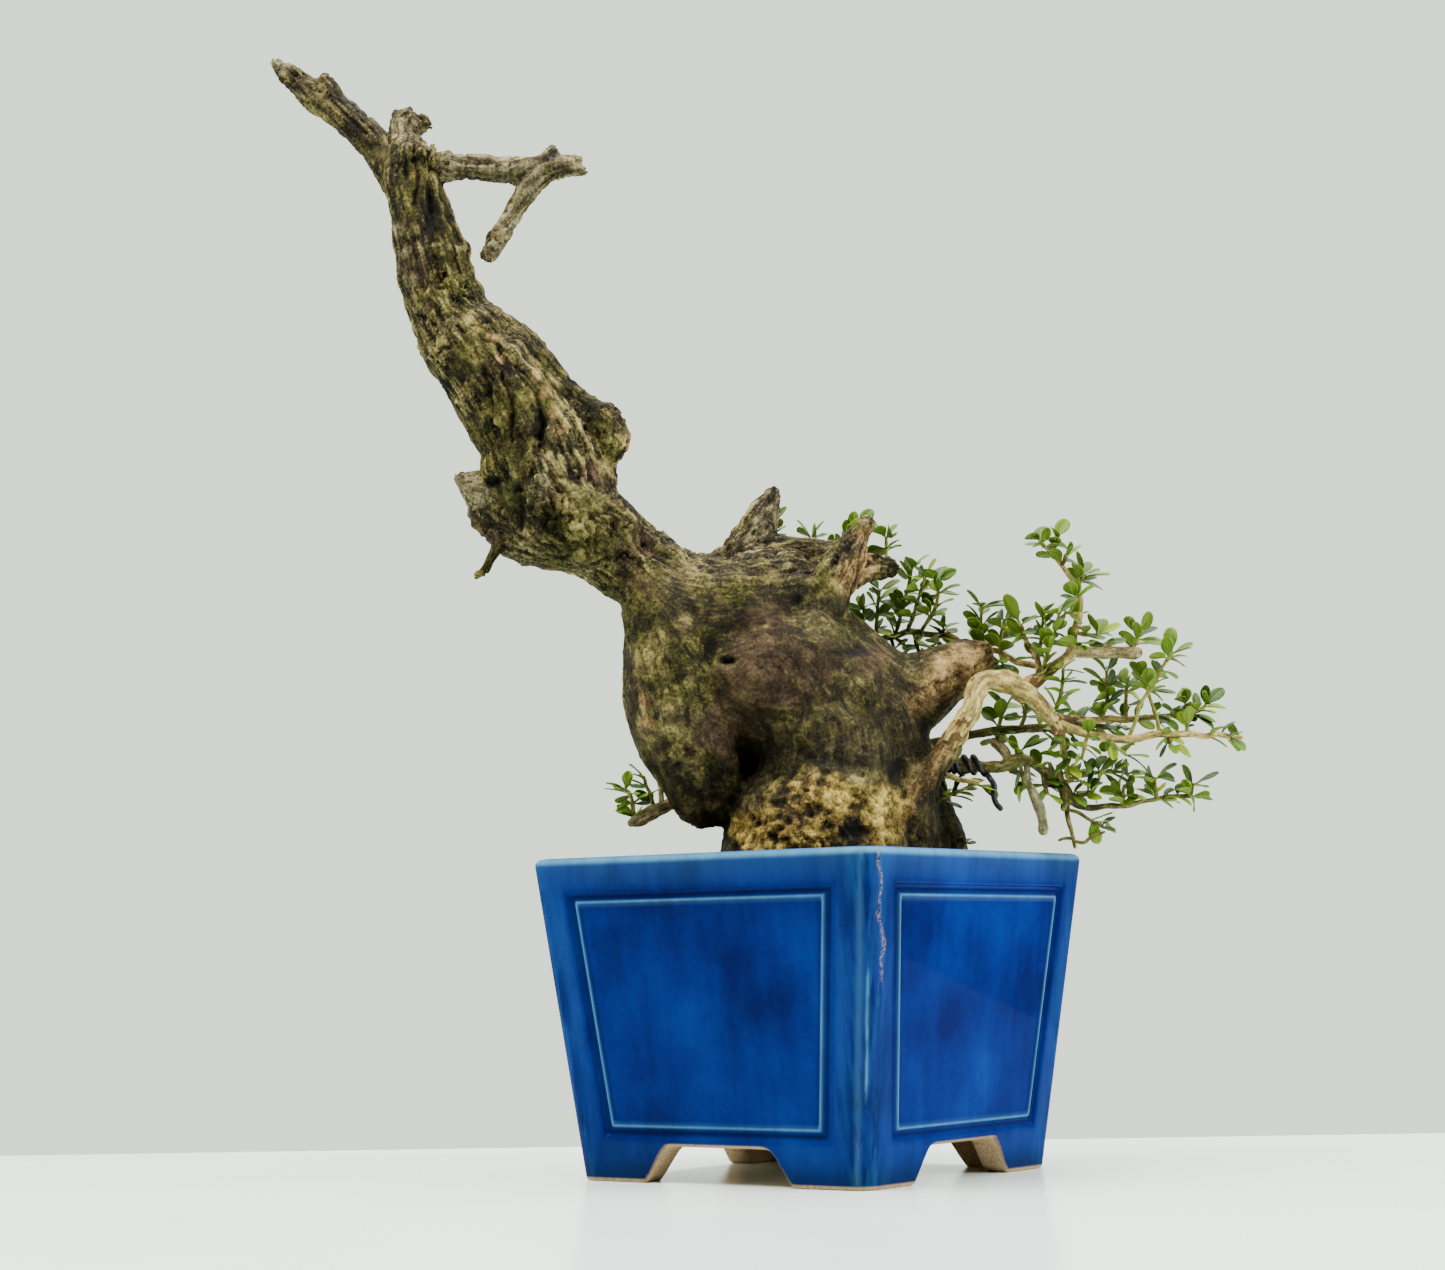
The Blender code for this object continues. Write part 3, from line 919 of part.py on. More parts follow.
def build():
    clear_scene()
    parts = new_collection("wild_olive_bonsai")
    cutters = new_collection("cutters")
    bark = finish_material("mossy_bark", BARK, 0.85)
    deadwood = finish_material("deadwood", DEADWOOD, 0.8)
    pale_bark = finish_material("pale_bark", PALE_BARK, 0.7)
    green_bark = finish_material("green_bark", GREEN_BARK, 0.7)
    leaf_green = finish_material("leaf", LEAF_GREEN, 0.4)
    soil_material = finish_material("soil", SOIL, 0.95)
    plastic = finish_material("black_plastic", BLACK_PLASTIC, 0.5)
    metal = finish_material("dark_wire", DARK_WIRE, 0.45, 1.0)

    build_pot(parts, cutters, finish_material("cobalt_glaze", GLAZE, 0.12))
    build_drain_mesh(parts, plastic)
    build_mesh_clip(parts, metal)
    build_grit(parts, cutters, finish_material("grit", GRIT, 0.9))
    made = {"trunk": build_trunk(parts, bark)}
    root_room = grown_cutter(made["trunk"], cutters, ROOT_GAP, "root_room_")
    soil = build_soil(parts, cutters, soil_material, root_room)
    dead = ("dead_stub", "hanging_twig", "pale_stub", "left_stub")
    green = ("straight_branch", "low_branch", "down_twig")
    pieces = growth_runs()
    leaves = grow_leaves(pieces)
    for name, piece in pieces.items():
        material = deadwood if name in dead else green_bark if name in green else pale_bark
        if name in SHOOTS:
            material = leaf_green
        made[name] = build_growth(name, piece, leaves[name], made, parts, cutters, material)
    build_training_wire(parts, metal)
    build_seedling(parts, cutters, leaf_green, soil)
    stand_on_middle(parts)


build()
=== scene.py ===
"""Looks of the wild olive bonsai: a collected, mossy trunk with leafy branches, in a cobalt glazed pot."""
import math

import bmesh
import bpy
import numpy as np
from mathutils import Matrix, Vector


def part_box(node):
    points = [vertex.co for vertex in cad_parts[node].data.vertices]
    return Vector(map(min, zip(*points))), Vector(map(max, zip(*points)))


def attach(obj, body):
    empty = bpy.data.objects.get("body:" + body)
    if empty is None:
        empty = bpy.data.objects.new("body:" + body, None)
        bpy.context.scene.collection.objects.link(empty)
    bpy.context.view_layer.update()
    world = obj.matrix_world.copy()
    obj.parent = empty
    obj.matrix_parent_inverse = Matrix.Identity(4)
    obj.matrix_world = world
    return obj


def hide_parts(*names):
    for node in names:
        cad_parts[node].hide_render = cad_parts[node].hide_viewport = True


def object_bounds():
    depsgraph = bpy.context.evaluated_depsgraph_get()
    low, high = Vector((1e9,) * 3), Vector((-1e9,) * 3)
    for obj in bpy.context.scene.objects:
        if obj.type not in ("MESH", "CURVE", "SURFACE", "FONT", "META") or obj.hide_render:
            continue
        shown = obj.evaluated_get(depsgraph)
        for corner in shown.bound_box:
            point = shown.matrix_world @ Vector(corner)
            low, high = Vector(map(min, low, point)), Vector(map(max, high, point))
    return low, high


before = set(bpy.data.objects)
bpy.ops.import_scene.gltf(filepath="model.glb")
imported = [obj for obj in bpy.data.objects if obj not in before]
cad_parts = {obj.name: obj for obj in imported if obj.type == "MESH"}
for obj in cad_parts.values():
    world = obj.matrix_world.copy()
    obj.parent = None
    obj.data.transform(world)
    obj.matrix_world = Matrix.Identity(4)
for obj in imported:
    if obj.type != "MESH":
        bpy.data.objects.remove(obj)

cad_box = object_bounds()
MM = 0.001
pot_low, pot_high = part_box("pot")
AXIS = Vector(((pot_low[0] + pot_high[0]) / 2, (pot_low[1] + pot_high[1]) / 2, 0))

# Pot, in millimetres
POT_TOP = 180.0
POT_BOTTOM = 149.0
POT_HEIGHT = 139.0
POT_WALL = 9.0
POT_CORNER = 9.0
FOOT_HEIGHT = 15.5
FLOOR_THICKNESS = 11.0
FOOT_WALL = 12.0
OPENING_LOW = 76.0
OPENING_HIGH = 54.0
OPENING_CORNER = 5.0
DRAIN_HOLE = 22.0
PANEL_LOW = 19.5
PANEL_HIGH = 124.0
PANEL_MARGIN = 19.0
PANEL_DEPTH = 1.6
BEAD_INSET = 3.6
BEAD_WIDTH = 1.8
BEAD_HEIGHT = 1.3
BEAD_MIDDLE = BEAD_INSET + BEAD_WIDTH / 2
FIELD_DEPTH = 1.1
SOIL_EDGE = 132.0
MOUND_RADIUS = 72.0
MOUND_RISE = 8.0

# The tree is laid out as it is seen from its front: across and up, in millimetres on the upright plane
# through the pot's axis, then toward the viewer along the line of sight.
FRONT_AZIMUTH = math.radians(34.0)
EYE_DISTANCE = 1305.0
EYE_HEIGHT = 95.0
SIGHT = Vector((math.sin(FRONT_AZIMUTH), -math.cos(FRONT_AZIMUTH), 0))

# The camera's turn, rise and roll in degrees, and its lens; the table's reach behind the pot, before it and
# to each side, and its thickness, in metres
CAMERA_TURN = (35.66, 6.29, -0.906)
LENS = 72.9
TABLE_BEHIND, TABLE_BEFORE, TABLE_HALF, TABLE_THICK = 0.212, 0.50, 1.9, 0.03

# Lamps: name, azimuth, elevation, distance, width, height, power, colour
LAMPS = (
    ("key", -20, 60, 1.5, 1.1, 0.9, 60, (1.0, 0.98, 0.93)),
    ("side", 104, 18, 1.7, 0.8, 1.2, 56, (0.95, 0.98, 1.0)),
    ("top", 200, 80, 1.3, 1.5, 1.5, 46, (1, 1, 1)))
LAMP_AIM = Vector((0, 0, 0.2))

# Colours of the surround: behind the tree; then the room's, from the side and back of the tree to the
# camera's side
PALE_GROUND = (1.42, 1.58, 1.34)
ROOM_SHADES = ((0.0, (1.50, 1.64, 1.44)), (0.5, (0.06, 0.06, 0.06)))
ROOM_TILT = Vector((0, 0, -0.45))

# Limbs of the trunk: across, up, toward, radius
TRUNK_LIMBS = {
    "column": (
        (-177, 461, 0, 10.5), (-177, 452, 0, 12), (-174, 440, 0, 13), (-171, 425, 0, 14.5),
        (-167.5, 410, 0, 15.5), (-164, 397, 0, 15.5), (-159, 385, 0, 17), (-151, 372, 0, 20),
        (-139, 358, 0, 22), (-128, 343, 0, 24), (-121, 328, 0, 26), (-117, 312, 0, 28),
        (-112, 297, 2, 27)),
    "top_fragment": (
        (-179.5, 466, -3, 6.5), (-180.5, 478, -3, 6), (-176, 478, -3, 5), (-173.5, 476, -3, 3.5)),
    "shoulder": (
        (-153, 378, 0, 11), (-142, 375.5, 0, 12), (-131, 368, 0, 12.5), (-121, 355.5, 0, 14),
        (-110, 341, 0, 14), (-99, 318, 0, 14), (-98.5, 303, 0, 13.5), (-91, 289, 0, 14.5),
        (-78, 271, 0, 14.5)),
    "shoulder_knob": ((-104, 338, 2, 12), (-93, 336, 3, 10.5), (-87.5, 326, 4, 8.5)),
    "horn": (
        (-180, 447, -3, 9), (-189.5, 462.5, -5, 7.6), (-196.5, 471.5, -6, 7.4), (-204.5, 480, -7, 7.8),
        (-213, 487, -8, 7.6), (-221.5, 492.5, -9, 6.8), (-229.5, 498.5, -10, 5.2), (-235.5, 503, -11, 3.4),
        (-239.5, 508.5, -11, 1.8)),
    "horn_tip": ((-228, 499, -9, 4), (-233.5, 505.5, -8, 2.4)),
    "horn_knob": ((-213, 493, -6, 5), (-216.5, 499.5, -5, 3.4)),
    "dead_branch": (
        (-170, 455, 0, 8), (-161, 457, 0, 6.4), (-150, 456.7, 1, 6), (-140, 455.5, 2, 6),
        (-130, 454.5, 3, 6.4), (-121, 454.5, 4, 6.6), (-111, 455.5, 5, 5.8), (-104, 455.5, 6, 4.2),
        (-98, 453.5, 6, 2.2)),
    "dead_branch_tip": ((-108, 458, 5, 3.6), (-99.5, 459.5, 5, 1.8)),
    "dead_branch_knob": ((-114, 459, 4, 4), (-112, 463, 4, 2.8)),
    "hanging_stub": (
        (-120, 451, 4, 7), (-124, 445, 5, 5.6), (-128.5, 438, 6, 4.4), (-133, 430, 7, 4),
        (-138, 421.5, 8, 3.8), (-141.5, 415.8, 8, 3.8)),
    "hanging_nub": ((-137, 423, 8, 3.4), (-140, 424.5, 9, 2.6)),
    "broken_lobe": ((-132, 300, 0, 17), (-142, 305, 1, 12.5), (-150, 309, 2, 7), (-156.5, 313.5, 2, 2.2)),
    "lobe_foot": ((-140, 305, 1, 11), (-143.5, 297, 2, 7.5), (-139, 289, 3, 7)),
    "spike": (
        (-134, 294, 6, 6), (-137.5, 285, 8, 4.6), (-141, 277, 9, 3.3), (-145, 270.5, 9, 2.6),
        (-148.5, 268, 9, 1.8)),
    "elbow": ((-124, 292, 0, 20), (-108, 289, 2, 20), (-94, 287, 2, 20), (-78, 270, 2, 18)),
    "burl": ((-113, 298, 10, 20), (-101, 288, 12, 18), (-88, 283, 8, 16)),
    "small_knob": ((-123, 305, 18, 9), (-119, 309, 22, 4)),
    "underside_nub": ((-84, 261, 2, 5), (-90, 260.5, 2, 2.8)),
    "neck": ((-80, 272, 0, 17), (-66, 262, 0, 19), (-52, 252, 0, 24)),
    "neck_lump": ((-68, 277, 2, 9.5), (-63, 275, 2, 8)),
    "crease_floor": ((-24, 206, -4, 18), (-25, 188, -7, 13), (-23, 170, -6, 12), (-16, 152, -4, 14)),
    "left_leg": (
        (-66, 262, 2, 20), (-60, 246, 6, 23), (-58, 228, 10, 25), (-57, 212, 13, 25), (-54, 197, 14, 24.5),
        (-49, 181, 14, 20), (-46, 168, 13, 16.5)),
    "upper_body": ((-50, 244, 0, 31), (-28, 244, 0, 35), (-14, 249, 0, 30)),
    "middle_body": ((-40, 222, 2, 34), (-10, 218, 2, 38), (6, 212, 2, 36)),
    "first_stub": ((-28, 270, -4, 16), (-22, 285, -5, 10), (-17.5, 296, -6, 6.2), (-14, 303, -6, 4)),
    "first_stub_edge": ((-18, 272, -3, 12), (0, 272, -3, 10.5), (14, 272, -3, 8)),
    "second_stub": (
        (4, 246, 10, 15), (10, 258, 14, 11), (17, 270, 15, 8.5), (23, 280, 15, 6), (27.5, 287.5, 15, 3.6)),
    "broken_stub": ((8, 262, -8, 12), (20, 267, -9, 8), (30, 268, -9, 6.5), (36.5, 267.5, -9, 5.6)),
    "saddle": (
        (8, 226, 0, 26), (28, 214, 2, 21), (45, 210, 1, 18), (60, 218, 0, 14.5), (71, 224.5, -1, 10.5)),
    "cut_stump_lip": ((74, 229, -1, 6), (79, 229, -1, 4.5)),
    "base_cone": (
        (4, 96, 4, 40), (3, 125, 6, 45), (3, 141, 8, 43.5), (5, 156, 10, 39.5), (9, 174, 10, 33),
        (8, 196, 6, 32)),
    "right_flank": ((30, 200, 2, 24), (36, 184, 2, 19), (40, 168, 2, 17), (40, 150, 0, 19)),
    "dark_root": (
        (44, 186, -6, 12), (47.5, 172, -9, 12), (51, 160, -11, 12.5), (54, 150, -13, 13.5),
        (56, 138, -14, 14), (60, 118, -14, 12)),
    "rib": (
        (36, 148, 12, 10), (41, 158, 14, 9), (46, 165, 15, 8), (52, 172, 16, 7.2), (58, 180, 17, 6.4),
        (61.5, 185.5, 17.5, 5.8)),
    "left_root": ((-20, 142, 14, 16), (-34, 130, 16, 12), (-46, 112, 16, 9)),
    "front_root": ((6, 140, 30, 14), (12, 118, 44, 11), (16, 96, 50, 8)),
    "back_root": ((0, 138, -24, 16), (-8, 116, -42, 12), (-12, 92, -52, 8)),
    "right_root": ((44, 130, 14, 13), (54, 108, 20, 10), (58, 88, 22, 7)),
}

# Branches: the run (across, up, toward, radius), the leaves that stand on it, and the spurs. A spur is a run
# and its leaves; a leaf is (point of the run, tip across, tip up, how open the blade is seen).
BRANCHES = {
    "right_branch": (
        ((60.5, 184, 17.5, 4.4), (63, 188, 18, 4.8), (68, 196, 18, 4.8), (72.5, 203, 18, 4.6),
         (74.5, 210, 17, 4.4), (78, 215.5, 16, 4.3), (86, 215.7, 14, 4.5), (92, 213.8, 13, 4.8),
         (98, 210, 12, 4.2), (101.6, 206.7, 12, 3.4), (105.1, 202.9, 12, 3), (108.1, 199.2, 12, 2.9),
         (110.8, 195.8, 12, 2.8), (116.6, 194.2, 13, 2.2), (122.7, 191.7, 14, 2), (128.9, 190.2, 15, 1.9),
         (134, 189.4, 15, 1.9), (142, 188.8, 14, 1.8), (150, 189.8, 13, 1.7), (156, 190.8, 12, 1.6),
         (165, 190.7, 11, 1.5), (171, 190.4, 10, 1.4), (176, 189.3, 10, 1.3), (181, 190.3, 9, 1.2),
         (187, 189.2, 8, 1.1), (192, 188.6, 8, 0.9)), ((25, 187.6, 194.2, .45), (24, 191.9, 182.2, .7)),
        ((((159.8, 190, 11), (160.2, 188, 12), (161, 185.6, 12)),
          ((2, 170.4, 181, .65), (0, 156, 192.3, .4))),)),
    "rising_branch": (
        ((97, 211.5, 12, 3.2), (99, 214, 12, 3.2), (102.1, 216, 12, 2.8), (107.1, 219.5, 13, 2.5),
         (112.2, 223.2, 13, 2.4), (116, 226, 13, 2.4), (118.5, 229, 13, 2.3), (118.5, 233.7, 13, 2.1),
         (120.1, 238.8, 12, 1.9), (121.8, 244.8, 11, 1.6), (122.5, 251.4, 10, 1.5), (121.6, 257, 9, 1.3),
         (118.3, 262.2, 8, 1.1), (114.9, 267.3, 7, 1), (111, 272.4, 6, 0.9), (108, 275.5, 5, 0.75),
         (105.5, 277.5, 5, 0.6)), (),
        ((((114.9, 267.3, 7), (116, 269.5, 8), (116.5, 272, 8)),
          ((1, 122.3, 270, .55), (2, 119.3, 274.9, .5))),
         (((122.5, 251.4, 10), (120.8, 252.5, 12)),
          ((1, 116.2, 258.8, .9), (1, 128.2, 256.6, .35), (1, 119.5, 247.5, .5))),
         (((118.5, 231.5, 13), (122, 232, 16)), ((1, 126.8, 231, .4), (1, 112, 233.5, .7))))),
    "dead_stub": (
        ((117.5, 228.8, 13, 2.2), (122, 228.2, 13, 2.6), (130, 227.8, 12, 2.5), (138, 227.6, 11, 2.5),
         (146.8, 227.5, 10, 2.5)), (),
        ((((131.5, 227.8, 12), (132, 230, 12), (133.5, 231.8, 13)),
          ((2, 127, 232, .5), (2, 141.3, 231.5, .5))),)),
    "second_arm": (
        ((109.5, 197.2, 12, 1.8), (111.8, 198.5, 9, 1.8), (117.4, 198.4, 6, 1.7), (123.5, 197.7, 4, 1.6),
         (129.1, 197.6, 2, 1.6), (134.2, 198.3, 1, 1.6), (141.5, 197.5, 0, 1.5), (153.5, 198.5, -1, 1.4),
         (164.2, 199.2, -2, 1.2), (168, 199.5, -2, 1.1)), ((8, 158.8, 204, .15),),
        ((((166.5, 200.5, -2), (168, 203.5, -2)), ((1, 167.6, 211.8, .85), (1, 164, 206.5, .6))),)),
    "straight_branch": (
        ((50, 187, -8, 2.6), (60, 189, -8, 2.4), (69, 191.3, -8, 2.1), (75.8, 192.4, -7, 2),
         (83.7, 193.8, -5, 2), (91.8, 193.9, -4, 2), (100.3, 194.4, -4, 1.9), (107.8, 194.6, -5, 1.8),
         (120, 196, -6, 1.4), (132, 194.5, -9, 1.1), (138, 194, -10, 0.9)),
        ((8, 123.8, 193, .5), (9, 135.5, 191.7, .6), (10, 141.3, 195.5, .6), (10, 140.5, 191.9, .5),
         (9, 129.5, 192.3, .5)),
        ((((84, 193.6, -5), (84.5, 190.8, -2)), ((1, 92, 186.3, .4), (1, 77.5, 187.6, .4))),)),
    "low_branch": (
        ((49, 177, 0, 3.6), (54, 178.6, 3, 3.4), (58, 180, 4, 3.2), (61.6, 180.2, 5, 2.9),
         (67, 178.3, 6, 2.7), (72.7, 178.7, 7, 2.6), (78.2, 177.6, 8, 2.5), (83.7, 177.5, 9, 2.4),
         (88.7, 178.3, 10, 2.2), (94.3, 179.3, 10, 2), (98, 179.2, 10, 2), (102.3, 176.8, 9, 2),
         (107.1, 173, 8, 2.1), (111.3, 169.4, 8, 2.2), (114, 166.3, 8, 2.2), (115.5, 163, 8, 1.9),
         (119.5, 159.6, 8, 1.5), (125.8, 158.4, 8, 1.5), (131.7, 159.2, 8, 1.3), (140.4, 159.2, 8, 1.2),
         (146.7, 160.9, 7, 1.1), (153, 161.8, 6, 1), (159.8, 163.1, 5, 0.95), (169, 163, 4, 0.85)),
        ((23, 179.1, 162, .45), (23, 162.8, 166.2, .5), (23, 171.3, 157.2, .4)),
        ((((169.6, 165.5, 4), (170, 168, 4)),
          ((1, 166.4, 177, .35), (1, 181.6, 173.3, .3), (1, 177.5, 167.3, .15))),
         (((114.8, 164.8, 8), (120.5, 164.2, 10), (124.5, 165.3, 10), (127.5, 168.5, 10),
           (129, 172.3, 10)), ((2, 128.3, 161.8, .6),)),
         (((103, 176.4, 9), (104.5, 169.5, 11), (105.5, 165.5, 11)),
          ((1, 98.8, 168, .35), (2, 110.3, 160, .5), (1, 111, 166.5, .3))))),
    "down_twig": (
        ((115.2, 163.6, 8.5, 1.4), (113.9, 158, 10, 1.2), (114.6, 153, 11, 1.1), (115.8, 148.4, 11, 1),
         (117.1, 141.5, 12, 0.8)), (),
        ((((116.8, 143.8, 12), (121.2, 143.2, 13), (124.7, 145.8, 13), (130, 147.6, 13)), ()),
         (((115, 158, 9.5), (119, 156.5, 10), (123, 153.8, 11), (127, 151.5, 11), (130, 149.8, 11)),
          ((4, 135.5, 149.3, .75),)), (((116.3, 145.6, 11.5), (113, 145.2, 11), (110.5, 144.5, 11)), ()))),
    "hanging_twig": (
        ((96.5, 179, 10, 1.3), (97.5, 170, 13, 1.5), (99.6, 165, 14, 1.6), (102.2, 158, 15, 1.8),
         (103.2, 152, 15, 1.7), (103.4, 149, 15, 1.9)), (), ()),
    "fork_twig": (
        ((102.8, 216.6, 12, 1.4), (103.3, 223.5, 13, 1.4), (101.5, 227.5, 12, 1.3), (99.3, 231, 10, 1.2),
         (97, 236, 8, 1.1), (96, 240, 7, 1)), (),
        ((((97.5, 235, 9), (96.3, 238, 8), (95.6, 241, 8)),
          ((2, 88.8, 255, .6), (2, 102.3, 243, .4), (1, 106.2, 237.3, .6), (1, 100.8, 235.8, .6),
           (1, 92, 237, .5), (0, 91, 232, .4))),
         (((102, 226.5, 12), (104, 231, 10), (105, 238, 9), (106, 245, 9)),
          ((3, 97, 243, .15), (3, 112, 241.5, .15), (1, 108.5, 235.2, .15))))),
    "back_branch": (
        ((16, 226, -16, 2.2), (22, 231, -18, 2), (27.5, 233.5, -20, 1.7), (35, 236, -21, 1.5),
         (40, 236.8, -21, 1.5), (45, 238.8, -21, 1.6), (50, 238.2, -20, 1.6), (57, 237, -18, 1.5),
         (62, 237, -16, 1.5), (66.5, 235, -14, 1.4), (70.5, 232.3, -12, 1.3), (77, 230.5, -11, 1.3),
         (84.5, 229.5, -10, 1.3), (89.5, 227, -8, 1.4), (93.5, 224.3, -6, 1.5), (100, 223, -2, 1.5),
         (103, 222, 1, 1.4)), (),
        ((((60, 237, -17), (61.5, 239.5, -13)), ((1, 68.5, 243.3, .4), (1, 57.5, 243, .3))),
         (((58, 237, -17.5), (59, 232.5, -14)),
          ((1, 62.5, 232, .6), (1, 54, 234.5, .5), (1, 66, 231.5, .4))),
         (((38, 236.5, -21), (39, 231, -17)),
          ((1, 41.5, 226.5, .7), (1, 44.5, 233.5, .4), (1, 34.5, 229, .4))))),
    "pale_stub": (
        ((89, 178.3, 10, 2), (88, 183, 4, 2.2), (85, 186.5, 1, 2.3), (82.5, 188.5, -1, 2.2)), (), ()),
    "left_stub": (
        ((-54, 165.5, 10, 2.8), (-60, 164, 12, 3), (-66, 161.5, 14, 3), (-71, 159.5, 15, 3.4),
         (-76, 157, 16, 3.2), (-79.5, 155.5, 16, 2.2)), (),
        ((((-66, 161.5, 14, 1.3), (-66.5, 170, 13, 1.2), (-67.5, 174.5, 13, 1)), ()),)),
    "under_twig": (
        ((48, 175, -2, 1.6), (52, 174.5, 4, 1.4), (56.5, 173.5, 8, 1.3), (61.8, 173.8, 11, 1.3),
         (66.8, 172, 12, 1.2), (74.7, 171, 13, 1)), (), ()),
}

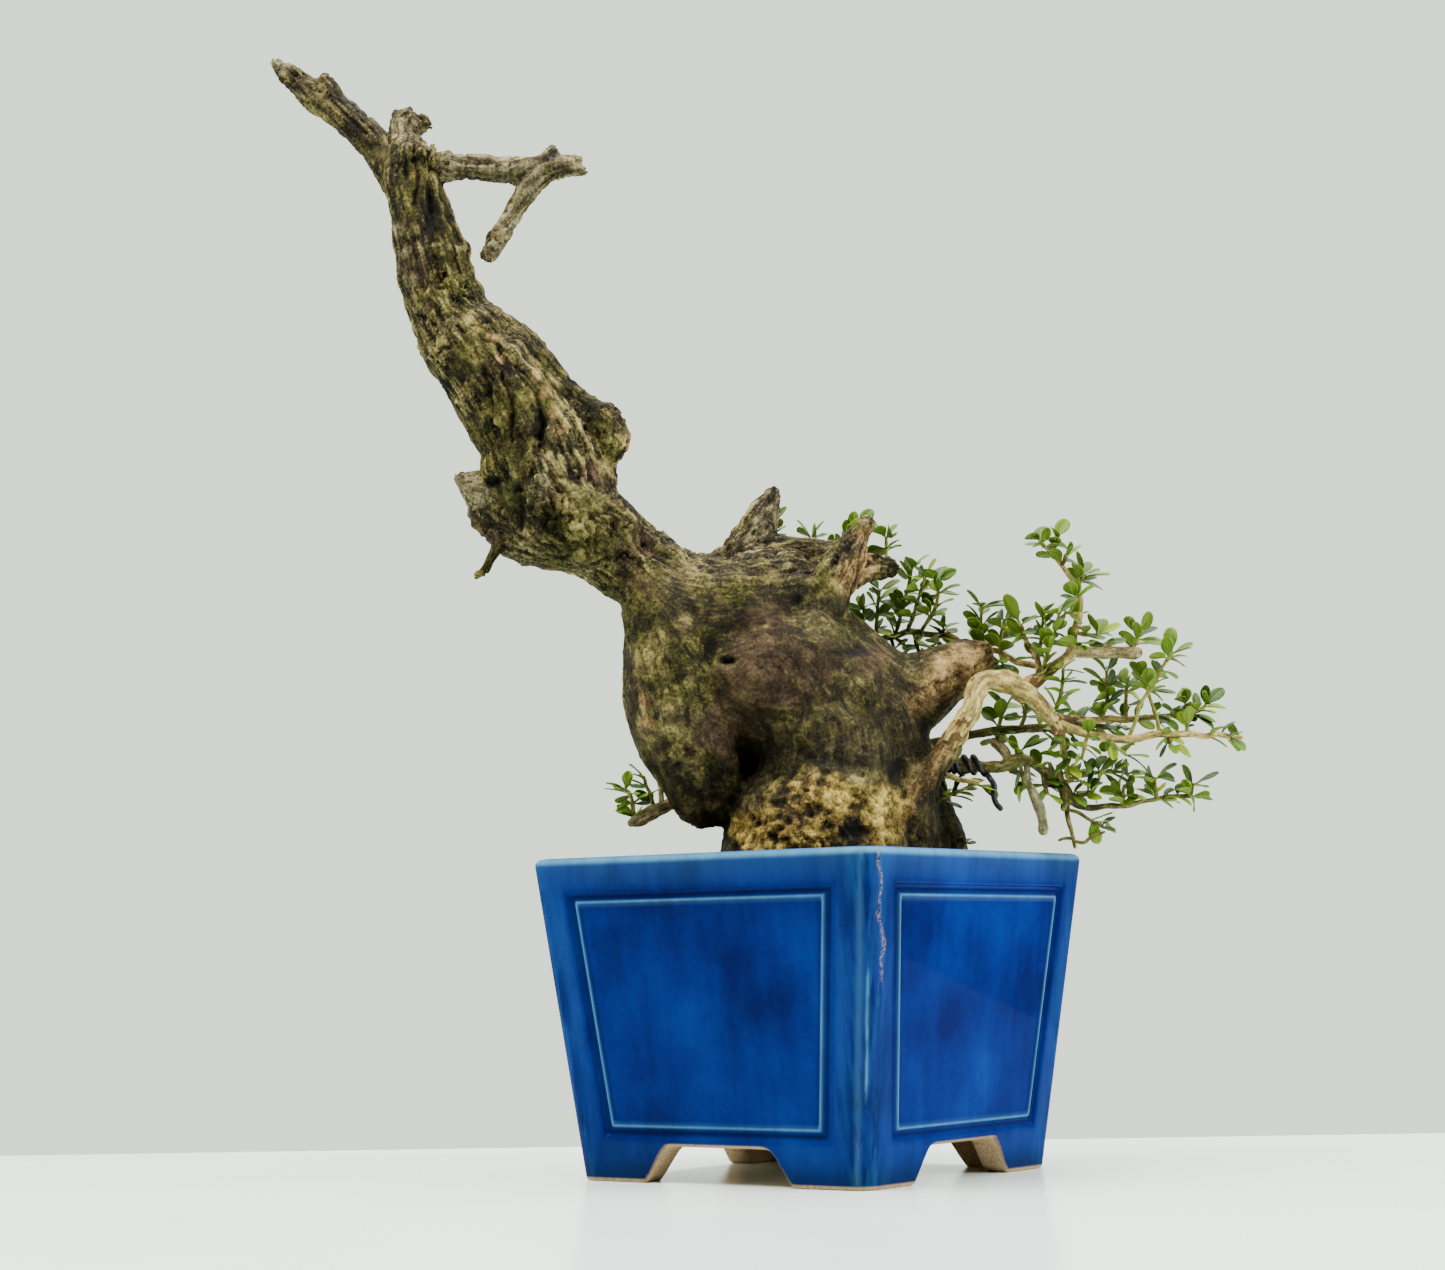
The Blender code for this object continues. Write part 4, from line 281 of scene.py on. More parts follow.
# Leafy shoots: what each grows from, then its runs (across, up, toward) with their leaves. The second and
# later runs start on the first.
SHOOTS = {
    "arch_shoot_1": (
        "back_branch",
        ((((24, 236, -21), (25, 243, -24), (26, 250, -25)),
          ((2, 18, 251, .6), (1, 20, 248.8, .5), (2, 30.5, 252.5, .25), (1, 30, 246.5, .35),
           (2, 22.5, 255, .5))),)),
    "arch_shoot_2": (
        "back_branch",
        ((((30.5, 235, -20), (31.3, 241, -20), (31.7, 247, -20), (32.3, 253, -20), (33, 257.5, -20)),
          ((0, 25.5, 241, .7), (0, 24, 234.5, .6), (1, 37, 236.5, .7), (2, 38.5, 244.5, .6),
           (2, 25.8, 247.5, .4), (3, 38, 250, .6), (3, 36.5, 257, .5), (4, 42, 261, .55),
           (4, 30, 258.3, .3))),)),
    "arch_shoot_3": (
        "back_branch",
        ((((39.5, 237, -20), (41, 242, -19), (43, 249, -18), (45, 256, -18), (46.8, 263, -18),
           (47.5, 267, -18)),
          ((5, 44.5, 271.5, .3), (5, 46.3, 271, .7), (4, 41, 267.3, .45), (4, 42.5, 270, .25),
           (5, 51.3, 270.7, .25), (4, 49.5, 261, .6), (3, 49, 258, .7), (2, 38, 251.5, .6),
           (2, 48.5, 253, .5), (1, 36, 246, .6), (1, 46, 245, .7))),)),
    "arch_shoot_4": (
        "back_branch",
        ((((45, 239, -17), (47.5, 245, -15), (49.5, 251, -13), (51.5, 257, -12), (53.5, 263, -11)),
          ((4, 51.3, 268.5, .6), (4, 58.5, 270.2, .25), (4, 57, 267.5, .6), (3, 44.5, 257, .7),
           (3, 55.5, 259.5, .5), (2, 43.5, 253.5, .5), (2, 54, 249.5, .6), (1, 41, 247, .6),
           (1, 51, 249, .75))),)),
    "arch_shoot_5": (
        "back_branch",
        ((((51.5, 239.5, -14), (55.3, 245, -12), (58, 250, -10), (59.2, 256, -9), (59, 261.5, -8)),
          ((4, 62.5, 269, .8), (4, 67.5, 264.8, .8), (4, 66.5, 266.7, .25), (3, 69, 258.8, .3),
           (3, 68.8, 256, .45), (4, 53.5, 266, .7), (3, 53, 252.5, .5), (2, 65.5, 251.8, .25),
           (2, 51.5, 256, .6), (1, 61, 244.7, .2), (1, 60, 242.5, .2), (1, 49, 249, .6))),)),
    "arch_shoot_6": (
        "back_branch",
        ((((48, 237.5, -19), (49, 233, -17), (50, 229.5, -16)),
          ((1, 44, 231.5, .5), (1, 55.5, 232.5, .6), (2, 45, 227.5, .5), (2, 56, 229.5, .5))),)),
    "ridge_shoot_1": (
        "trunk",
        ((((-14, 270, -8), (-14.2, 279, -18), (-14.5, 284, -19), (-14.5, 288, -19)),
          ((3, -16.8, 292, .5), (3, -12.8, 291.5, .6), (2, -8.8, 289, .3), (2, -9.8, 284.8, .35),
           (2, -19, 289, .3))),)),
    "ridge_shoot_2": (
        "trunk",
        ((((9, 270, -5), (9, 271.5, -17), (3.5, 278, -19), (3, 282, -19)),
          ((3, -3.8, 286.5, .25), (3, 5, 285.8, .6), (3, 10.5, 285, .3), (3, 8, 281.5, .5))),
         (((9, 271.5, -17), (17, 277, -17), (17.5, 280, -16), (22, 284, -14), (26, 286.8, -12)),
          ((2, 14, 283, .35), (2, 19, 283, .5), (2, 12.8, 281.5, .3), (4, 19.6, 286.5, .6),
           (4, 22, 289.3, .5))))),
    "ridge_shoot_3": (
        "trunk",
        ((((34, 268.5, -9), (36, 272.5, -11), (36.5, 277, -12), (36.5, 281, -12)),
          ((2, 27.8, 275.8, .7), (2, 40.2, 276, .3), (2, 31, 274.3, .7), (3, 31.2, 285, .7),
           (3, 40.6, 283.6, .25), (3, 37.5, 285, .5))),)),
    "inner_shoot_1": (
        "back_branch",
        ((((78.4, 230.5, -9), (77.8, 238, -9), (78.2, 245, -9), (78.6, 249, -9)),
          ((3, 72.3, 257.5, .15), (3, 88.5, 249.2, .3), (3, 89, 252.3, .15), (3, 76, 249.8, .3),
           (0, 74.5, 239.1, .9), (0, 79, 236, .6), (1, 84.5, 242.5, .6))),)),
    "inner_shoot_2": (
        "back_branch",
        ((((86, 228.6, -8), (86.5, 234, -8), (87.5, 239, -8), (88.5, 243, -8)),
          ((3, 86.5, 247.8, .8), (3, 92, 246, .6), (2, 81, 243, .6), (2, 95, 240.5, .5),
           (1, 82, 237.5, .6), (1, 93, 237.5, .7), (1, 82, 232.5, .5))),)),
    "inner_shoot_3": (
        "rising_branch",
        ((((105.5, 221, 15), (107, 227, 16), (109, 231.5, 16), (110.5, 236, 16), (111.8, 241, 16),
           (113, 245.5, 16)),
          ((5, 116.5, 251.8, .6), (5, 120.5, 250.3, .6), (5, 106.8, 246, .35), (2, 116.5, 233.5, .7),
           (1, 104.3, 229.3, .6))),)),
    "inner_shoot_4": (
        "back_branch",
        ((((86.3, 229, -9), (87, 224.5, -7), (87, 223, -7)),
          ((2, 93.6, 218.7, .55), (1, 79.5, 226.5, .6), (2, 83, 221, .4))),)),
    "crown_shoot_1": (
        "rising_branch",
        ((((107, 276.5, 5), (105.6, 278.8, 5)),
          ((1, 106.8, 286.4, .85), (1, 99, 280, .5), (1, 112.2, 280.2, .4), (0, 102.7, 275.8, .45))),)),
    "crown_shoot_2": (
        "rising_branch",
        ((((110.5, 273.5, 6), (111.5, 276.5, 7), (112.6, 279.3, 7)),
          ((2, 118, 288.8, .95), (2, 110.3, 283, .2), (1, 113.5, 277.7, .15), (1, 119, 275.6, .6),
           (0, 105.2, 272.8, .5))),)),
    "crown_shoot_3": (
        "rising_branch",
        ((((121.3, 257.5, 9), (123, 260, 10), (124.3, 262.5, 11)),
          ((2, 127, 269.9, .9), (2, 121.7, 273.5, .3), (1, 117.2, 265.8, .45), (2, 136.2, 262.7, .3),
           (1, 133.3, 256.5, .4))),)),
    "crown_shoot_4": (
        "rising_branch",
        ((((121.5, 244.5, 11), (118.5, 245.8, 13), (116, 246.3, 14)),
          ((2, 113.8, 251.7, .7), (1, 120.8, 250.6, .7), (2, 114.3, 241.5, .6), (1, 121, 240, .6),
           (0, 125.5, 247, .5))),)),
    "crown_shoot_5": (
        "rising_branch",
        ((((120.5, 237, 13), (125, 236, 14), (130, 235.8, 15)),
          ((2, 133.4, 243.9, .95), (2, 125.8, 244.8, .35), (2, 137, 236.5, .6), (1, 122, 238.5, .6),
           (1, 127, 241, .4), (2, 140, 239.4, .55), (1, 131.8, 232.8, .5))),)),
    "stub_shoot": (
        "dead_stub",
        ((((145.8, 229.5, 10), (147.3, 233.5, 10), (148.4, 236.3, 10)),
          ((2, 142.3, 243.5, .55), (2, 153.4, 244.8, .75), (1, 140.5, 236.5, .4), (1, 159.6, 231, .6))),)),
    "tall_riser": (
        "right_branch",
        ((((142.8, 190.5, 14), (146, 197.5, 15), (148, 204.5, 15), (151.3, 209, 15), (155, 214, 15),
           (157.5, 219.5, 15), (161, 224.5, 15), (163, 226.9, 15)),
          ((7, 162.6, 238.8, .9), (7, 171.1, 229.8, .4), (7, 159.3, 230.8, .5), (6, 152.3, 225.8, .5),
           (6, 169, 221.8, .35), (5, 163.3, 214.7, .45))),)),
    "middle_shoot_1": (
        "right_branch",
        ((((110.5, 203, 12), (111.8, 206.5, 12), (113, 210, 13), (113.8, 215, 13), (114.2, 220.5, 13)),
          ((4, 119.5, 225.8, .55), (4, 109.5, 221.2, .2), (4, 124, 219.5, .2), (3, 104.6, 216.2, .25),
           (3, 125, 214.6, .3), (2, 105, 211.3, .15), (1, 118.8, 202.3, .5), (2, 120.5, 210.5, .3),
           (3, 119, 217.5, .4))),)),
    "middle_shoot_2": (
        "second_arm",
        ((((131, 198.3, 1), (132.5, 203, 1), (133.5, 207, 1), (133.3, 213, 0), (133.5, 219, -1)),
          ((2, 132, 217, .95), (3, 136.3, 218.3, .5), (4, 137.8, 223.5, .5), (4, 126, 225.6, .15),
           (3, 123, 221, .15), (1, 126.5, 203.5, .6), (1, 139.3, 201, .6), (2, 127.5, 206.5, .6),
           (3, 127, 214.2, .3))),)),
    "middle_shoot_3": (
        "right_branch",
        ((((156, 192.2, 12), (155, 198.5, 10), (152.9, 205, 9), (151.5, 210.5, 9), (150.9, 216.8, 9)),
          ((4, 144.3, 223.3, .5), (4, 160.5, 218.3, .75), (3, 157.4, 213.3, .3), (3, 163.9, 209, .35),
           (3, 158.9, 206.5, .4), (3, 143.5, 213.5, .4))),)),
    "middle_shoot_4": (
        "second_arm",
        ((((141, 198, -1), (141.5, 204, -1), (142, 210, -1), (142, 212.5, -1)),
          ((3, 141.6, 221.2, .75), (2, 149.5, 213, .5), (2, 148.8, 207, .6), (1, 148.5, 204.5, .4),
           (0, 143.5, 204, .5), (3, 136.8, 214.2, .4))),)),
    "middle_shoot_5": (
        "right_branch",
        ((((168.3, 192.3, 10), (168.5, 196, 8), (170.5, 199.5, 6), (174, 201, 5), (176.8, 203, 5)),
          ((4, 185.4, 210.8, .8), (4, 176.3, 208, .4), (4, 186.7, 202.3, .4), (3, 179.4, 199, .25),
           (2, 181.5, 195.8, .4), (2, 180, 192.5, .5), (3, 169.3, 204, .6))),)),
    "low_shoot_1": (
        "low_branch",
        ((((115.5, 171, 9), (119.5, 172.6, 9), (124, 173.2, 9), (128.5, 174.3, 9), (134, 174.4, 9),
           (139.5, 174, 9), (142.5, 172, 9)),
          ((3, 131.6, 182.3, .7), (3, 136.8, 180.5, .6), (1, 127, 176, .5), (4, 141, 176.5, .4),
           (6, 140.7, 180, .5), (4, 140, 169.3, .35), (6, 150.3, 174.9, .6), (6, 152, 169.2, .3),
           (5, 139, 168.3, .3))),)),
    "low_shoot_2": (
        "right_branch",
        ((((133, 188.3, 15), (137, 185.3, 16), (140.8, 182, 16)),
          ((2, 142.3, 187.3, .8), (2, 150.3, 180.3, .25), (2, 150, 175.2, .15), (0, 134.5, 183.8, .5))),)),
    "low_shoot_3": (
        "right_branch",
        ((((124, 190.2, 16), (122.6, 185.5, 16), (121.3, 180.8, 15)),
          ((1, 130.3, 178.4, .15), (1, 115.5, 186.5, .35), (2, 115.8, 182.3, .5), (2, 117, 178.2, .6),
           (1, 117.8, 189.2, .2))),)),
    "low_shoot_4": (
        "low_branch",
        ((((153.7, 162.8, 6), (153.6, 166, 6), (153.4, 171, 6)),
          ((1, 150.6, 166.9, .45), (1, 156.3, 166.9, .45), (2, 151, 176, .6), (2, 163.2, 177.4, .3),
           (2, 162.9, 171.1, .75))),)),
    "low_shoot_5": (
        "low_branch",
        ((((138.5, 160.2, 8), (139, 164, 9), (139.6, 168, 9)),
          ((1, 129, 166, .6), (1, 148, 161.6, .25), (2, 143.5, 169.8, .4), (2, 133.8, 172.8, .3),
           (0, 145, 162, .6), (0, 133.5, 162.8, .5))),)),
    "low_shoot_6": (
        "low_branch",
        ((((94, 177.3, 9), (94.8, 173.5, 8), (95, 170, 8)),
          ((1, 89.7, 175.4, .45), (2, 92.2, 161.8, .45), (2, 100.3, 168.2, .4), (1, 99.5, 172.5, .5))),)),
    "low_shoot_7": (
        "trunk",
        ((((52, 162.5, -2), (57.5, 163.3, 6), (62, 165.3, 8), (66, 166.6, 9), (71.2, 169.1, 10),
           (74.8, 169.8, 10)), ((2, 58.8, 171.5, .15), (2, 72.5, 162.2, .15), (3, 65.5, 171.2, .5))),)),
    "low_shoot_8": (
        "right_branch",
        ((((112.8, 190, 13, 1.5), (113.2, 186, 13, 1.4), (114, 181, 13, 1.3), (114.6, 176, 13, 1.2),
           (115, 172.5, 13, 1.1)),
          ((2, 103.3, 183.3, .3), (1, 110.8, 182, .4), (4, 117, 178, .5), (4, 124.2, 167.6, .3))),)),
    "shaded_shoot_1": (
        "straight_branch",
        ((((85, 195.8, -5), (86, 199.5, -6), (87.5, 203, -7)),
          ((1, 77.3, 203.2, .95), (2, 80.6, 211, .4), (2, 95, 205.8, .65), (1, 92.3, 198.6, .6))),)),
    "shaded_shoot_2": (
        "straight_branch",
        ((((95, 196, -4), (96.5, 200, -4), (96, 204, -4)),
          ((1, 100, 204.5, .6), (1, 88, 199, .5), (2, 91.3, 208.3, .5), (1, 104, 198.5, .4),
           (0, 84, 196.3, .2))),)),
    "shaded_shoot_3": (
        "low_branch",
        ((((94, 181, 10), (93.8, 184.3, 10)),
          ((1, 89.4, 191, .45), (1, 102.6, 190.7, .45), (1, 107.2, 190.4, .3))),)),
    "left_shoot_1": (
        "left_stub",
        ((((-69.5, 161.5, 15), (-71.2, 168, 15), (-73.2, 172, 15), (-73.5, 174.4, 15)),
          ((3, -68.4, 176.5, .6), (3, -77.9, 176.3, .15), (2, -80, 171.9, .3), (1, -67.3, 169.3, .15))),)),
    "left_shoot_2": (
        "left_stub",
        ((((-78.5, 158, 16), (-79.2, 164, 17), (-80.3, 168.2, 17), (-82.8, 170.7, 17)),
          ((3, -87.9, 171.5, .4), (2, -77.4, 167.4, .2), (2, -86.4, 164.7, .4), (1, -85.4, 161.7, .45),
           (1, -71, 163.2, .4), (1, -72.2, 167, .2), (0, -74.8, 161, .25))),)),
}

# Twigs and leaves, in millimetres
TWIG_FOOT = 0.95
TWIG_TIP = 0.6
TWIG_OVERRUN = 0.6
TWIG_STEP = 1.6
LEAF_LENGTH = 11.5
LEAF_SLENDER = 0.5
LEAF_THICK = 0.9
LEAF_CLEAR = 0.55
YOUNG_LENGTH = (7.5, 11.5)
YOUNG_PLACES = tuple((share, sign, turn) for share in (0.3, 0.65, 1.0) for turn in (0.2, 0.9, 1.6, 2.4)
                     for sign in (1, -1))

# Training wire on the low branch: (across along the branch, turns made so far), then its hanging tail
WIRE = 2.6
WIRE_WINDS = ((60.5, 0.25), (62.8, 1.25), (65.2, 2.25), (70.0, 3.0), (74.2, 4.0), (77.5, 4.6))
WIRE_TAIL = ((80.4, 172.2, 13.5), (82.2, 169.0, 14), (81.7, 164.8, 14), (82.8, 161.2, 14), (84.6, 159, 14))

SEEDLING = ((67, 130, 0, 0.8), (67, 137, 0, 0.7), (68, 141, 0, 0.6), (69, 144, 0, 0.5))

DEAD = ("dead_stub", "hanging_twig", "pale_stub", "left_stub")
GREEN = ("straight_branch", "low_branch", "down_twig")

# Soil, in millimetres: how fine its skin is; then the loose crumbs: how many, their size, and how much
# bigger and how common the big ones are
SOIL_VOXEL = 2.0
CRUMBS = 900
CRUMB_SIZE = (0.5, 1.7)
BIG_CRUMB, BIG_CRUMB_SHARE = 1.6, 0.08


def put_in(name, data):
    """A new object in the scene."""
    obj = bpy.data.objects.new(name, data)
    bpy.context.scene.collection.objects.link(obj)
    return obj


def place_camera():
    """The camera, where the photograph was taken from."""
    yaw, pitch, roll = (math.radians(angle) for angle in CAMERA_TURN)
    forward = Vector((-math.sin(yaw) * math.cos(pitch), math.cos(yaw) * math.cos(pitch), math.sin(pitch)))
    level = Vector((math.cos(yaw), math.sin(yaw), 0))
    upright = level.cross(forward)
    right = level * math.cos(roll) + upright * math.sin(roll)
    up = upright * math.cos(roll) - level * math.sin(roll)
    data = bpy.data.cameras.new("front_view")
    data.sensor_width = 36.0
    data.lens = LENS
    data.clip_start = 0.01
    camera = put_in("front_view", data)
    eye = AXIS + SIGHT * EYE_DISTANCE * MM + Vector((0, 0, EYE_HEIGHT * MM))
    camera.matrix_world = Matrix.Translation(eye) @ Matrix((right, up, -forward)).transposed().to_4x4()
    bpy.context.scene.camera = camera


def soft_light(name, azimuth, elevation, distance, width, height, power, colour):
    """A large soft lamp that looks at the middle of the tree."""
    data = bpy.data.lights.new(name, "AREA")
    data.shape = "RECTANGLE"
    data.size, data.size_y = width, height
    data.energy = power
    data.color = colour
    lamp = put_in(name, data)
    turn, rise = math.radians(azimuth), math.radians(elevation)
    back = Vector((math.sin(turn) * math.cos(rise), -math.cos(turn) * math.cos(rise), math.sin(rise)))
    lamp.location = AXIS + LAMP_AIM + back * distance
    lamp.rotation_mode = "QUATERNION"
    lamp.rotation_quaternion = back.to_track_quat("Z", "Y")


class Value:
    """One output of a node. A sum written with it adds Math nodes."""

    def __init__(self, finish, socket):
        self.finish = finish
        self.socket = socket

    def math(self, operation, *others):
        return self.finish.add("ShaderNodeMath", {"operation": operation}, (self, *others))

    def __add__(self, other):
        return self.math("ADD", other)

    def __sub__(self, other):
        return self.math("SUBTRACT", other)

    def __rsub__(self, other):
        return self.finish.add("ShaderNodeMath", {"operation": "SUBTRACT"}, (other, self))

    def __mul__(self, other):
        return self.math("MULTIPLY", other)

    def __abs__(self):
        return self.math("ABSOLUTE")

    __radd__ = __add__
    __rmul__ = __mul__

    def least(self, other):
        return self.math("MINIMUM", other)

    def eased(self, low, high):
        """0 below low and 1 above high, with a smooth step between."""
        return self.finish.add("ShaderNodeMapRange", {"interpolation_type": "SMOOTHSTEP"},
                               (self, low, high, 0, 1))


class Finish:
    """A material made of nodes round one Principled shader."""

    def __init__(self, name, **constants):
        self.material = bpy.data.materials.new(name)
        self.material.use_nodes = True
        self.tree = self.material.node_tree
        self.shader = self.tree.nodes["Principled BSDF"]
        for words, value in constants.items():
            self.shader.inputs[words.replace("_", " ").title().replace("Ior", "IOR")].default_value = value

    def add(self, kind, settings=None, sockets=(), output=0):
        """A node of a kind, with its settings and its sockets' values or links. Gives one of its outputs."""
        node = self.tree.nodes.new(kind)
        for key, value in (settings or {}).items():
            if key == "stops":
                ramp = node.color_ramp
                while len(ramp.elements) < len(value):
                    ramp.elements.new(0.5)
                for element, (place, colour) in zip(ramp.elements, value):
                    element.position = place
                    element.color = (*colour, 1)
            else:
                setattr(node, key, value)
        pairs = sockets.items() if isinstance(sockets, dict) else enumerate(sockets)
        for key, value in pairs:
            if isinstance(value, Value):
                self.tree.links.new(value.socket, node.inputs[key])
            elif isinstance(value, tuple) and len(value) == 3 and node.inputs[key].type == "RGBA":
                node.inputs[key].default_value = (*value, 1)
            else:
                node.inputs[key].default_value = value
        return Value(self, node.outputs[output])

    def places(self):
        """The point's own place, in metres."""
        return self.add("ShaderNodeTexCoord", output="Object")

    def noise(self, size, detail=3.0, vector=None, roughness=0.55, scale=1000.0):
        """Soft random values from 0 to 1 that change over a size in millimetres."""
        vector = vector or self.places()
        return self.add("ShaderNodeTexNoise", None,
                        {"Vector": vector, "Scale": scale / size, "Detail": detail,
                                                     "Roughness": roughness})

    def fibres(self, size, reach, steps=4):
        """Streaks from 0 to 1 that run with the wood, along the lead kept at the points."""
        lead = self.add("ShaderNodeAttribute", {"attribute_name": "lead"}, output="Vector")
        place = self.places()
        total = 0
        for step in range(-steps, steps + 1):
            moved = self.add("ShaderNodeVectorMath", {"operation": "SCALE"},
                             {0: lead, 3: step / steps * reach * MM})
            total = total + self.noise(size, 1.0, self.add("ShaderNodeVectorMath", None, (place, moved)))
        return (total * (1 / (2 * steps + 1)) - 0.5) * 2.0 + 0.5

    def cells(self, size):
        """The distance from the middle of the nearest cell, of a size in millimetres."""
        return self.add("ShaderNodeTexVoronoi", None, {"Vector": self.places(), "Scale": 1000.0 / size})

    def stretched(self, vector, factors):
        return self.add("ShaderNodeVectorMath", {"operation": "MULTIPLY"}, (vector, factors))

    def marks(self, name):
        """The values kept at the points under a name: the first three, then the fourth."""
        node = self.add("ShaderNodeAttribute", {"attribute_name": name}, output="Color")
        parts = self.add("ShaderNodeSeparateColor", None, (node,)).socket.node
        fourth = Value(self, node.socket.node.outputs["Alpha"])
        return [Value(self, parts.outputs[number]) for number in range(3)] + [fourth]

    def mix(self, share, first, second, blend="MIX"):
        return self.add("ShaderNodeMix", {"data_type": "RGBA", "blend_type": blend},
                        {0: share, 6: first, 7: second}, 2)

    def ramp(self, value, *stops):
        return self.add("ShaderNodeValToRGB", {"stops": stops}, (value,))

    def bump(self, height, depth):
        """Small relief: the height's full range is the given depth in millimetres."""
        return self.add("ShaderNodeBump", None, {"Height": height, "Distance": depth * MM, "Strength": 1.0})

    def apply(self, **links):
        for words, value in links.items():
            name = words.replace("_", " ").title()
            self.tree.links.new(value.socket, self.shader.inputs[name])
        return self.material


def grey(value):
    return (value, value, value)


def trunk_bark():
    """Old bark and bare wood of the trunk, under moss and flaking at its foot."""
    finish = Finish("mossy_bark", specular_ior_level=0.08)
    moss, ochre, worn, shade = finish.marks("cover")
    relief, bare, light, buried = finish.marks("wood")
    fibrous, tan, grooved = finish.marks("skin")[:3]
    speck, blotch, cloud = (finish.noise(size, detail) - 0.5
                            for size, detail in ((1.3, 4), (4.5, 4), (13.0, 3)))
    fibre, coarse_fibre = finish.fibres(1.1, 3.6) - 0.5, finish.fibres(2.4, 8.5) - 0.5
    grit = finish.noise(0.75, 3) - 0.5
    height = relief * 0.85 + speck * (0.55 - fibrous * 0.43) + blotch * (0.42 - fibrous * 0.2)
    height = height + cloud * 0.62
    crisp = finish.noise(5.0, 9, roughness=0.68).eased(0.49, 0.56)
    pitted = finish.noise(1.9, 6, roughness=0.6).eased(0.60, 0.66)
    height = height + grit * 0.3 + (crisp - 0.5) * 0.13 - pitted * (0.14 - fibrous * 0.11)
    height = height + (fibre * 1.3 + coarse_fibre * 1.6 + 0.055) * (fibrous * 0.94 + 0.06)
    wood = finish.ramp(height, (0.05, (0.003, 0.0024, 0.0009)), (0.28, (0.017, 0.013, 0.0042)),
                       (0.48, (0.062, 0.049, 0.016)), (0.70, (0.165, 0.132, 0.045)),
                       (1.0, (0.36, 0.30, 0.125)))
    worn_wood = finish.ramp(height, (0.05, (0.004, 0.0026, 0.0014)), (0.32, (0.028, 0.0165, 0.008)),
                            (0.55, (0.072, 0.044, 0.021)), (1.0, (0.20, 0.13, 0.068)))
    light_wood = finish.ramp(height, (0.05, (0.012, 0.0085, 0.003)), (0.30, (0.095, 0.072, 0.024)),
                             (0.60, (0.29, 0.235, 0.088)), (1.0, (0.56, 0.48, 0.23)))
    tan_wood = finish.ramp(height, (0.05, (0.014, 0.008, 0.003)), (0.30, (0.095, 0.056, 0.020)),
                           (0.56, (0.30, 0.195, 0.074)), (1.0, (0.56, 0.41, 0.19)))
    bleached = finish.ramp(height, (0.05, (0.018, 0.014, 0.007)), (0.3, (0.072, 0.058, 0.027)),
                           (0.58, (0.18, 0.152, 0.078)), (1.0, (0.38, 0.335, 0.20)))
    flakes = finish.ramp(height, (0.05, (0.013, 0.008, 0.002)), (0.28, (0.14, 0.092, 0.020)),
                         (0.52, (0.42, 0.31, 0.072)), (1.0, (0.78, 0.63, 0.22)))
    green = finish.ramp(height + speck * 0.5, (0.05, (0.004, 0.0042, 0.0008)),
                        (0.3, (0.026, 0.026, 0.0048)),
                        (0.55, (0.088, 0.082, 0.0175)), (1.0, (0.30, 0.27, 0.085)))
    colour = finish.mix(worn, wood, worn_wood)
    colour = finish.mix(light * 0.95, colour, light_wood)
    colour = finish.mix(bare, colour, bleached)
    colour = finish.mix(tan, colour, tan_wood)
    colour = finish.mix(moss * finish.noise(3.4, 5).eased(0.34, 0.62) * 0.8, colour, green)
    colour = finish.mix(ochre, colour, flakes)
    groove = finish.mix(grooved, grey(1.0), (0.13, 0.105, 0.075))
    colour = finish.mix(1.0, colour, groove, "MULTIPLY")
    # Darker where the shade spots lie: partly darker bark, partly painted shade
    dark = finish.mix(shade * 0.52, grey(1.0), (0.26, 0.25, 0.22))
    colour = finish.mix(1.0, colour, dark, "MULTIPLY")
    colour = finish.mix(buried * 0.7, colour, (0.012, 0.008, 0.004))
    skin = grit * 0.3 + crisp * (0.16 - fibrous * 0.07) - pitted * (0.16 - fibrous * 0.1)
    skin = skin + speck * (0.8 - fibrous * 0.55) + blotch * 0.4
    skin = skin + (fibre * 0.9 + coarse_fibre * 1.2) * (fibrous * 0.9 + 0.1)
    return finish.apply(base_color=colour, roughness=0.66 + moss * 0.22 + blotch * 0.2,
                        normal=finish.bump(skin, 0.8))


# Streaks, rings, patches and spots of thin bark: size, detail, and how each is squeezed round and along the
# limb
BARK_NOISES = (
    (1.1, 4, (1, 1, 0.22)), (0.9, 3, (0.35, 0.35, 1.4)), (3.4, 3, (1, 1, 0.6)), (2.0, 4, (1, 1, 0.5)))

# Barks: low, middle and high colour, the flecks' colour and share, the pattern's size and depth, and how old
# the bark is at its foot
BARKS = {
    "pale_bark": (
        (0.085, 0.048, 0.013), (0.27, 0.195, 0.056), (0.53, 0.44, 0.155), (0.085, 0.046, 0.015), 0.62, 1.2,
        0.35, 0.9),
    "green_bark": (
        (0.020, 0.015, 0.004), (0.080, 0.068, 0.017), (0.21, 0.185, 0.052), (0.018, 0.012, 0.004), 0.6,
        1.0, 0.3),
    "young_bark": (
        (0.065, 0.068, 0.010), (0.16, 0.155, 0.028), (0.30, 0.28, 0.075), (0.10, 0.070, 0.020), 0.4, 0.6,
        0.12),
    "deadwood": (
        (0.050, 0.035, 0.013), (0.21, 0.162, 0.070), (0.44, 0.36, 0.18), (0.060, 0.045, 0.015), 0.5),
    "old_twig": (
        (0.030, 0.027, 0.012), (0.115, 0.105, 0.050), (0.26, 0.235, 0.12), (0.030, 0.024, 0.010), 0.6,
        1.3),
}


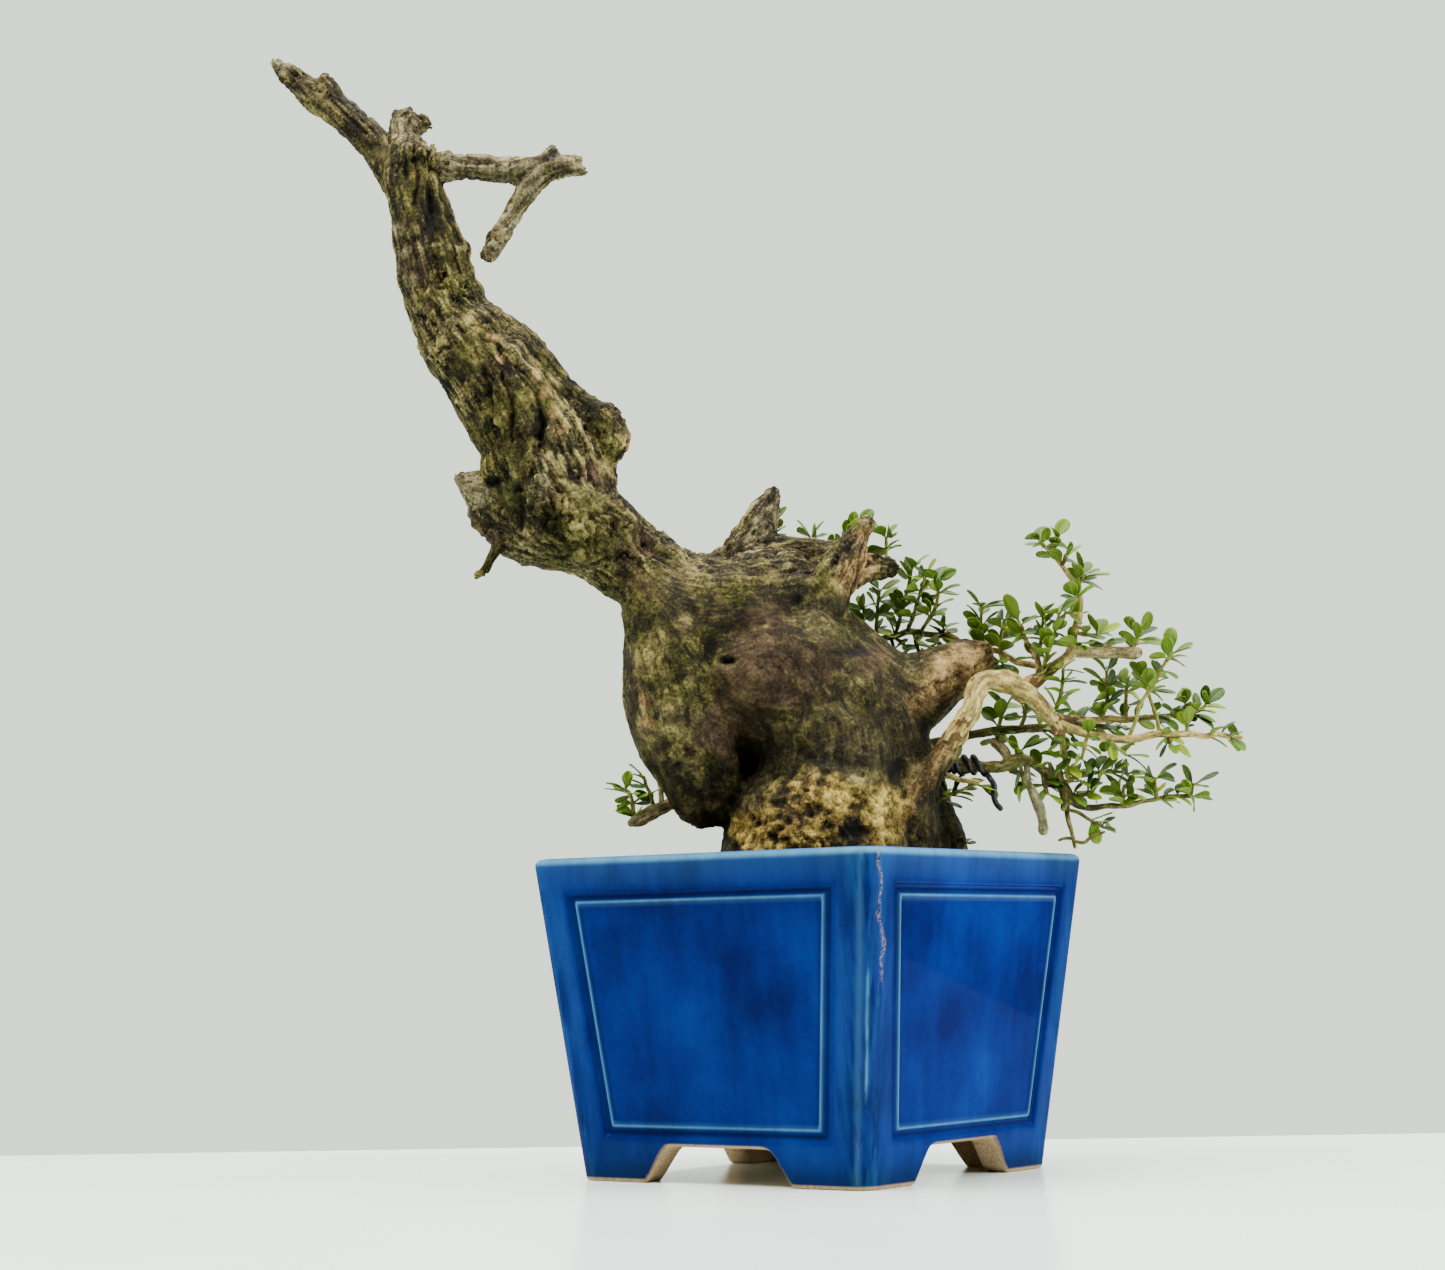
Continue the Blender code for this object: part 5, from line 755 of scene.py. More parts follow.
def branch_bark(name, low, middle, high, fleck, fleck_share, size=1.0, depth=0.25, foot=0.0):
    """Thin bark of a branch: flecked along its run, with fine wrinkles across it."""
    finish = Finish(name, specular_ior_level=0.12)
    run = finish.marks("grain")[2]
    grain = finish.add("ShaderNodeAttribute", {"attribute_name": "grain"}, output="Vector")
    streaks, rings, patches, spots = (
        finish.noise(reach * size, detail, finish.stretched(grain, factors), scale=1.0)
        for reach, detail, factors in BARK_NOISES)
    value = (streaks - 0.5) * 1.0 + (rings - 0.5) * 0.5 + (patches - 0.5) * 0.9 + 0.52
    colour = finish.ramp(value, (0.22, low), (0.5, middle), (0.78, high))
    old = (1 - run.eased(8.0, 30.0)) * foot
    flecked = (spots + old * 0.12).eased(0.53, 0.62) * (fleck_share + old)
    colour = finish.mix(flecked.least(1.0), colour, fleck)
    return finish.apply(base_color=colour, roughness=0.5 + patches * 0.35,
                        normal=finish.bump(streaks * 0.7 + rings * 0.5, depth))


def leaf_green():
    """Small leathery leaves: a pale midrib and edge, fine side veins, and a paler dull underside."""
    finish = Finish("leaf", specular_ior_level=0.14, subsurface_weight=0.12, subsurface_scale=0.0012,
                    subsurface_radius=(0.5, 0.9, 0.15))
    along, across, chance, under = finish.marks("blade")
    side = abs(across - 0.5) * 2.0
    mottle = finish.noise(2.4, 3)
    value = chance * 0.72 + mottle * 0.14 + along * 0.12
    top = finish.ramp(value, (0.12, (0.013, 0.034, 0.0014)), (0.42, (0.037, 0.078, 0.0027)),
                      (0.68, (0.094, 0.158, 0.0055)), (0.95, (0.27, 0.34, 0.017)))
    veins = abs((along * 17.0 - side * 4.0).math("SINE")) * side.eased(0.08, 0.3)
    top = finish.mix(veins.eased(0.8, 1.0) * 0.07, top, (0.12, 0.20, 0.022))
    midrib = 1 - side.eased(0.04, 0.12)
    top = finish.mix(midrib * 0.5, top, (0.13, 0.20, 0.038))
    top = finish.mix(side.eased(0.92, 1.0) * 0.35, top, (0.11, 0.175, 0.03))
    below = finish.mix(midrib * 0.5, (0.090, 0.140, 0.010), (0.17, 0.22, 0.030))
    stalk = 1 - along.eased(0.05, 0.16)
    colour = finish.mix(under, top, below)
    colour = finish.mix(stalk * 0.7, colour, (0.10, 0.125, 0.024))
    wrinkle = veins * 0.5 + finish.noise(0.6, 2) * 0.15 - midrib * 0.7
    return finish.apply(base_color=colour, roughness=0.36 + under * 0.25 + mottle * 0.15,
                        normal=finish.bump(wrinkle, 0.05))


def cobalt_glaze():
    """Glossy cobalt glaze: thin and pale on edges and beads, deep where it has pooled, bare clay below; with
    a painted highlight down the front corner and partly along the lip.
    """
    finish = Finish("cobalt_glaze", coat_roughness=0.03, coat_ior=1.28, specular_ior_level=0.0)
    thin, pooled, bare, corner = finish.marks("glaze")
    place = finish.places()
    runs = finish.noise(7.0, 4, finish.stretched(place, (1, 1, 0.12)))
    clouds = finish.noise(46.0, 4, roughness=0.5)
    mottle = finish.noise(2.2, 4)
    depth = (clouds - 0.5) * 0.9 + (runs - 0.5) * 0.22 + (mottle - 0.5) * 0.16 + 0.47
    body = finish.ramp(depth, (0.32, (0.0002, 0.0028, 0.050)), (0.46, (0.0003, 0.0068, 0.085)),
                       (0.58, (0.0005, 0.0115, 0.110)), (0.74, (0.0014, 0.023, 0.145)))
    body = finish.mix((pooled * (0.75 + runs * 0.4)).least(1.0), body, (0.0001, 0.0012, 0.022))
    # Pale where the glaze is thin on beads and edges; on the front corner, and partly on the lip, this pale
    # colour is a painted highlight
    edge = (thin * (0.5 + runs * 0.9)).least(1.0)
    body = finish.mix(edge, body, (0.062, 0.185, 0.31))
    teal = corner * runs.eased(0.42, 0.66)
    body = finish.mix(teal * 0.42, body, (0.004, 0.050, 0.12))
    dark_run = corner * finish.noise(5.0, 3, finish.stretched(place, (1, 1, 0.06))).eased(0.48, 0.62)
    body = finish.mix(dark_run * 0.6, body, (0.0002, 0.003, 0.030))
    pale_run = corner * finish.noise(1.6, 2, finish.stretched(place, (1, 1, 0.03))).eased(0.62, 0.72)
    body = finish.mix(pale_run * 0.12, body, (0.05, 0.11, 0.30))
    bubbles = 1 - finish.cells(2.6).eased(0.035, 0.09)
    some = finish.noise(3.1, 1).eased(0.60, 0.66)
    body = finish.mix(bubbles * some * 0.8, body, (0.0004, 0.004, 0.04))
    x, y, z = (Value(finish, socket) for socket in
               finish.add("ShaderNodeSeparateXYZ", None, (place,)).socket.node.outputs)
    wobble = (finish.noise(14.0, 3) - 0.5) * 0.0105
    half = (z * ((POT_TOP - POT_BOTTOM) / POT_HEIGHT) + POT_BOTTOM * MM) * 0.5
    from_corner = y - AXIS.y + half
    lean = (POT_HEIGHT * MM - z) * 0.075 + 0.0062
    scar = 1 - abs(from_corner - lean - wobble).eased(0.0001, 0.0019)
    scar = scar * z.eased(0.080, 0.090) * (x - AXIS.x).eased(0.04, 0.05)
    scar = scar * finish.noise(1.1, 4).eased(0.44, 0.60)
    body = finish.mix(scar * 0.75, body, (0.20, 0.13, 0.12))
    clay = finish.ramp(finish.noise(1.2, 4), (0.3, (0.24, 0.15, 0.075)), (0.7, (0.42, 0.29, 0.17)))
    colour = finish.mix(bare, body, clay)
    covered_up = 1 - bare
    ripple = finish.noise(16.0, 2) * 0.9 + finish.noise(3.0, 2) * 0.06 + scar * 0.03
    return finish.apply(base_color=colour, roughness=0.32 + bare * 0.5 + scar * 0.2,
                        coat_weight=covered_up * 0.12,
                        normal=finish.bump(ripple * covered_up + finish.noise(0.8, 3) * bare * 0.3, 0.55))


def loose_ground(name, low, middle, high, size):
    """Crumbly matter in lumps of a size in millimetres."""
    finish = Finish(name, specular_ior_level=0.2)
    lumps = finish.cells(size)
    blotch = finish.noise(size * 0.6, 4)
    colour = finish.ramp(blotch * 0.8 + (1 - lumps) * 0.25, (0.3, low), (0.52, middle), (0.75, high))
    return finish.apply(base_color=colour, roughness=0.85 + blotch * 0.12,
                        normal=finish.bump(blotch * 0.8 + (1 - lumps), size * 0.3))


def wire_metal(name, colour, worn_colour, roughness):
    finish = Finish(name, specular_ior_level=0.5)
    scuffs = finish.noise(1.4, 4)
    shade = finish.mix(scuffs.eased(0.5, 0.7), colour, worn_colour)
    return finish.apply(base_color=shade, metallic=0.85 - scuffs.eased(0.5, 0.7) * 0.25,
                        roughness=roughness + scuffs * 0.2, normal=finish.bump(scuffs, 0.06))


def black_plastic():
    finish = Finish("black_plastic", specular_ior_level=0.45)
    mottle = finish.noise(0.9, 3)
    shade = finish.mix(mottle, (0.010, 0.010, 0.011), (0.022, 0.022, 0.022))
    return finish.apply(base_color=shade, roughness=0.4 + mottle * 0.25, normal=finish.bump(mottle, 0.05))


def table_top():
    """The glossy pale top that the pot stands on."""
    finish = Finish("table_top", specular_ior_level=0.5)
    haze = finish.noise(260.0, 3)
    shade = finish.mix(haze, (0.82, 0.93, 0.87), (0.86, 0.97, 0.91))
    return finish.apply(base_color=shade, roughness=0.12 + haze * 0.12)


def build_stage():
    """A plain pale table top that ends a little behind the pot, under an even pale surround."""
    yaw = math.radians(CAMERA_TURN[0])
    back, across = Vector((-math.sin(yaw), math.cos(yaw), 0)), Vector((math.cos(yaw), math.sin(yaw), 0))
    shape = bmesh.new()
    corners = [AXIS + across * (side * TABLE_HALF) + back * reach
               for side, reach in ((-1, TABLE_BEHIND), (1, TABLE_BEHIND), (1, -TABLE_BEFORE),
                                   (-1, -TABLE_BEFORE))]
    top = [shape.verts.new(corner) for corner in corners]
    low = [shape.verts.new(corner - Vector((0, 0, TABLE_THICK))) for corner in corners]
    shape.faces.new(top[::-1])
    shape.faces.new(low)
    for i in range(4):
        shape.faces.new((top[i], top[(i + 1) % 4], low[(i + 1) % 4], low[i]))
    bmesh.ops.recalc_face_normals(shape, faces=shape.faces)
    mesh = bpy.data.meshes.new("table")
    shape.to_mesh(mesh)
    shape.free()
    mesh.materials.append(table_top())
    put_in("table", mesh)


class Surround(Finish):
    """The world's nodes, added as a finish's are."""

    def __init__(self):
        world = bpy.data.worlds.new("studio")
        bpy.context.scene.world = world
        world.use_nodes = True
        self.tree = world.node_tree


def light_the_studio():
    """Large soft lamps, and a surround that is pale behind the tree and dim on the camera's side."""
    for lamp in LAMPS:
        soft_light(*lamp)
    surround = Surround()
    direction = surround.add("ShaderNodeTexCoord", output="Generated")
    facing = surround.add("ShaderNodeVectorMath", {"operation": "DOT_PRODUCT"},
                          (direction, (SIGHT + ROOM_TILT).normalized()), "Value")
    room = surround.add("ShaderNodeBackground", None, {"Color": surround.ramp(facing, *ROOM_SHADES)})
    pale = surround.add("ShaderNodeBackground", None, {"Color": PALE_GROUND})
    seen = surround.add("ShaderNodeLightPath", output="Is Camera Ray")
    mixed = surround.add("ShaderNodeMixShader", None, (seen, room, pale))
    surround.tree.links.new(mixed.socket, surround.tree.nodes["World Output"].inputs["Surface"])


class Grain:
    """Smooth random values in space, the same on every run."""

    CELLS = 32

    def __init__(self, seed):
        slopes = np.random.default_rng(seed).normal(size=(self.CELLS,) * 3 + (3,))
        self.slopes = slopes / np.linalg.norm(slopes, axis=-1, keepdims=True)

    def __call__(self, places, size):
        """Values of about -1 to 1 that change over the given size in millimetres."""
        scaled = places / (size * MM)
        cell = np.floor(scaled).astype(int)
        part = scaled - cell
        ease = part ** 3 * (part * (part * 6 - 15) + 10)
        total = np.zeros(len(places))
        for corner in np.ndindex(2, 2, 2):
            slope = self.slopes[tuple(((cell + corner) % self.CELLS).T)]
            weight = np.prod(np.where(corner, ease, 1 - ease), axis=1)
            total += weight * ((part - corner) * slope).sum(axis=1)
        return total * 2.0

    def along(self, places, leads, size, reach, steps=4):
        """The same, drawn out into streaks along the leads."""
        total = np.zeros(len(places))
        for step in range(-steps, steps + 1):
            total += self(places + leads * (step / steps * reach * MM), size)
        return total * 1.6 / math.sqrt(2 * steps + 1)


def bark_plates(places, size, seed):
    """How far each place is from the crack round its plate, in shares of the plates' size, and a chance."""
    cells = 16
    draw = np.random.default_rng(seed)
    middles, chances = draw.random((cells, cells, cells, 3)), draw.random((cells, cells, cells))
    scaled = places / (size * MM)
    cell = np.floor(scaled).astype(int)
    nearest, second = np.full(len(places), 9.0), np.full(len(places), 9.0)
    chance = np.zeros(len(places))
    for step in np.ndindex(3, 3, 3):
        other = cell + step - 1
        number = tuple((other % cells).T)
        far = np.linalg.norm(other + middles[number] - scaled, axis=1)
        closer = far < nearest
        second = np.where(closer, nearest, np.minimum(second, far))
        chance = np.where(closer, chances[number], chance)
        nearest = np.where(closer, far, nearest)
    return second - nearest, chance


def eased(values, low, high):
    """0 below low and 1 above high, with a smooth step between."""
    share = np.clip((values - low) / (high - low), 0, 1)
    return share * share * (3 - 2 * share)


def bell(values, width):
    """1 at zero, falling off smoothly on both sides over a width."""
    return np.exp(-(values / width) ** 2)


class Shape:
    """Points and faces gathered for one piece. Each point keeps three marks for the finish to read."""

    def __init__(self):
        self.points = []
        self.marks = []
        self.faces = []
        self.finishes = []

    def add(self, points, faces, marks, finish=0):
        first = len(self.points)
        self.points.extend(tuple(point) for point in points)
        self.marks.extend(tuple(mark) for mark in marks)
        self.faces.extend(tuple(first + number for number in face) for face in faces)
        self.finishes.extend([finish] * len(faces))

    def piece(self, name, mark_name, *finishes):
        mesh = bpy.data.meshes.new(name)
        mesh.from_pydata([tuple(point) for point in self.points], [], self.faces)
        keep_marks(mesh, mark_name, self.marks)
        for finish in finishes:
            mesh.materials.append(finish)
        mesh.polygons.foreach_set("material_index", self.finishes)
        mesh.shade_smooth()
        mesh.validate()
        return put_in(name, mesh)


def keep_marks(mesh, name, marks):
    """Stores up to four values at each point of a mesh, for its finish."""
    rows = np.array(marks, dtype=np.float32)
    full = np.ones((len(rows), 4), dtype=np.float32)
    full[:, :rows.shape[1]] = rows
    mesh.attributes.new(name, "FLOAT_COLOR", "POINT").data.foreach_set("color", full.ravel())


def declare(obj, node):
    """Attaches a new piece to the root and hides the CAD part that it stands for."""
    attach(obj, "root")
    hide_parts(node)


def one_skin(guide, voxel, softened=0):
    """The mesh of one closed skin round a guide object. The guide is then removed."""
    skin = guide.modifiers.new("skin", "REMESH")
    skin.mode = "VOXEL"
    skin.voxel_size = voxel * MM
    if softened:
        soften = guide.modifiers.new("soften", "SMOOTH")
        soften.factor = 0.5
        soften.iterations = softened
    bpy.context.view_layer.update()
    mesh = bpy.data.meshes.new_from_object(guide.evaluated_get(bpy.context.evaluated_depsgraph_get()))
    bpy.data.objects.remove(guide, do_unlink=True)
    return mesh


def rough_piece(name, mesh, raised, finish, node):
    """A piece from a skin whose points have been raised."""
    mesh.vertices.foreach_set("co", raised.ravel())
    mesh.materials.clear()
    mesh.materials.append(finish)
    mesh.polygons.foreach_set("material_index", [0] * len(mesh.polygons))
    mesh.shade_smooth()
    declare(put_in(name, mesh), node)


# The rounded end of a limb: how far beyond its last ring, and how wide, in shares of its radius
LIMB_END = ((0.55, 0.83), (0.9, 0.42))


def ring_frames(places):
    """Two directions across a route at each of its places, turning with it as little as they can."""
    lines = np.gradient(places, axis=0)
    lines /= np.linalg.norm(lines, axis=1, keepdims=True)
    side = np.cross(lines[0], (0.31, 0.43, 0.85))
    sides = []
    for line in lines:
        side = side - line * side.dot(line)
        side = side / np.linalg.norm(side)
        sides.append(side)
    sides = np.array(sides)
    return lines, sides, np.cross(lines, sides)


def round_limb(route, sides):
    """A round closed limb along (place, radius) pairs.

    Gives its points, its faces, and for each point its grain mark, the limb's radius and the way out."""
    places = np.array([tuple(place) for place, radius in route])
    radii = np.array([radius for place, radius in route])
    lines, first, second = ring_frames(places)
    caps = [[(places[end] + lines[end] * sign * radii[end] * beyond, radii[end] * share)
             for beyond, share in LIMB_END][::sign] for end, sign in ((0, -1), (-1, 1))]
    before, after = ([place for place, radius in cap] for cap in caps)
    places = np.vstack(before + [places] + after)
    radii = np.concatenate(([radius for place, radius in caps[0]], radii,
                            [radius for place, radius in caps[1]]))
    lines, first, second = (np.vstack((table[:1], table[:1], table, table[-1:], table[-1:]))
                            for table in (lines, first, second))
    run = np.concatenate(([0], np.cumsum(np.linalg.norm(np.diff(places, axis=0), axis=1))))
    angles = np.arange(sides) * 2 * math.pi / sides
    out = first[:, None] * np.cos(angles)[None, :, None] + second[:, None] * np.sin(angles)[None, :, None]
    points = places[:, None] + out * radii[:, None, None]
    marks = np.stack(np.broadcast_arrays(radii[:, None] * np.cos(angles), radii[:, None] * np.sin(angles),
                                         run[:, None]), axis=2) / MM
    rows = len(places)
    faces = [(row * sides + i, row * sides + (i + 1) % sides, (row + 1) * sides + (i + 1) % sides,
              (row + 1) * sides + i) for row in range(rows - 1) for i in range(sides)]
    faces += [tuple(range(sides))[::-1], tuple((rows - 1) * sides + i for i in range(sides))]
    return points.reshape(-1, 3), faces, marks.reshape(-1, 3), np.repeat(radii, sides), out.reshape(-1, 3)


def seen_at(across, up, toward):
    """The place, in metres, of a point given as it is seen from the front."""
    share = (EYE_DISTANCE - toward) / EYE_DISTANCE
    x = math.cos(FRONT_AZIMUTH) * across * share + math.sin(FRONT_AZIMUTH) * toward
    y = math.sin(FRONT_AZIMUTH) * across * share - math.cos(FRONT_AZIMUTH) * toward
    z = EYE_HEIGHT + (up - EYE_HEIGHT) * share
    return Vector((x, y, z)) * MM


def smooth_route(points, spans=2):
    """Points on a smooth curve through the given ones, each with its radius last."""
    rows = np.array(points, dtype=float)
    ends = np.vstack([2 * rows[0] - rows[1], rows, 2 * rows[-1] - rows[-2]])
    route = []
    for i in range(1, len(ends) - 2):
        before, start, end, after = ends[i - 1:i + 3]
        for step in range(spans):
            t = step / spans
            route.append(0.5 * (2 * start + (end - before) * t
                                + (2 * before - 5 * start + 4 * end - after) * t ** 2
                                + (3 * start - before - 3 * end + after) * t ** 3))
    route.append(rows[-1])
    return route


def limb_route(points, spans):
    return [(seen_at(*row[:3]), row[3] * MM) for row in smooth_route(points, spans)]


def nearest_on(rows, across, up):
    """The point of a run that is seen nearest to a place in the front view."""
    fine = smooth_route(rows, 6)
    return min(fine, key=lambda row: math.hypot(row[0] - across, row[1] - up))


def with_radii(points):
    """A run's points, each with a radius, thinning towards the tip where none is given."""
    last = max(len(points) - 1, 1)
    return [tuple(row) if len(row) == 4 else (*row, TWIG_FOOT + (TWIG_TIP - TWIG_FOOT) * i / last)
            for i, row in enumerate(points)]


def rooted_run(points, trunk_rows):
    """A run begun on the middle line of what it grows from; its points keep their numbers from 1 on."""
    rows = with_radii(points)
    if trunk_rows is None:
        return [rows[0]] + rows
    foot = nearest_on(trunk_rows, rows[0][0], rows[0][1])
    return [(foot[0], foot[1], foot[2], rows[0][3])] + rows


def growth_runs():
    """Every living piece's runs with their leaves."""
    pieces = {}
    for name, (main, own_leaves, spurs) in BRANCHES.items():
        rows = list(main)
        pieces[name] = [([rows[0]] + rows, own_leaves)]
        pieces[name] += [(rooted_run(points, rows), leaves) for points, leaves in spurs]
    for name, (parent, spurs) in SHOOTS.items():
        bearer = None if parent == "trunk" else BRANCHES[parent][0]
        runs = []
        for points, leaves in spurs:
            runs.append((rooted_run(points, runs[0][0][1:] if runs else bearer), leaves))
        pieces[name] = runs
    return pieces


def run_route(rows):
    """Places and radii along a run, in metres, carried a little past its last point."""
    route = []
    for row in rows:
        place = seen_at(*row[:3])
        if not route or (place - route[-1][0]).length > TWIG_STEP * MM:
            route.append((place, row[3] * MM))
    onward = (route[-1][0] - route[-2][0]).normalized() * (TWIG_OVERRUN * MM)
    route.append((route[-1][0] + onward, route[-1][1] * 0.8))
    return route


class Leaf:
    """One blade: its root and three unit directions (along, sideways, out of the blade)."""

    def __init__(self, root, tip, openness, depth_sign, twist, stretch):
        seen = (tip - root).length
        length = max(LEAF_LENGTH * MM * stretch, seen * 1.01)
        depth = math.sqrt(max(length ** 2 - seen ** 2, 0.0)) * depth_sign
        self.along = (tip - root + SIGHT * depth).normalized()
        in_view = self.along.cross(SIGHT).normalized()
        in_depth = (SIGHT - self.along * SIGHT.dot(self.along)).normalized()
        self.side = (in_view * openness + in_depth * math.sqrt(1 - openness ** 2)).normalized()
        self.side.rotate(Matrix.Rotation(twist, 3, self.along))
        self.out = self.along.cross(self.side)
        if self.out.z < 0:
            self.side, self.out = -self.side, -self.out
        self.root = root
        self.length = length
        self.width = length * LEAF_SLENDER

    def points(self):
        """Points spread over the blade, from a third of its length on."""
        found = []
        for share in np.linspace(0.35, 0.98, 7):
            half = self.width / 2 * math.sin(math.pi * share) ** 0.7
            for side in (-1.0, -0.5, 0.0, 0.5, 1.0):
                found.append(self.root + self.along * (self.length * share) + self.side * (half * side))
        return np.array([tuple(point) for point in found])

    def holds(self, points):
        """Whether any of the points is within a clear distance of the blade."""
        away = points - np.array(self.root + self.along * (self.length / 2))
        clear = LEAF_CLEAR * MM
        scaled = ((away @ np.array(self.along) / (self.length / 2 + clear)) ** 2
                  + (away @ np.array(self.side) / (self.width / 2 + clear)) ** 2
                  + (away @ np.array(self.out) / (LEAF_THICK * MM / 2 + 2 * clear)) ** 2)
        return bool((scaled < 1).any())


class Limbs:
    """Round limbs that a leaf must stay clear of."""

    def __init__(self):
        self.owners = []
        self.rows = []

    def add(self, owner, route, spare):
        for (start, r0), (end, r1) in zip(route[:-1], route[1:]):
            self.owners.append(owner)
            self.rows.append((*start, *(end - start), r0 + spare, r1 - r0))

    def close(self):
        self.owners = np.array(self.owners)
        self.rows = np.array(self.rows)

    def touch(self, points, owner):
        rows = self.rows[self.owners != owner]
        start, line, radius, change = rows[:, 0:3], rows[:, 3:6], rows[:, 6], rows[:, 7]
        away = points[:, None, :] - start[None]
        share = np.clip((away * line).sum(axis=2) / np.maximum((line * line).sum(axis=1), 1e-12), 0, 1)
        far = np.linalg.norm(away - share[:, :, None] * line, axis=2)
        return bool((far < radius + change * share).any())


def limbs_to_clear(pieces, trunk_room, twig_room):
    """Every limb, with the room in millimetres that a leaf must leave round it."""
    limbs = Limbs()
    for points in TRUNK_LIMBS.values():
        limbs.add("trunk", limb_route(points, 2), trunk_room * MM)
    for name, runs in pieces.items():
        for rows, blades in runs:
            limbs.add(name, run_route(rows), twig_room * MM)
    limbs.close()
    return limbs


def has_room(leaf, points, name, limbs, placed):
    """Whether a leaf of a piece is clear of the other pieces' limbs and of their leaves."""
    if limbs.touch(points, name):
        return False
    near = [(other, spread) for owner, other, spread in placed
            if owner != name and (other.root - leaf.root).length < other.length + leaf.length]
    return not any(other.holds(points) or leaf.holds(spread) for other, spread in near)


def grow_leaves(pieces):
    """Every piece's leaves, each turned so that it is clear of the limbs and of the other pieces' leaves."""
    limbs = limbs_to_clear(pieces, 1.2, 0.8)
    turns = [(sign, twist, stretch) for stretch in (1.0, 0.9) for twist in (0.0, 0.4, -0.4, 0.8, -0.8)
             for sign in (1, -1)]
    placed = []
    leaves = {}
    for name, runs in pieces.items():
        leaves[name] = []
        for rows, blades in runs:
            for number, (point, across, up, openness) in enumerate(blades):
                row = rows[point + 1]
                root, tip = seen_at(*row[:3]), seen_at(across, up, row[2])
                for sign, twist, stretch in turns:
                    leaf = Leaf(root, tip, openness, sign if number % 2 else -sign, twist, stretch)
                    points = leaf.points()
                    if has_room(leaf, points, name, limbs, placed):
                        placed.append((name, leaf, points))
                        leaves[name].append(leaf)
                        break
    return leaves


class YoungLeaf(Leaf):
    """A small leaf that grows between the others, with its face turned up."""

    def __init__(self, root, along, face, length):
        self.root, self.along, self.length = root, along.normalized(), length
        self.side = face.cross(self.along).normalized()
        self.out = self.along.cross(self.side)
        self.width = length * LEAF_SLENDER


def fill_out(pieces, leaves, draw, box):
    """Pairs of young leaves between the older ones, wherever they are clear of everything else."""
    limbs = limbs_to_clear(pieces, 2.5, 1.2)
    placed = [(None, leaf, leaf.points()) for found in leaves.values() for leaf in found]
    for name, runs in pieces.items():
        for rows, blades in runs:
            if not blades:
                continue
            first = max(min(blade[0] for blade in blades) - 1, 0)
            route = [seen_at(*row[:3]) for row in rows[first:]]
            for start, end in zip(route[:-1], route[1:]):
                forward = (end - start).normalized()
                for share, sign, turn in YOUNG_PLACES:
                    aside = forward.orthogonal().normalized() * sign
                    aside.rotate(Matrix.Rotation(turn + draw.uniform(-0.4, 0.4), 3, forward))
                    along = forward * draw.uniform(0.5, 1.1) + aside + Vector((0, 0, draw.uniform(0, 0.35)))
                    face = Vector((draw.uniform(-0.5, 0.6), draw.uniform(-0.8, 0.1), 1.0))
                    leaf = YoungLeaf(start.lerp(end, share), along, face, draw.uniform(*YOUNG_LENGTH) * MM)
                    points = leaf.points()
                    inside = (points + AXIS >= box[0]).all() and (points + AXIS <= box[1]).all()
                    if inside and has_room(leaf, points, name, limbs, placed):
                        placed.append((None, leaf, points))
                        leaves[name].append(leaf)


# Bark of the trunk as it is seen from the front: round spots of (across, up, radius)
MOSSY = (
    (-141, 278, 6), (-146, 270, 6), (-176, 448, 12), (-172, 459, 8), (-163, 425, 7), (-160, 410, 10),
    (-157, 397, 9), (-150, 372, 12), (-137, 345, 13), (-137, 325, 11), (-128, 308, 13), (-143, 312, 7),
    (-104, 289, 17), (-95, 281, 12), (-113, 275, 8), (-87, 326, 8), (-120, 350, 9), (-75, 255, 12),
    (-70, 240, 13), (-57, 230, 12), (-66, 215, 10), (-50, 212, 11), (-43, 235, 9), (-15, 178, 8),
    (-5, 190, 6), (25, 206, 9), (64, 158, 5), (-102, 350, 8), (-112, 366, 8), (-92, 338, 6), (-60, 190, 8),
    (-45, 180, 8), (20, 242, 8), (-30, 150, 9), (-30, 258, 9), (8, 262, 8), (-88, 262, 7))
LIGHT = (
    (-152, 385, 7), (-149, 368, 8), (-113, 356, 6), (-110, 345, 5), (-104, 302, 7), (-92, 316, 6),
    (-74, 232, 6), (-72, 205, 8), (-70, 195, 8), (-64, 184, 6), (8, 168, 11), (-5, 172, 9), (20, 170, 9),
    (66, 221, 10), (50, 207, 7), (-168, 470, 8), (-160, 445, 7), (40, 172, 7), (52, 176, 6), (-66, 236, 8),
    (-67, 222, 8), (-60, 208, 9), (-57, 194, 7), (-50, 182, 6), (-55, 246, 6))
OCHRE = (
    (-24, 150, 10), (-11, 153, 10), (0, 155, 10), (13, 157, 12), (27, 154, 13), (34, 160, 9),
    (22, 146, 10), (-5, 172, 6), (9, 168, 6), (-2, 143, 12))
WORN = (
    (-176, 409, 8), (-92, 311, 7), (-97, 315, 6), (-74, 281, 8), (-74, 300, 6), (-151, 294, 6),
    (-142, 284, 8), (-70, 260, 6), (-21, 227, 16), (-30, 210, 15), (-40, 192, 14), (-77, 210, 5),
    (-73, 197, 8), (-10, 215, 15), (5, 226, 12), (30, 226, 10), (-82, 264, 8), (-20, 245, 14),
    (-115, 303, 7))
# Darker bark, and painted shade in hollows, creases and on the sides turned from the light: round spots of
# (across, up, radius)
DARK_BARK_AND_SHADE = (
    (-104, 351, 7), (-95, 341, 6), (-122, 376, 6), (-170, 446, 4), (-168, 432, 6), (-135, 358, 6),
    (-130, 375, 5), (-109, 370, 8), (-100, 357, 9), (-119, 334, 6), (-112, 329, 6), (-130, 345, 5),
    (30, 195, 13), (38, 183, 14), (20, 185, 9), (56, 165, 10), (60, 150, 10), (-44, 230, 6), (12, 252, 8),
    (14, 206, 14), (-14, 190, 9), (48, 196, 9), (10, 228, 10), (-26, 204, 8), (-200, 477, 9),
    (-215, 488, 7), (-190, 464, 8), (-113, 459, 5), (-106, 456, 4), (-123, 449, 4))
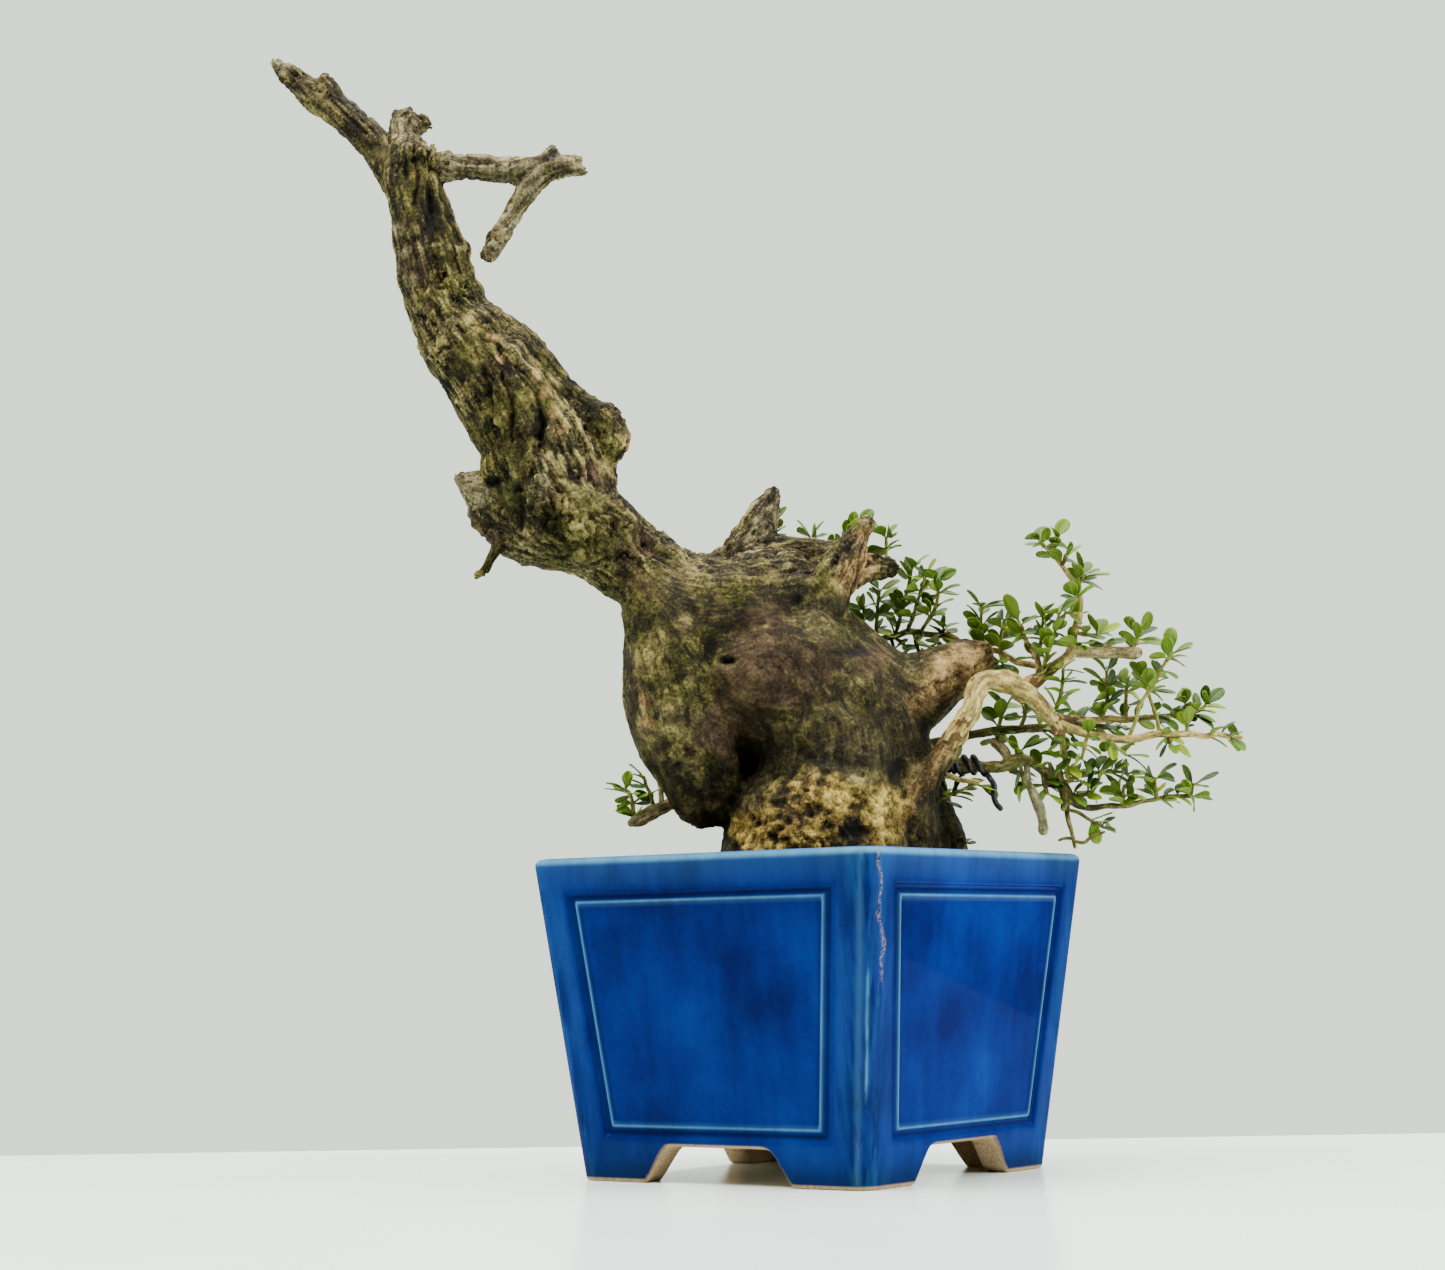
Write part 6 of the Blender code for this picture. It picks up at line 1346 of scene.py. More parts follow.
BLEACHED = (
    (-183, 428, 3.5), (-181, 417, 3.5), (-177, 404, 3.5), (-178, 475, 9), (-160, 457, 8), (-148, 457, 8),
    (-135, 455, 9), (-122, 453, 7), (-108, 457, 7), (-99, 455, 6), (-125, 444, 6), (-133, 431, 7),
    (-140, 418, 7), (-15, 301, 7), (-18, 291, 8), (-152, 308, 8), (-146, 302, 6), (-23, 281, 6),
    (-237, 506, 6), (-156, 313, 5), (-119.5, 309, 6), (79, 229, 5), (24, 277, 5))
SMOOTH = (
    (-141, 277, 8), (-147, 269, 6), (-150, 307, 9), (-25, 226, 27), (0, 220, 25), (30, 210, 22),
    (42, 192, 15), (-38, 198, 14), (-60, 264, 10), (18, 188, 11), (-50, 246, 12))
FLAKY = ((5, 158, 30), (-18, 152, 18), (27, 155, 20), (-38, 172, 11), (-58, 185, 9))
SCALY = ((-103, 287, 15), (-94, 281, 11), (-112, 300, 6), (-137, 340, 9), (-126, 330, 8))

# Holes (across, up, half width, half height, depth) and ridges (line, half width, height) on the front
HOLES = (
    (-141, 310.7, 2.6, 2.4, 4.5), (-129.3, 306.8, 1.8, 1.6, 2.5), (-35.5, 227.3, 3.2, 1.6, 3.5),
    (-4.1, 254.3, 2.6, 2.6, 1.8), (39.4, 176, 3.0, 6.0, 1.8), (22, 231, 5, 3.5, 1.1),
    (-44, 233, 3, 6, 1.6), (-168.5, 437, 2.5, 9, 2.2), (-119, 335, 3, 6, 1.8), (-128, 296, 2, 7, 2.2),
    (-101, 357, 5, 3, 2.0))
RIDGES = (
    (((-92, 315), (-87, 303), (-81, 294), (-70, 283), (-56, 276)), 2.6, 2.4),
    (((-119, 355), (-114, 348), (-110, 337), (-109, 329)), 1.7, 1.8),
    (((-153, 381), (-149, 373), (-146, 364)), 1.6, 1.5),
    (((-71, 215), (-66, 203), (-61, 192), (-55, 180), (-49, 170)), 1.8, 1.5),
    (((-175, 463), (-172, 450), (-171, 438), (-166, 420)), 2.0, 1.3),
    (((-160, 462), (-159, 447), (-157, 432), (-153, 415)), 2.0, 1.5),
    (((-72, 262), (-66, 250), (-64, 236), (-66, 222)), 2.2, 1.4),
    (((15, 238), (6, 244), (2, 250)), 3.0, 2.0), (((-36, 176), (-31, 166), (-34, 156)), 1.4, 1.2),
    (((-120, 296), (-116, 286), (-106, 277), (-96, 275)), 2.4, 1.8))
WHORLS = ((-40, 192, 17), (-89, 328, 9), (-116, 296, 11), (6, 248, 9), (-20, 222, 24), (66, 220, 10))
BUMPS = (
    (-165, 437, 4, 2.2), (-161, 428, 4, 1.6), (-155, 418, 4.5, 2.4), (-151, 408, 4, 1.8),
    (-148, 398, 5, 2.4), (-141, 388, 5, 2.6), (-131, 388, 4.5, 2.6), (-124, 383, 4, 1.6),
    (-112, 369, 5, 1.8), (-100, 360, 4, 1.5), (-84, 345, 5, 1.2), (-78, 331, 4, 1.0), (-84, 312, 3.5, 1.2),
    (-23, 289, 8, -1.6), (-15, 301, 6, -1.4), (24, 280, 6, -0.8), (-36, 277, 7, -4.0), (-30, 288, 6, -2.5),
    (-97, 350, 5, 1.6), (-92, 331, 3, -2.5))
TAN = (
    (42, 159, 5), (48, 168, 6), (54, 176, 6), (60, 184, 6), (58, 216, 11), (70, 222, 10), (80, 228, 8),
    (50, 206, 7), (30, 162, 5), (25, 270, 9), (18, 262, 7), (28, 282, 6), (-80, 327, 4), (-72, 200, 5),
    (-74, 210, 4), (-121, 358, 3), (-117, 350, 3.5), (-113, 341, 3), (-110, 333, 2.5), (-141, 376, 3),
    (-137, 367, 3), (-157, 430, 3.5), (-151, 415, 3.5), (-148, 403, 3.5))
SHARDS = (
    (-178.5, 460, 7, 3.2, -177.6, 466.2, 8, 2.5), (-172.5, 460, 8, 3.2, -172.2, 465.8, 9, 2.5),
    (-168, 458, 6, 3.0, -167.6, 466.4, 7, 1.9), (-171, 480, -3, 2.6, -168.6, 475.2, -3, 1.0),
    (-184, 478, -3, 3.0, -184.5, 484.5, -3, 0.8), (-178, 480, -3, 3.0, -177.5, 486, -3, 1.0),
    (-122, 297, 24, 6.5, -119, 312, 38, 2.3), (36, 266, -6, 3.0, 42, 268.5, -6, 1.2),
    (74, 230, 3, 3.6, 81, 233, 3, 1.6), (77, 222, -2, 3.4, 84, 224, -2, 1.4))
SPLITS = (
    (((-153, 463), (-151.5, 449)), 0.7, 1.0), (((-146, 462), (-147, 449)), 0.6, 0.9),
    (((-138, 462), (-137, 448)), 0.7, 1.0), (((-131, 462), (-132, 447)), 0.6, 0.8),
    (((-175.5, 468), (-174.5, 450), (-176, 440)), 0.9, 2.0),
    (((-169.5, 467), (-169, 452), (-166, 436)), 0.9, 2.0), (((-180, 467), (-180, 450)), 0.8, 1.4),
    (((-165, 460), (-163, 440), (-157, 420)), 0.9, 1.6),
    (((-233, 503), (-213, 489), (-192, 467)), 0.7, 1.0),
    (((-226, 501), (-208, 488), (-190, 470)), 0.6, 0.8), (((18, 250), (24, 268), (28, 284)), 0.7, 0.8),
    (((-24, 276), (-19, 290), (-15, 302)), 0.6, 0.7), (((48, 212), (66, 219), (80, 226)), 0.6, 0.7),
    (((-136, 360), (-131, 344), (-134, 330)), 1.2, 2.2),
    (((-121, 350), (-117, 338), (-120, 326)), 1.1, 2.2),
    (((-148, 372), (-143, 358), (-141, 344)), 0.9, 1.4))

# The trunk's skin: how fine it is in millimetres, the rounds of softening, and the sides of its limbs and of
# its splinters
TRUNK_VOXEL = 1.39
TRUNK_SOFTENED = 5
LIMB_SIDES, SHARD_SIDES = 20, 10

# Where a branch is stouter: (across, up, reach, gain); and the snags of old side shoots on it
SWELLINGS = {
    "right_branch": (
        (76, 211.5, 4, 0.10), (87.7, 216, 2.2, 0.13), (97, 212, 3, 0.14), (105.5, 202.5, 5.5, 0.32)),
    "rising_branch": ((99, 214, 3, 0.12), (118.5, 228.5, 2.5, 0.2)),
    "low_branch": ((66, 179, 9, 0.30), (86, 178, 6, 0.16), (110, 170, 7, 0.42)),
    "hanging_twig": ((101, 162, 8, 0.42), (103.4, 150, 2.5, 0.30)),
    "dead_stub": ((147, 227.5, 2.5, 0.18),),
}
SNAGS = {
    "right_branch": (
        ((109, 199.5, 12, 2.4), (110.8, 194.6, 13, 2.8), (112.0, 189.8, 14, 2.5)),
        ((76.5, 213, 17, 2.2), (74.6, 215.4, 18, 1.9), (73.8, 216.8, 18.5, 1.2))),
    "low_branch": (
        ((110.3, 171, 9, 2.0), (108.2, 174.4, 10, 1.6), (107.2, 178.2, 11, 0.9)),
        ((111.5, 169, 9, 2.1), (111.6, 173.6, 11, 1.5), (110.6, 177.2, 12, 0.8)),
        ((112.4, 167.5, 9, 2.2), (113.4, 162.6, 11, 2.0), (112.6, 158.6, 12, 1.3)),
        ((86, 178.5, 10, 2.2), (90, 181, 12, 1.8), (95, 181.8, 13, 1.5), (99, 180.4, 12.5, 1.6))),
}


def seen_from_front(places):
    """Across, up and toward, in millimetres, of places in metres."""
    x, y, z = ((places - np.array(AXIS)) / MM).T
    toward = math.sin(FRONT_AZIMUTH) * x - math.cos(FRONT_AZIMUTH) * y
    share = (EYE_DISTANCE - toward) / EYE_DISTANCE
    across = (math.cos(FRONT_AZIMUTH) * x + math.sin(FRONT_AZIMUTH) * y) / share
    return across, EYE_HEIGHT + (z - EYE_HEIGHT) / share, toward


def covered(across, up, spots):
    """How much the given spots cover each place, from 0 to 1."""
    bare = np.ones(len(across))
    for middle, height, radius in spots:
        bare *= 1 - np.exp(-((across - middle) ** 2 + (up - height) ** 2) / radius ** 2)
    return 1 - bare


def from_line(across, up, line):
    """How far each place is seen from a line, in millimetres."""
    best = np.full(len(across), 1e9)
    for (a0, u0), (a1, u1) in zip(line[:-1], line[1:]):
        da, du = a1 - a0, u1 - u0
        share = np.clip(((across - a0) * da + (up - u0) * du) / (da * da + du * du), 0, 1)
        best = np.minimum(best, np.hypot(across - a0 - da * share, up - u0 - du * share))
    return best


def wood_leads(places, normals, routes):
    """The direction in which the wood runs at each place, lying in the surface."""
    far = np.full((len(routes), len(places)), 1e9)
    lines = np.zeros((len(routes), len(places), 3))
    for number, route in enumerate(routes):
        for (start, r0), (end, r1) in zip(route[:-1], route[1:]):
            line = np.array(end - start)
            away = places - np.array(start)
            share = np.clip(away @ line / line.dot(line), 0, 1)
            gap = np.linalg.norm(away - share[:, None] * line, axis=1) - r0 - (r1 - r0) * share
            nearer = gap < far[number]
            far[number][nearer] = gap[nearer]
            lines[number][nearer] = line / np.linalg.norm(line)
    nearest = far.argmin(axis=0)
    main = lines[nearest, np.arange(len(places))]
    lead = np.zeros_like(places)
    blend = 5 * MM
    for number in range(len(routes)):
        weight = np.exp(-(far[number] - far.min(axis=0)) / blend)
        weight = weight * np.sign((lines[number] * main).sum(axis=1))
        lead += lines[number] * weight[:, None]
    across, up = seen_from_front(places)[:2]
    for middle, height, radius in WHORLS:
        near = np.exp(-((across - middle) ** 2 + (up - height) ** 2) / radius ** 2) * 2.5
        right = np.array((math.cos(FRONT_AZIMUTH), math.sin(FRONT_AZIMUTH), 0))
        offset = right * (across - middle)[:, None] + np.array((0, 0, 1)) * (up - height)[:, None]
        turn = np.cross(offset, np.array(SIGHT))
        turn /= np.linalg.norm(turn, axis=1, keepdims=True) + 1e-9
        lead += turn * (near * np.sign((turn * lead).sum(axis=1)))[:, None]
    lead -= normals * (lead * normals).sum(axis=1)[:, None]
    return lead / (np.linalg.norm(lead, axis=1, keepdims=True) + 1e-9)


def streak_lines(streaks, width):
    """Thin lines from 0 to 1 where streaks of noise pass through their middle."""
    return bell(streaks, streaks.std() * width)


def mesh_arrays(mesh):
    places = np.empty(len(mesh.vertices) * 3)
    normals = np.empty(len(mesh.vertices) * 3)
    mesh.vertices.foreach_get("co", places)
    mesh.vertex_normals.foreach_get("vector", normals)
    return places.reshape(-1, 3), normals.reshape(-1, 3)


def trunk_skin(routes):
    """The trunk's limbs and splinters, run together into one closed skin."""
    body = Shape()
    for route in routes:
        body.add(*round_limb(route, LIMB_SIDES)[:3])
    for row in SHARDS:
        (foot, wide), (tip, narrow) = ((seen_at(*row[k:k + 3]) + AXIS, row[k + 3] * MM) for k in (0, 4))
        route = [(foot.lerp(tip, share), wide + (narrow - wide) * share) for share in (0, 0.5, 1)]
        body.add(*round_limb(route, SHARD_SIDES)[:3])
    return one_skin(body.piece("trunk_guide", "grain"), TRUNK_VOXEL, TRUNK_SOFTENED)


def build_trunk(bark):
    """The trunk: one skin over its limbs, whose bark is then raised, cracked and pitted."""
    routes = [[(place + AXIS, radius) for place, radius in limb_route(points, 4)]
              for points in TRUNK_LIMBS.values()]
    mesh = trunk_skin(routes)
    places, normals = mesh_arrays(mesh)
    lead = wood_leads(places, normals, routes)
    across, up = seen_from_front(places)[:2]
    front = eased(normals @ np.array(SIGHT), 0.0, 0.35)
    coarse, middle, fine = Grain(3), Grain(5), Grain(7)
    warp = places + np.column_stack([Grain(seed)(places, 9) for seed in (21, 22, 23)]) * 2.5 * MM

    def patch(spots, ragged, low, high):
        """Where the given spots lie, with a ragged edge."""
        return eased(covered(across, up, spots) + ragged * patchy, low, high)

    # What kind of bark each place has
    smooth, flaky, scaly, bleached = (covered(across, up, spots)
                                      for spots in (SMOOTH, FLAKY, SCALY, BLEACHED))
    slim = eased(up, 405, 430) * 0.35 + covered(across, up, ((-215, 488, 30), (-120, 452, 40))) * 0.35
    body_side = eased(across, -94, -76) * (1 - eased(up, 252, 276))
    rough = np.clip(1 - 0.7 * smooth - 0.75 * slim - 0.7 * body_side - 0.5 * flaky, 0.03, 1)
    fibrous = np.clip(1 - 0.62 * body_side - 0.6 * scaly + 0.5 * bleached, 0, 1) * (1 - flaky)
    mossy = covered(across, up, MOSSY)
    cushions = eased(coarse(warp, 16) + 0.5 * middle(warp, 7) + 0.8 * mossy, 0.35, 0.9) * (1 - bleached)
    rough *= 1 - 0.55 * cushions
    fibrous *= 1 - 0.6 * cushions

    # Its furrows, threads, scales and layers of flakes
    lumps = coarse(warp, 24) * 1.5 + middle(warp, 11) * (0.55 + 0.6 * rough)
    wide_furrow = streak_lines(middle.along(warp, lead, 6.8, 30, 14), 0.30)
    furrow = streak_lines(coarse.along(warp, lead, 4.0, 20, 16), 0.34)
    cracks = streak_lines(coarse.along(warp, lead, 7, 24, 10), 0.12) * eased(middle(warp, 14), -0.1, 0.3)
    threads = fine.along(warp, lead, 2.8, 12, 14)
    threads /= 2 * threads.std()
    tufts = fine(warp, 3.0)
    wrinkles = streak_lines(fine.along(warp, lead, 2.6, 7, 8), 0.4) * eased(middle(warp, 12), -0.25, 0.25)
    wrinkles *= body_side * (1 - flaky)
    plates, chance = bark_plates(warp, 5.4, 11)
    seams = 1 - eased(plates, 0.02, 0.22)
    crust = (middle(places * (1, 1, 1.8), 13) + 0.45 * coarse(places * (1, 1, 1.7), 6) + 0.22 * tufts) * 1.3
    layer = np.floor(crust) + eased(crust - np.floor(crust), 0.62, 0.95)
    ledge = bell(crust - np.floor(crust) - 0.62, 0.08)

    # How far the bark rises, in millimetres
    rise = lumps * (1 - 0.55 * bleached) * (1 - 0.5 * slim)
    rise -= rough * (2.0 * wide_furrow + 0.8 * furrow + 1.4 * cracks - 0.9)
    rise += threads * (0.05 + 0.50 * rough) + tufts * (0.06 + 0.05 * rough)
    rise -= 0.5 * wrinkles
    rise += scaly * (0.9 - 1.5 * seams + 0.9 * (chance - 0.5))
    rise += flaky * (0.95 * layer - 0.3 + 0.95 * tufts + 0.45 * fine(places * (1, 1, 1.4), 2.4)
                     + 0.5 * coarse(places, 6))
    for middle_across, height, radius, raised in BUMPS:
        away = np.hypot(across - middle_across, up - height) + coarse(places, 5) * 0.8
        rise += raised * bell(away, radius)
    for line, half_width, height in RIDGES:
        away = from_line(across + coarse(places, 8) * 1.5, up, line)
        rise += front * height * bell(away, half_width)
    split = np.zeros(len(places))
    for line, half_width, depth in SPLITS:
        away = from_line(across + coarse(places, 5) * 0.9, up + middle(places, 5) * 0.9, line)
        split = np.maximum(split, bell(away, half_width))
        rise -= depth * bell(away, half_width)
    sunk = np.zeros(len(places))
    for middle_across, height, half_width, half_height, depth in HOLES:
        away = ((across - middle_across) / half_width) ** 2 + ((up - height) / half_height) ** 2
        sunk = np.maximum(sunk, front * np.exp(-away ** 1.5) * depth)
    rise -= sunk
    for middle_across, height, radius in WHORLS[:3]:
        away = np.hypot(across - middle_across, up - height) + coarse(places, 7) * 1.6
        rise += front * 0.35 * np.cos(away * 1.7) * bell(away, radius)
    under_soil = 1 - eased(places[:, 2], (SOIL_EDGE - 8) * MM, (SOIL_EDGE + 2) * MM)
    rise *= 1 - 0.7 * under_soil

    # What the finish reads: height, grooves and colours
    relief = 0.40 + 0.09 * lumps + (0.07 + 0.15 * rough) * threads + 0.05 * tufts
    relief = relief + scaly * (0.30 + 0.25 * (chance - 0.5))
    relief += flaky * (0.16 * layer - 0.05)
    relief = np.clip(relief - 0.25 * sunk, 0, 1)
    grooved = rough * (0.75 * wide_furrow + 0.5 * furrow + 0.8 * cracks) + scaly * seams * 0.8
    grooved = grooved + flaky * (ledge * 0.35 + 0.5 * eased(-tufts, 0.25, 0.6)) + 0.5 * wrinkles + split
    grooved = np.clip(grooved - 0.12, 0, 1) * (1 - 0.5 * bleached)
    patchy = coarse(warp, 13) * 0.6 + middle(warp, 5) * 0.35 + fine(warp, 2.2) * 0.2
    upward = normals[:, 2]
    moss = eased(mossy + 0.25 * patchy + 0.12 * upward - 0.1 * smooth, 0.3, 0.85)
    moss = moss + 0.35 * eased(patchy, 0.1, 0.6) + 0.5 * cushions * (1 - body_side)
    moss = np.clip(moss, 0, 1) * (1 - bleached) * eased(across, -190, -178)
    ochre = patch(OCHRE, 0.5, 0.28, 0.64) * eased(relief, 0.14, 0.34)
    worn = patch(WORN, 0.35, 0.3, 0.9)
    light = patch(LIGHT, 0.5, 0.45, 0.95)
    # Darker bark and painted shade, kept as the fourth cover mark
    shade = patch(DARK_BARK_AND_SHADE, 0.3, 0.3, 0.9)
    grey = patch(BLEACHED, 0.3, 0.35, 0.8)
    tan = patch(TAN, 0.35, 0.35, 0.8)
    moss *= 1 - 0.6 * tan
    keep_marks(mesh, "cover", np.column_stack((moss * (1 - grey), ochre, worn * (1 - ochre), shade)))
    keep_marks(mesh, "wood", np.column_stack((relief, grey, light, under_soil)))
    keep_marks(mesh, "skin", np.column_stack((fibrous, tan, grooved, np.zeros(len(places)))))
    leads = mesh.attributes.new("lead", "FLOAT_VECTOR", "POINT")
    leads.data.foreach_set("vector", lead.astype(np.float32).ravel())
    rough_piece("bark_trunk", mesh, places + normals * rise[:, None] * MM, bark, "trunk")


# Leaf blades, in millimetres and shares of the blade
BLADE_THICKNESS = 0.34
STALK_THICKNESS = 0.6
STALK_END = 0.11
BLADE_SPREAD = 1.16
BLADE_ROWS = (0.0, 0.05, 0.11, 0.18, 0.27, 0.38, 0.5, 0.62, 0.73, 0.83, 0.91, 0.965, 1.0)
BLADE_COLUMNS = 8


def blade_outline(share):
    """Half the blade's width, as a share of its widest, from stalk to tip."""
    stalk = 0.10
    if share <= STALK_END:
        return stalk
    grown = (share - STALK_END) / (1 - STALK_END)
    return max(math.sin(math.pi * min(grown, 1.0) ** 1.22) ** (0.80 - 0.34 * grown), stalk * (1 - grown))


def add_blade(shape, leaf, draw, finish):
    """One leaf: a thin closed blade on a short stalk, folded along its midrib and bent along its length."""
    bow, fold, roll = draw.uniform(0.01, 0.085), draw.uniform(0.08, 0.34), draw.uniform(0.05, 0.22)
    wave, chance = draw.uniform(-0.05, 0.05), draw.uniform(0, 1)
    last_row, last_column = len(BLADE_ROWS) - 1, BLADE_COLUMNS
    top, bottom, marks = {}, {}, []
    points = []
    for row, share in enumerate(BLADE_ROWS):
        half = leaf.width * BLADE_SPREAD / 2 * blade_outline(share)
        middle = leaf.root + leaf.along * (leaf.length * share)
        middle = middle + leaf.out * (leaf.length * bow * 4 * share * (1 - share))
        for column in range(last_column + 1):
            across = 2 * column / last_column - 1
            rise = half * (fold * abs(across) - roll * across ** 4)
            rise = rise + leaf.width * wave * across * math.sin(5 * share)
            groove = 0.09 * MM * math.exp(-(across / 0.16) ** 2)
            top[row, column] = len(points)
            points.append(middle + leaf.side * (half * across) + leaf.out * (rise - groove))
            marks.append((share, across / 2 + 0.5, chance, 0.0))
    for row, share in enumerate(BLADE_ROWS):
        thick = STALK_THICKNESS if share < STALK_END else BLADE_THICKNESS
        for column in range(last_column + 1):
            if row in (0, last_row) or column in (0, last_column):
                bottom[row, column] = top[row, column]
                continue
            across = 2 * column / last_column - 1
            rib = 0.16 * math.exp(-(across / 0.2) ** 2) * (1 - share)
            drop = (thick * math.sqrt(1 - across ** 2) + rib) * MM
            bottom[row, column] = len(points)
            points.append(points[top[row, column]] - leaf.out * drop)
            marks.append((share, across / 2 + 0.5, chance, 1.0))
    faces = []
    for row in range(last_row):
        for column in range(last_column):
            for table, order in ((top, 1), (bottom, -1)):
                corners = (table[row, column], table[row + 1, column], table[row + 1, column + 1],
                           table[row, column + 1])
                if len(set(corners)) == 4:
                    faces.append(corners[::-order])
    shape.add(points, faces, marks, finish)


def fine_route(rows):
    """A smooth, closely spaced route through a run's points."""
    rows = [row for number, row in enumerate(rows) if number == 0 or row[:3] != rows[number - 1][:3]]
    kept = [rows[0]]
    for row in rows[1:]:
        if (seen_at(*row[:3]) - seen_at(*kept[-1][:3])).length > TWIG_STEP * MM:
            kept.append(row)
    route = [(seen_at(*row[:3]), row[3] * MM) for row in smooth_route(kept, 5)]
    onward = (route[-1][0] - route[-2][0]).normalized() * (TWIG_OVERRUN * 0.5 * MM)
    route.append((route[-1][0] + onward, route[-1][1] * 0.9))
    return route


def add_limb(shape, rows, stout, grain, nodes=()):
    """A run of a branch, its bark swollen, ridged and knotted."""
    route = fine_route(rows)
    points, faces, marks, radii, out = round_limb(route, 20 if stout > 2.5 else 14 if stout > 1.2 else 10)
    lengthways = marks * np.array((1, 1, 0.28)) * MM
    swell = 0.10 * grain(marks * MM, 7) + 0.10 * grain(lengthways, 2.2) + 0.05 * grain(marks * MM, 1.3)
    swell += 0.04 * min(stout, 4) * grain(marks * MM, 4.2)
    knots = np.zeros(len(points))
    for place in nodes:
        away = np.linalg.norm(points - np.array(place), axis=1)
        knots += 0.26 * bell(away, 1.5 * MM)
    raised = points + out * (radii * (swell + np.minimum(knots, 0.3)))[:, None]
    shape.add(raised, faces, marks)


def swollen(name, rows):
    """A run's points, stouter where its branch is knotted."""
    knots = SWELLINGS.get(name, ())
    stouter = []
    for row in rows:
        gains = (gain * math.exp(-(math.hypot(row[0] - across, row[1] - up) / reach) ** 2)
                 for across, up, reach, gain in knots)
        stouter.append((*row[:3], row[3] * (1 + sum(gains))))
    return stouter


def build_growth(name, runs, leaves, finishes, draw):
    """A branch or shoot with its leaves, in one piece."""
    shape = Shape()
    grain = Grain(sum(ord(letter) for letter in name))
    for rows, blades in runs:
        nodes = [seen_at(*rows[point + 1][:3]) for point, across, up, openness in blades]
        add_limb(shape, swollen(name, rows), max(row[3] for row in rows), grain, nodes)
    for rows in SNAGS.get(name, ()):
        add_limb(shape, rows, 2.0, grain)
    bark_points = len(shape.points)
    for leaf in leaves:
        add_blade(shape, leaf, draw, 1)
    shape.points = [Vector(point) + AXIS for point in shape.points]
    wood = [(*mark[:3], 1.0) for mark in shape.marks[:bark_points]]
    blade = [(0, 0, 0, 0)] * bark_points + shape.marks[bark_points:]
    shape.marks = wood + [(0, 0, 0, 0)] * (len(shape.points) - bark_points)
    obj = shape.piece("live_" + name if leaves else "wood_" + name, "grain", *finishes)
    keep_marks(obj.data, "blade", blade)
    declare(obj, name)
    return obj


def build_training_wire(metal):
    """Wire wound round the low branch, then hanging free at its outer end."""
    rows = [row for row in smooth_route(BRANCHES["low_branch"][0], 8) if 50 <= row[0] <= 90]
    along = [row[0] for row in rows]
    radius = WIRE / 2
    winds = [wind for place, wind in WIRE_WINDS]
    places = [place for place, wind in WIRE_WINDS]
    points = []
    for turn in np.linspace(winds[0], winds[-1], int((winds[-1] - winds[0]) * 10) + 1):
        across = float(np.interp(turn, winds, places))
        up, toward, core = (float(np.interp(across, along, [row[k] for row in rows])) for k in (1, 2, 3))
        reach = core * 1.12 + radius * 0.62
        angle = 2 * math.pi * turn
        points.append((across - 1.2 * math.cos(angle), up + reach * math.cos(angle),
                       toward + reach * math.sin(angle), radius))
    points += [(*place, radius) for place in WIRE_TAIL]
    shape = Shape()
    route = [(seen_at(*row[:3]) + AXIS, row[3] * MM) for row in smooth_route(points, 3)]
    shape.add(*round_limb(route, 12)[:3])
    declare(shape.piece("wound_wire", "grain", metal), "training_wire")


def build_seedling(stem, leaf_finish, draw):
    """A small weed rooted at the soil's edge."""
    top = seen_at(69, 144, 0)
    leaves = [Leaf(top, seen_at(across, up, 0), 0.6, sign, 0.0, 0.5)
              for across, up, sign in ((73, 143.6, 1), (66.3, 145.8, -1), (71.5, 146, -1))]
    build_growth("seedling", [(list(SEEDLING), ())], leaves, (stem, leaf_finish), draw)


# Columns of one side of the pot: offsets in from the side's end, then shares of the panel's field
EDGE_COLUMNS = (
    9.0, 10.5, 12.5, 14.5, 16.2, 17.4, 18.1, 18.6, 19.0, 19.4, 19.9, 20.6, 21.5, 22.2, 22.7, 23.1, 23.5,
    23.9, 24.3, 24.8, 25.5, 26.6, 28.4)
FIELD_COLUMNS = (
    0, 0.08, 0.16, 0.24, 0.32, 0.40, 0.46, 0.50, 0.54, 0.58, 0.62, 0.66, 0.70, 0.74, 0.78, 0.82, 0.86,
    0.93)
CORNER_STEPS = 16
PANEL_ROWS = (0, 0.3, 0.7, 1.2, 2.0, 2.8, 3.2, 3.6, 4.0, 4.4, 4.8, 5.3, 6.2, 8.0, 11.0)
FIELD_ROWS = 18
FOOT_ROWS = (0.0, 0.05, 0.14, 0.3, 0.5, 0.72, 0.9)
LIP = 3.3
LIP_STEPS = ((0.3, 0.75), (0.6, 0.95), (0.9, 0.75), (1.2, 0.5), (1.5, 0.42))
SOLE = 1.1
POCKET_HALF = POT_BOTTOM / 2 - FOOT_WALL
POCKET_CORNER = 4.0
CEILING = FOOT_HEIGHT + 0.4
INNER_CORNER = POT_CORNER - 3
FLOOR_CORNER = POT_CORNER - 2


def outer_half(height):
    """Half the pot's outside width at a height."""
    return (POT_BOTTOM + (POT_TOP - POT_BOTTOM) * height / POT_HEIGHT) / 2


def side_columns():
    """For the columns of one side and its corner: how each one's place grows with the width, and its turn."""
    inner = EDGE_COLUMNS[-1]
    edge = [(-1.0, offset) for offset in EDGE_COLUMNS]
    field = [(-share, share * inner) for share in FIELD_COLUMNS[:0:-1]]
    half_side = edge + field
    flat = half_side + [(0.0, 0.0)] + [(-slope, -base) for slope, base in half_side[::-1]]
    rows = [(slope, base, 0.0) for slope, base in flat]
    rows += [(1.0, -POT_CORNER, math.pi / 2 * step / CORNER_STEPS) for step in range(1, CORNER_STEPS)]
    return np.array(rows * 4).T


COLUMN_SLOPE, COLUMN_BASE, COLUMN_TURN = side_columns()
COLUMNS_A_SIDE = len(COLUMN_SLOPE) // 4
SIDE_OF_COLUMN = np.arange(len(COLUMN_SLOPE)) // COLUMNS_A_SIDE


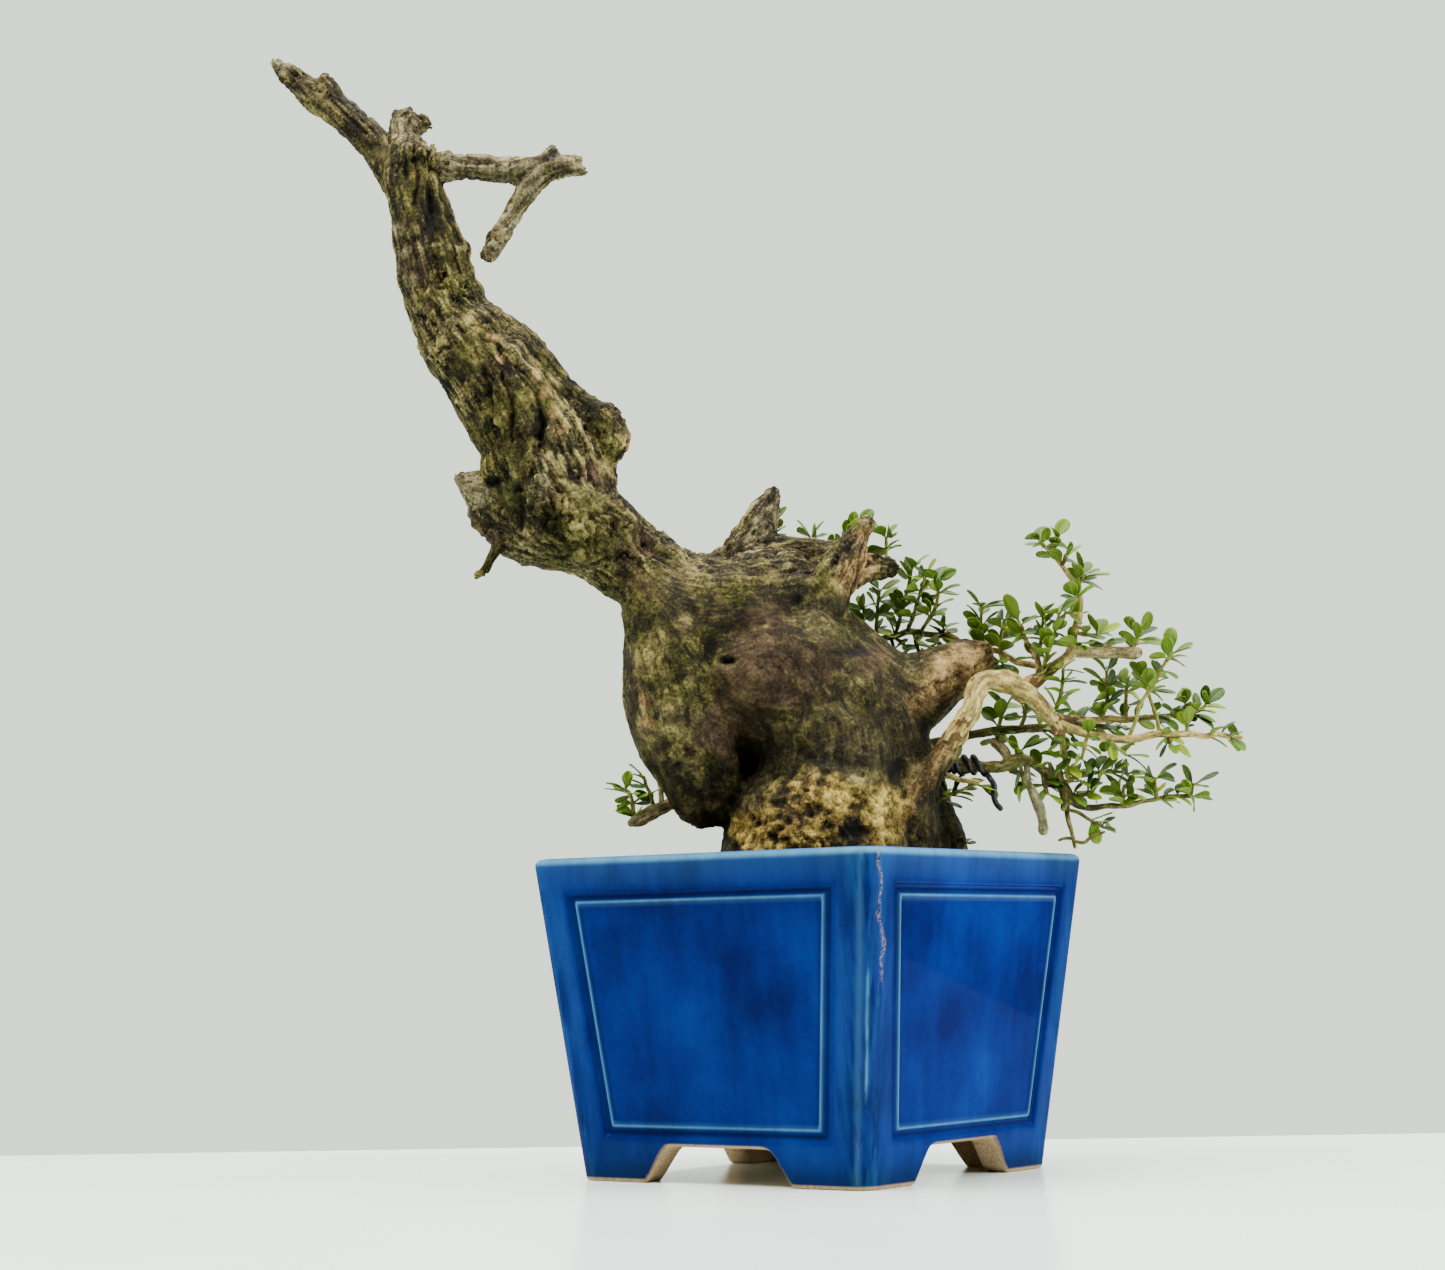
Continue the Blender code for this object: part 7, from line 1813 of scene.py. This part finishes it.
def pot_loop(height, half=None, corner=POT_CORNER, sunk=0.0):
    """One loop round the pot: the place of every column on its own side, then turned to that side."""
    outside = outer_half(height)
    share = (COLUMN_SLOPE * outside + COLUMN_BASE) / (outside - POT_CORNER)
    half = outside if half is None else half
    across = share * (half - corner) + corner * np.sin(COLUMN_TURN)
    back = -half + corner * (1 - np.cos(COLUMN_TURN)) + sunk
    angle = SIDE_OF_COLUMN * math.pi / 2
    x = np.cos(angle) * across - np.sin(angle) * back
    y = np.sin(angle) * across + np.cos(angle) * back
    return np.column_stack((x, y, np.broadcast_to(height, across.shape))), across


def foot_line(across):
    """The height of a side's lower edge: 0 at the feet, and the opening's outline between them."""
    slope = (OPENING_LOW - OPENING_HIGH) / 2 / FOOT_HEIGHT
    rise = np.minimum((OPENING_LOW / 2 - np.abs(across)) / slope, 4 * FOOT_HEIGHT)
    softness = OPENING_CORNER * 0.3
    rounded = -softness * np.log(np.exp(-rise / softness) + math.exp(-FOOT_HEIGHT / softness))
    return np.clip(rounded, 0, None)


def into_panel(height, across):
    """How far a place on a side lies inside its sunk panel's outline, in millimetres."""
    softness = 0.45
    terms = (outer_half(height) - np.abs(across) - PANEL_MARGIN, height - PANEL_LOW, PANEL_HIGH - height)
    return -softness * np.log(sum(np.exp(-np.clip(term, -40, 40) / softness) for term in terms))


def panel_depth(inside):
    """How deep the glaze's surface lies there: the groove, the raised bead and the field."""
    step_up = (PANEL_DEPTH - FIELD_DEPTH) * eased(inside, BEAD_MIDDLE, BEAD_MIDDLE + 1.6)
    depth = PANEL_DEPTH * eased(inside, -0.8, 0.9) - step_up
    return depth - BEAD_HEIGHT * bell(inside - BEAD_MIDDLE, BEAD_WIDTH * 0.46)


def build_pot(glaze):
    """The pot: loops from the foot up its outside, over the lip, down its inside and out under its floor."""
    floor_top = FOOT_HEIGHT + FLOOR_THICKNESS
    loops, marks = [], []

    def keep(places, thin=0.0, pooled=0.0, bare=0.0, corner=0.0):
        loops.append(places)
        marks.append(np.column_stack([np.broadcast_to(mark, len(places))
                                      for mark in (thin, pooled, bare, corner)]))

    def outside(height):
        places, across = pot_loop(height)
        inside = into_panel(height, across)
        turning = COLUMN_TURN > 0
        inside = np.where(turning, -9.0, inside)
        places, across = pot_loop(height, sunk=np.where(turning, 0.0, panel_depth(inside)))
        above_foot = height - foot_line(across)
        thin = 0.72 * bell(inside - BEAD_MIDDLE, 0.6)
        # Paler towards the lip: thin glaze there, and partly a painted highlight along the top edge
        thin = thin + eased(height, 134.8, 136.5) * 0.3 + eased(height, 122, 138) * 0.08
        thin = thin + 0.04 * eased(-inside, 1.5, 3)
        # Painted highlight on the front corner only: a pale upright reflection line and a paler band, laid
        # into the thin-glaze mark
        painted_highlight_corner = turning & (SIDE_OF_COLUMN == 0)
        line = eased(height, 36, 44) * (1 - eased(height, 84, 92)) * bell(COLUMN_TURN - 0.80, 0.06)
        thin = thin + painted_highlight_corner * (0.8 * line + 0.22 * bell(COLUMN_TURN - 0.40, 0.16))
        pooled = 0.85 * bell(inside - 1.9, 0.85) + 0.45 * bell(inside - 6.0, 0.9)
        pooled = pooled + (1 - eased(height, 2, 13)) * eased(np.abs(across), 26, 40) * 0.8
        from_end = np.where(turning, 0, outer_half(height) - np.abs(across))
        keep(places, np.clip(thin, 0, 1), np.clip(pooled, 0, 1), 1 - eased(above_foot, 0.9, 1.7),
             bell(from_end, 13))

    foot = foot_line(pot_loop(0.0)[1])
    for share in FOOT_ROWS:
        outside(foot + SOLE + (PANEL_LOW - 1.2 - foot - SOLE) * share)
    for step in PANEL_ROWS:
        outside(PANEL_LOW - 0.9 + step)
    low, high = PANEL_LOW - 0.9 + PANEL_ROWS[-1], PANEL_HIGH + 0.9 - PANEL_ROWS[-1]
    for step in range(1, FIELD_ROWS):
        outside(low + (high - low) * step / FIELD_ROWS)
    for step in PANEL_ROWS[::-1]:
        outside(PANEL_HIGH + 0.9 - step)
    for height in (126.5, 129.5, 132.5, 135, POT_HEIGHT - LIP):
        outside(np.float64(height))
    # The lip's rounding is pale: thin glaze over it, and partly a painted highlight
    for turn, thin in LIP_STEPS:
        height = POT_HEIGHT - LIP + LIP * math.sin(turn)
        keep(pot_loop(height, outer_half(height) - LIP * (1 - math.cos(turn)))[0], thin)
    for share in (0.12, 0.5, 0.88):
        inset = LIP + (POT_WALL - 2 * LIP) * share
        keep(pot_loop(POT_HEIGHT, outer_half(POT_HEIGHT) - inset, POT_CORNER - 1.5)[0], 0.4)
    for turn in (0.5, 1.0, 1.5):
        height = POT_HEIGHT - LIP + LIP * math.cos(turn)
        half = outer_half(height) - POT_WALL + LIP * (1 - math.sin(turn))
        keep(pot_loop(height, half, INNER_CORNER)[0], 0.5)
    for height in (133, 128, 120, 100, 75, 50, floor_top + 4):
        keep(pot_loop(height, outer_half(height) - POT_WALL, INNER_CORNER)[0], 0.2, 0, float(height < 130))
    for drop, inset in ((1.2, 0.3), (2.8, 1.2), (3.7, 2.8), (4.0, 4.0)):
        height = floor_top + 4 - drop
        keep(pot_loop(height, outer_half(height) - POT_WALL - inset, FLOOR_CORNER)[0], bare=1)
    square = pot_loop(floor_top, outer_half(floor_top) - POT_WALL - 4, FLOOR_CORNER)[0]
    circle = square / np.linalg.norm(square[:, :2], axis=1, keepdims=True)
    drain = DRAIN_HOLE / 2
    for share in (0.35, 0.7):
        flat = square * (1 - share) * (1, 1, 0) + circle * (drain + 1) * share * (1, 1, 0)
        keep(flat + (0, 0, floor_top), bare=1)
    for radius, height in ((drain + 1, floor_top), (drain + 0.3, floor_top - 0.3), (drain, floor_top - 1),
                           (drain, CEILING + 1), (drain + 0.3, CEILING + 0.3), (drain + 1, CEILING)):
        keep(circle * (radius, radius, 0) + (0, 0, height), bare=1)
    pocket = pot_loop(0.0, POCKET_HALF - 2, POCKET_CORNER)[0]
    for share in (0.35, 0.7, 1.0):
        flat = circle * (drain + 1, drain + 1, 0) * (1 - share) + pocket * (share, share, 0)
        keep(flat + (0, 0, CEILING), bare=1)
    wall, across = pot_loop(0.0, POCKET_HALF, POCKET_CORNER)
    line = foot_line(across)
    for share in (0.03, 0.15, 0.4, 0.7, 0.94):
        keep(wall * (1, 1, 0) + np.outer(CEILING - (CEILING - line) * share, (0, 0, 1)), bare=1)
    for half, rise in ((POCKET_HALF + 1, 0.0), (POCKET_HALF + 4, 0), (POCKET_HALF + 8, 0),
                       (outer_half(0) - SOLE, 0), (outer_half(0) - 0.35 * SOLE, 0.3 * SOLE)):
        corner = POCKET_CORNER + (POT_CORNER - POCKET_CORNER) * (half - POCKET_HALF) / FOOT_WALL
        sole, across = pot_loop(0.0, half, corner)
        keep(sole * (1, 1, 0) + np.outer(foot_line(across) + rise, (0, 0, 1)), bare=1)

    columns, rows = len(COLUMN_SLOPE), len(loops)
    faces = [(row * columns + i, row * columns + (i + 1) % columns,
              (row + 1) % rows * columns + (i + 1) % columns,
              (row + 1) % rows * columns + i) for row in range(rows) for i in range(columns)]
    shape = Shape()
    shape.add(np.vstack(loops) * MM + np.array(AXIS), faces, np.vstack(marks))
    declare(shape.piece("glazed_pot", "glaze", glaze), "pot")


def build_soil(earth):
    """The soil, with a crumbly top: its CAD solid, remeshed and roughened."""
    mesh = one_skin(put_in("soil_guide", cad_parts["soil"].data.copy()), SOIL_VOXEL)
    places, normals = mesh_arrays(mesh)
    grain = Grain(31)
    crumbs = 1.5 * np.abs(grain(places, 5)) + 0.8 * grain(places, 3.2) + 1.2 * grain(places, 12)
    on_top = eased(places[:, 2], (SOIL_EDGE - 6) * MM, (SOIL_EDGE - 1) * MM)
    on_top = on_top * eased(normals[:, 2], 0.2, 0.7)
    raised = places + normals * (crumbs * on_top)[:, None] * MM
    rough_piece("crumbly_soil", mesh, raised, earth, "soil")


def build_crumbs(earth):
    """Loose crumbs of soil and grit that lie on the mound."""
    draw = np.random.default_rng(9)
    shape = Shape()
    lump = bmesh.new()
    bmesh.ops.create_icosphere(lump, subdivisions=1, radius=1.0)
    corners = np.array([tuple(vertex.co) for vertex in lump.verts])
    faces = [tuple(vertex.index for vertex in face.verts) for face in lump.faces]
    lump.free()
    reach = outer_half(SOIL_EDGE) - POT_WALL - 2.5
    for _ in range(CRUMBS):
        x, y = draw.uniform(-reach, reach, 2)
        size = draw.uniform(*CRUMB_SIZE) * (BIG_CRUMB if draw.random() < BIG_CRUMB_SHARE else 1.0)
        away = math.hypot(x, y) / MOUND_RADIUS
        height = SOIL_EDGE + (MOUND_RISE * math.sqrt(1 - away ** 2) if away < 1 else 0)
        turn = Matrix.Rotation(draw.uniform(0, 6.28), 3, "Z")
        turn = turn @ Matrix.Rotation(draw.uniform(0, 3.14), 3, "X")
        places = corners * draw.uniform(0.6, 1.15, corners.shape) @ np.array(turn) * size
        shape.add((places + (x, y, height + 0.3 * size)) * MM + np.array(AXIS), faces, corners)
    obj = shape.piece("soil_crumbs", "grain", earth)
    obj.data.shade_flat()
    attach(obj, "root")


def refinish(node, finish):
    """Gives a CAD node that stays in sight a finish of its own."""
    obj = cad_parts[node]
    for slot in obj.material_slots:
        slot.material = finish


def wood_of(name):
    """The bark of a branch or shoot, and the slot that its piece belongs to."""
    if name in DEAD:
        return "old_twig" if name == "hanging_twig" else "deadwood", "deadwood"
    if name in GREEN:
        return "green_bark", "green_bark"
    return ("pale_bark", "pale_bark") if name in BRANCHES else ("young_bark", "leaf")


def build():
    place_camera()
    build_stage()
    light_the_studio()

    draw = np.random.default_rng(4)
    barks = {name: branch_bark(name, *values) for name, values in BARKS.items()}
    leaf = leaf_green()
    earth = loose_ground("soil", (0.010, 0.007, 0.004), (0.035, 0.024, 0.014), (0.10, 0.072, 0.045), 2.6)
    metal = wire_metal("dark_wire", (0.018, 0.018, 0.020), (0.050, 0.044, 0.040), 0.42)

    build_pot(cobalt_glaze())
    build_soil(earth)
    build_crumbs(earth)
    build_trunk(trunk_bark())
    pieces = growth_runs()
    leaves = grow_leaves(pieces)
    fill_out(pieces, leaves, np.random.default_rng(9), np.array([tuple(corner) for corner in cad_box]))
    for name, runs in pieces.items():
        wood, slot = wood_of(name)
        build_growth(name, runs, leaves[name], (barks[wood], leaf), draw)
    build_training_wire(metal)
    build_seedling(barks["young_bark"], leaf, draw)
    refinish("drain_mesh", black_plastic())
    refinish("mesh_clip", metal)
    grit = loose_ground("grit", (0.12, 0.10, 0.08), (0.30, 0.26, 0.21), (0.50, 0.46, 0.40), 6.0)
    refinish("drainage_layer", grit)


build()
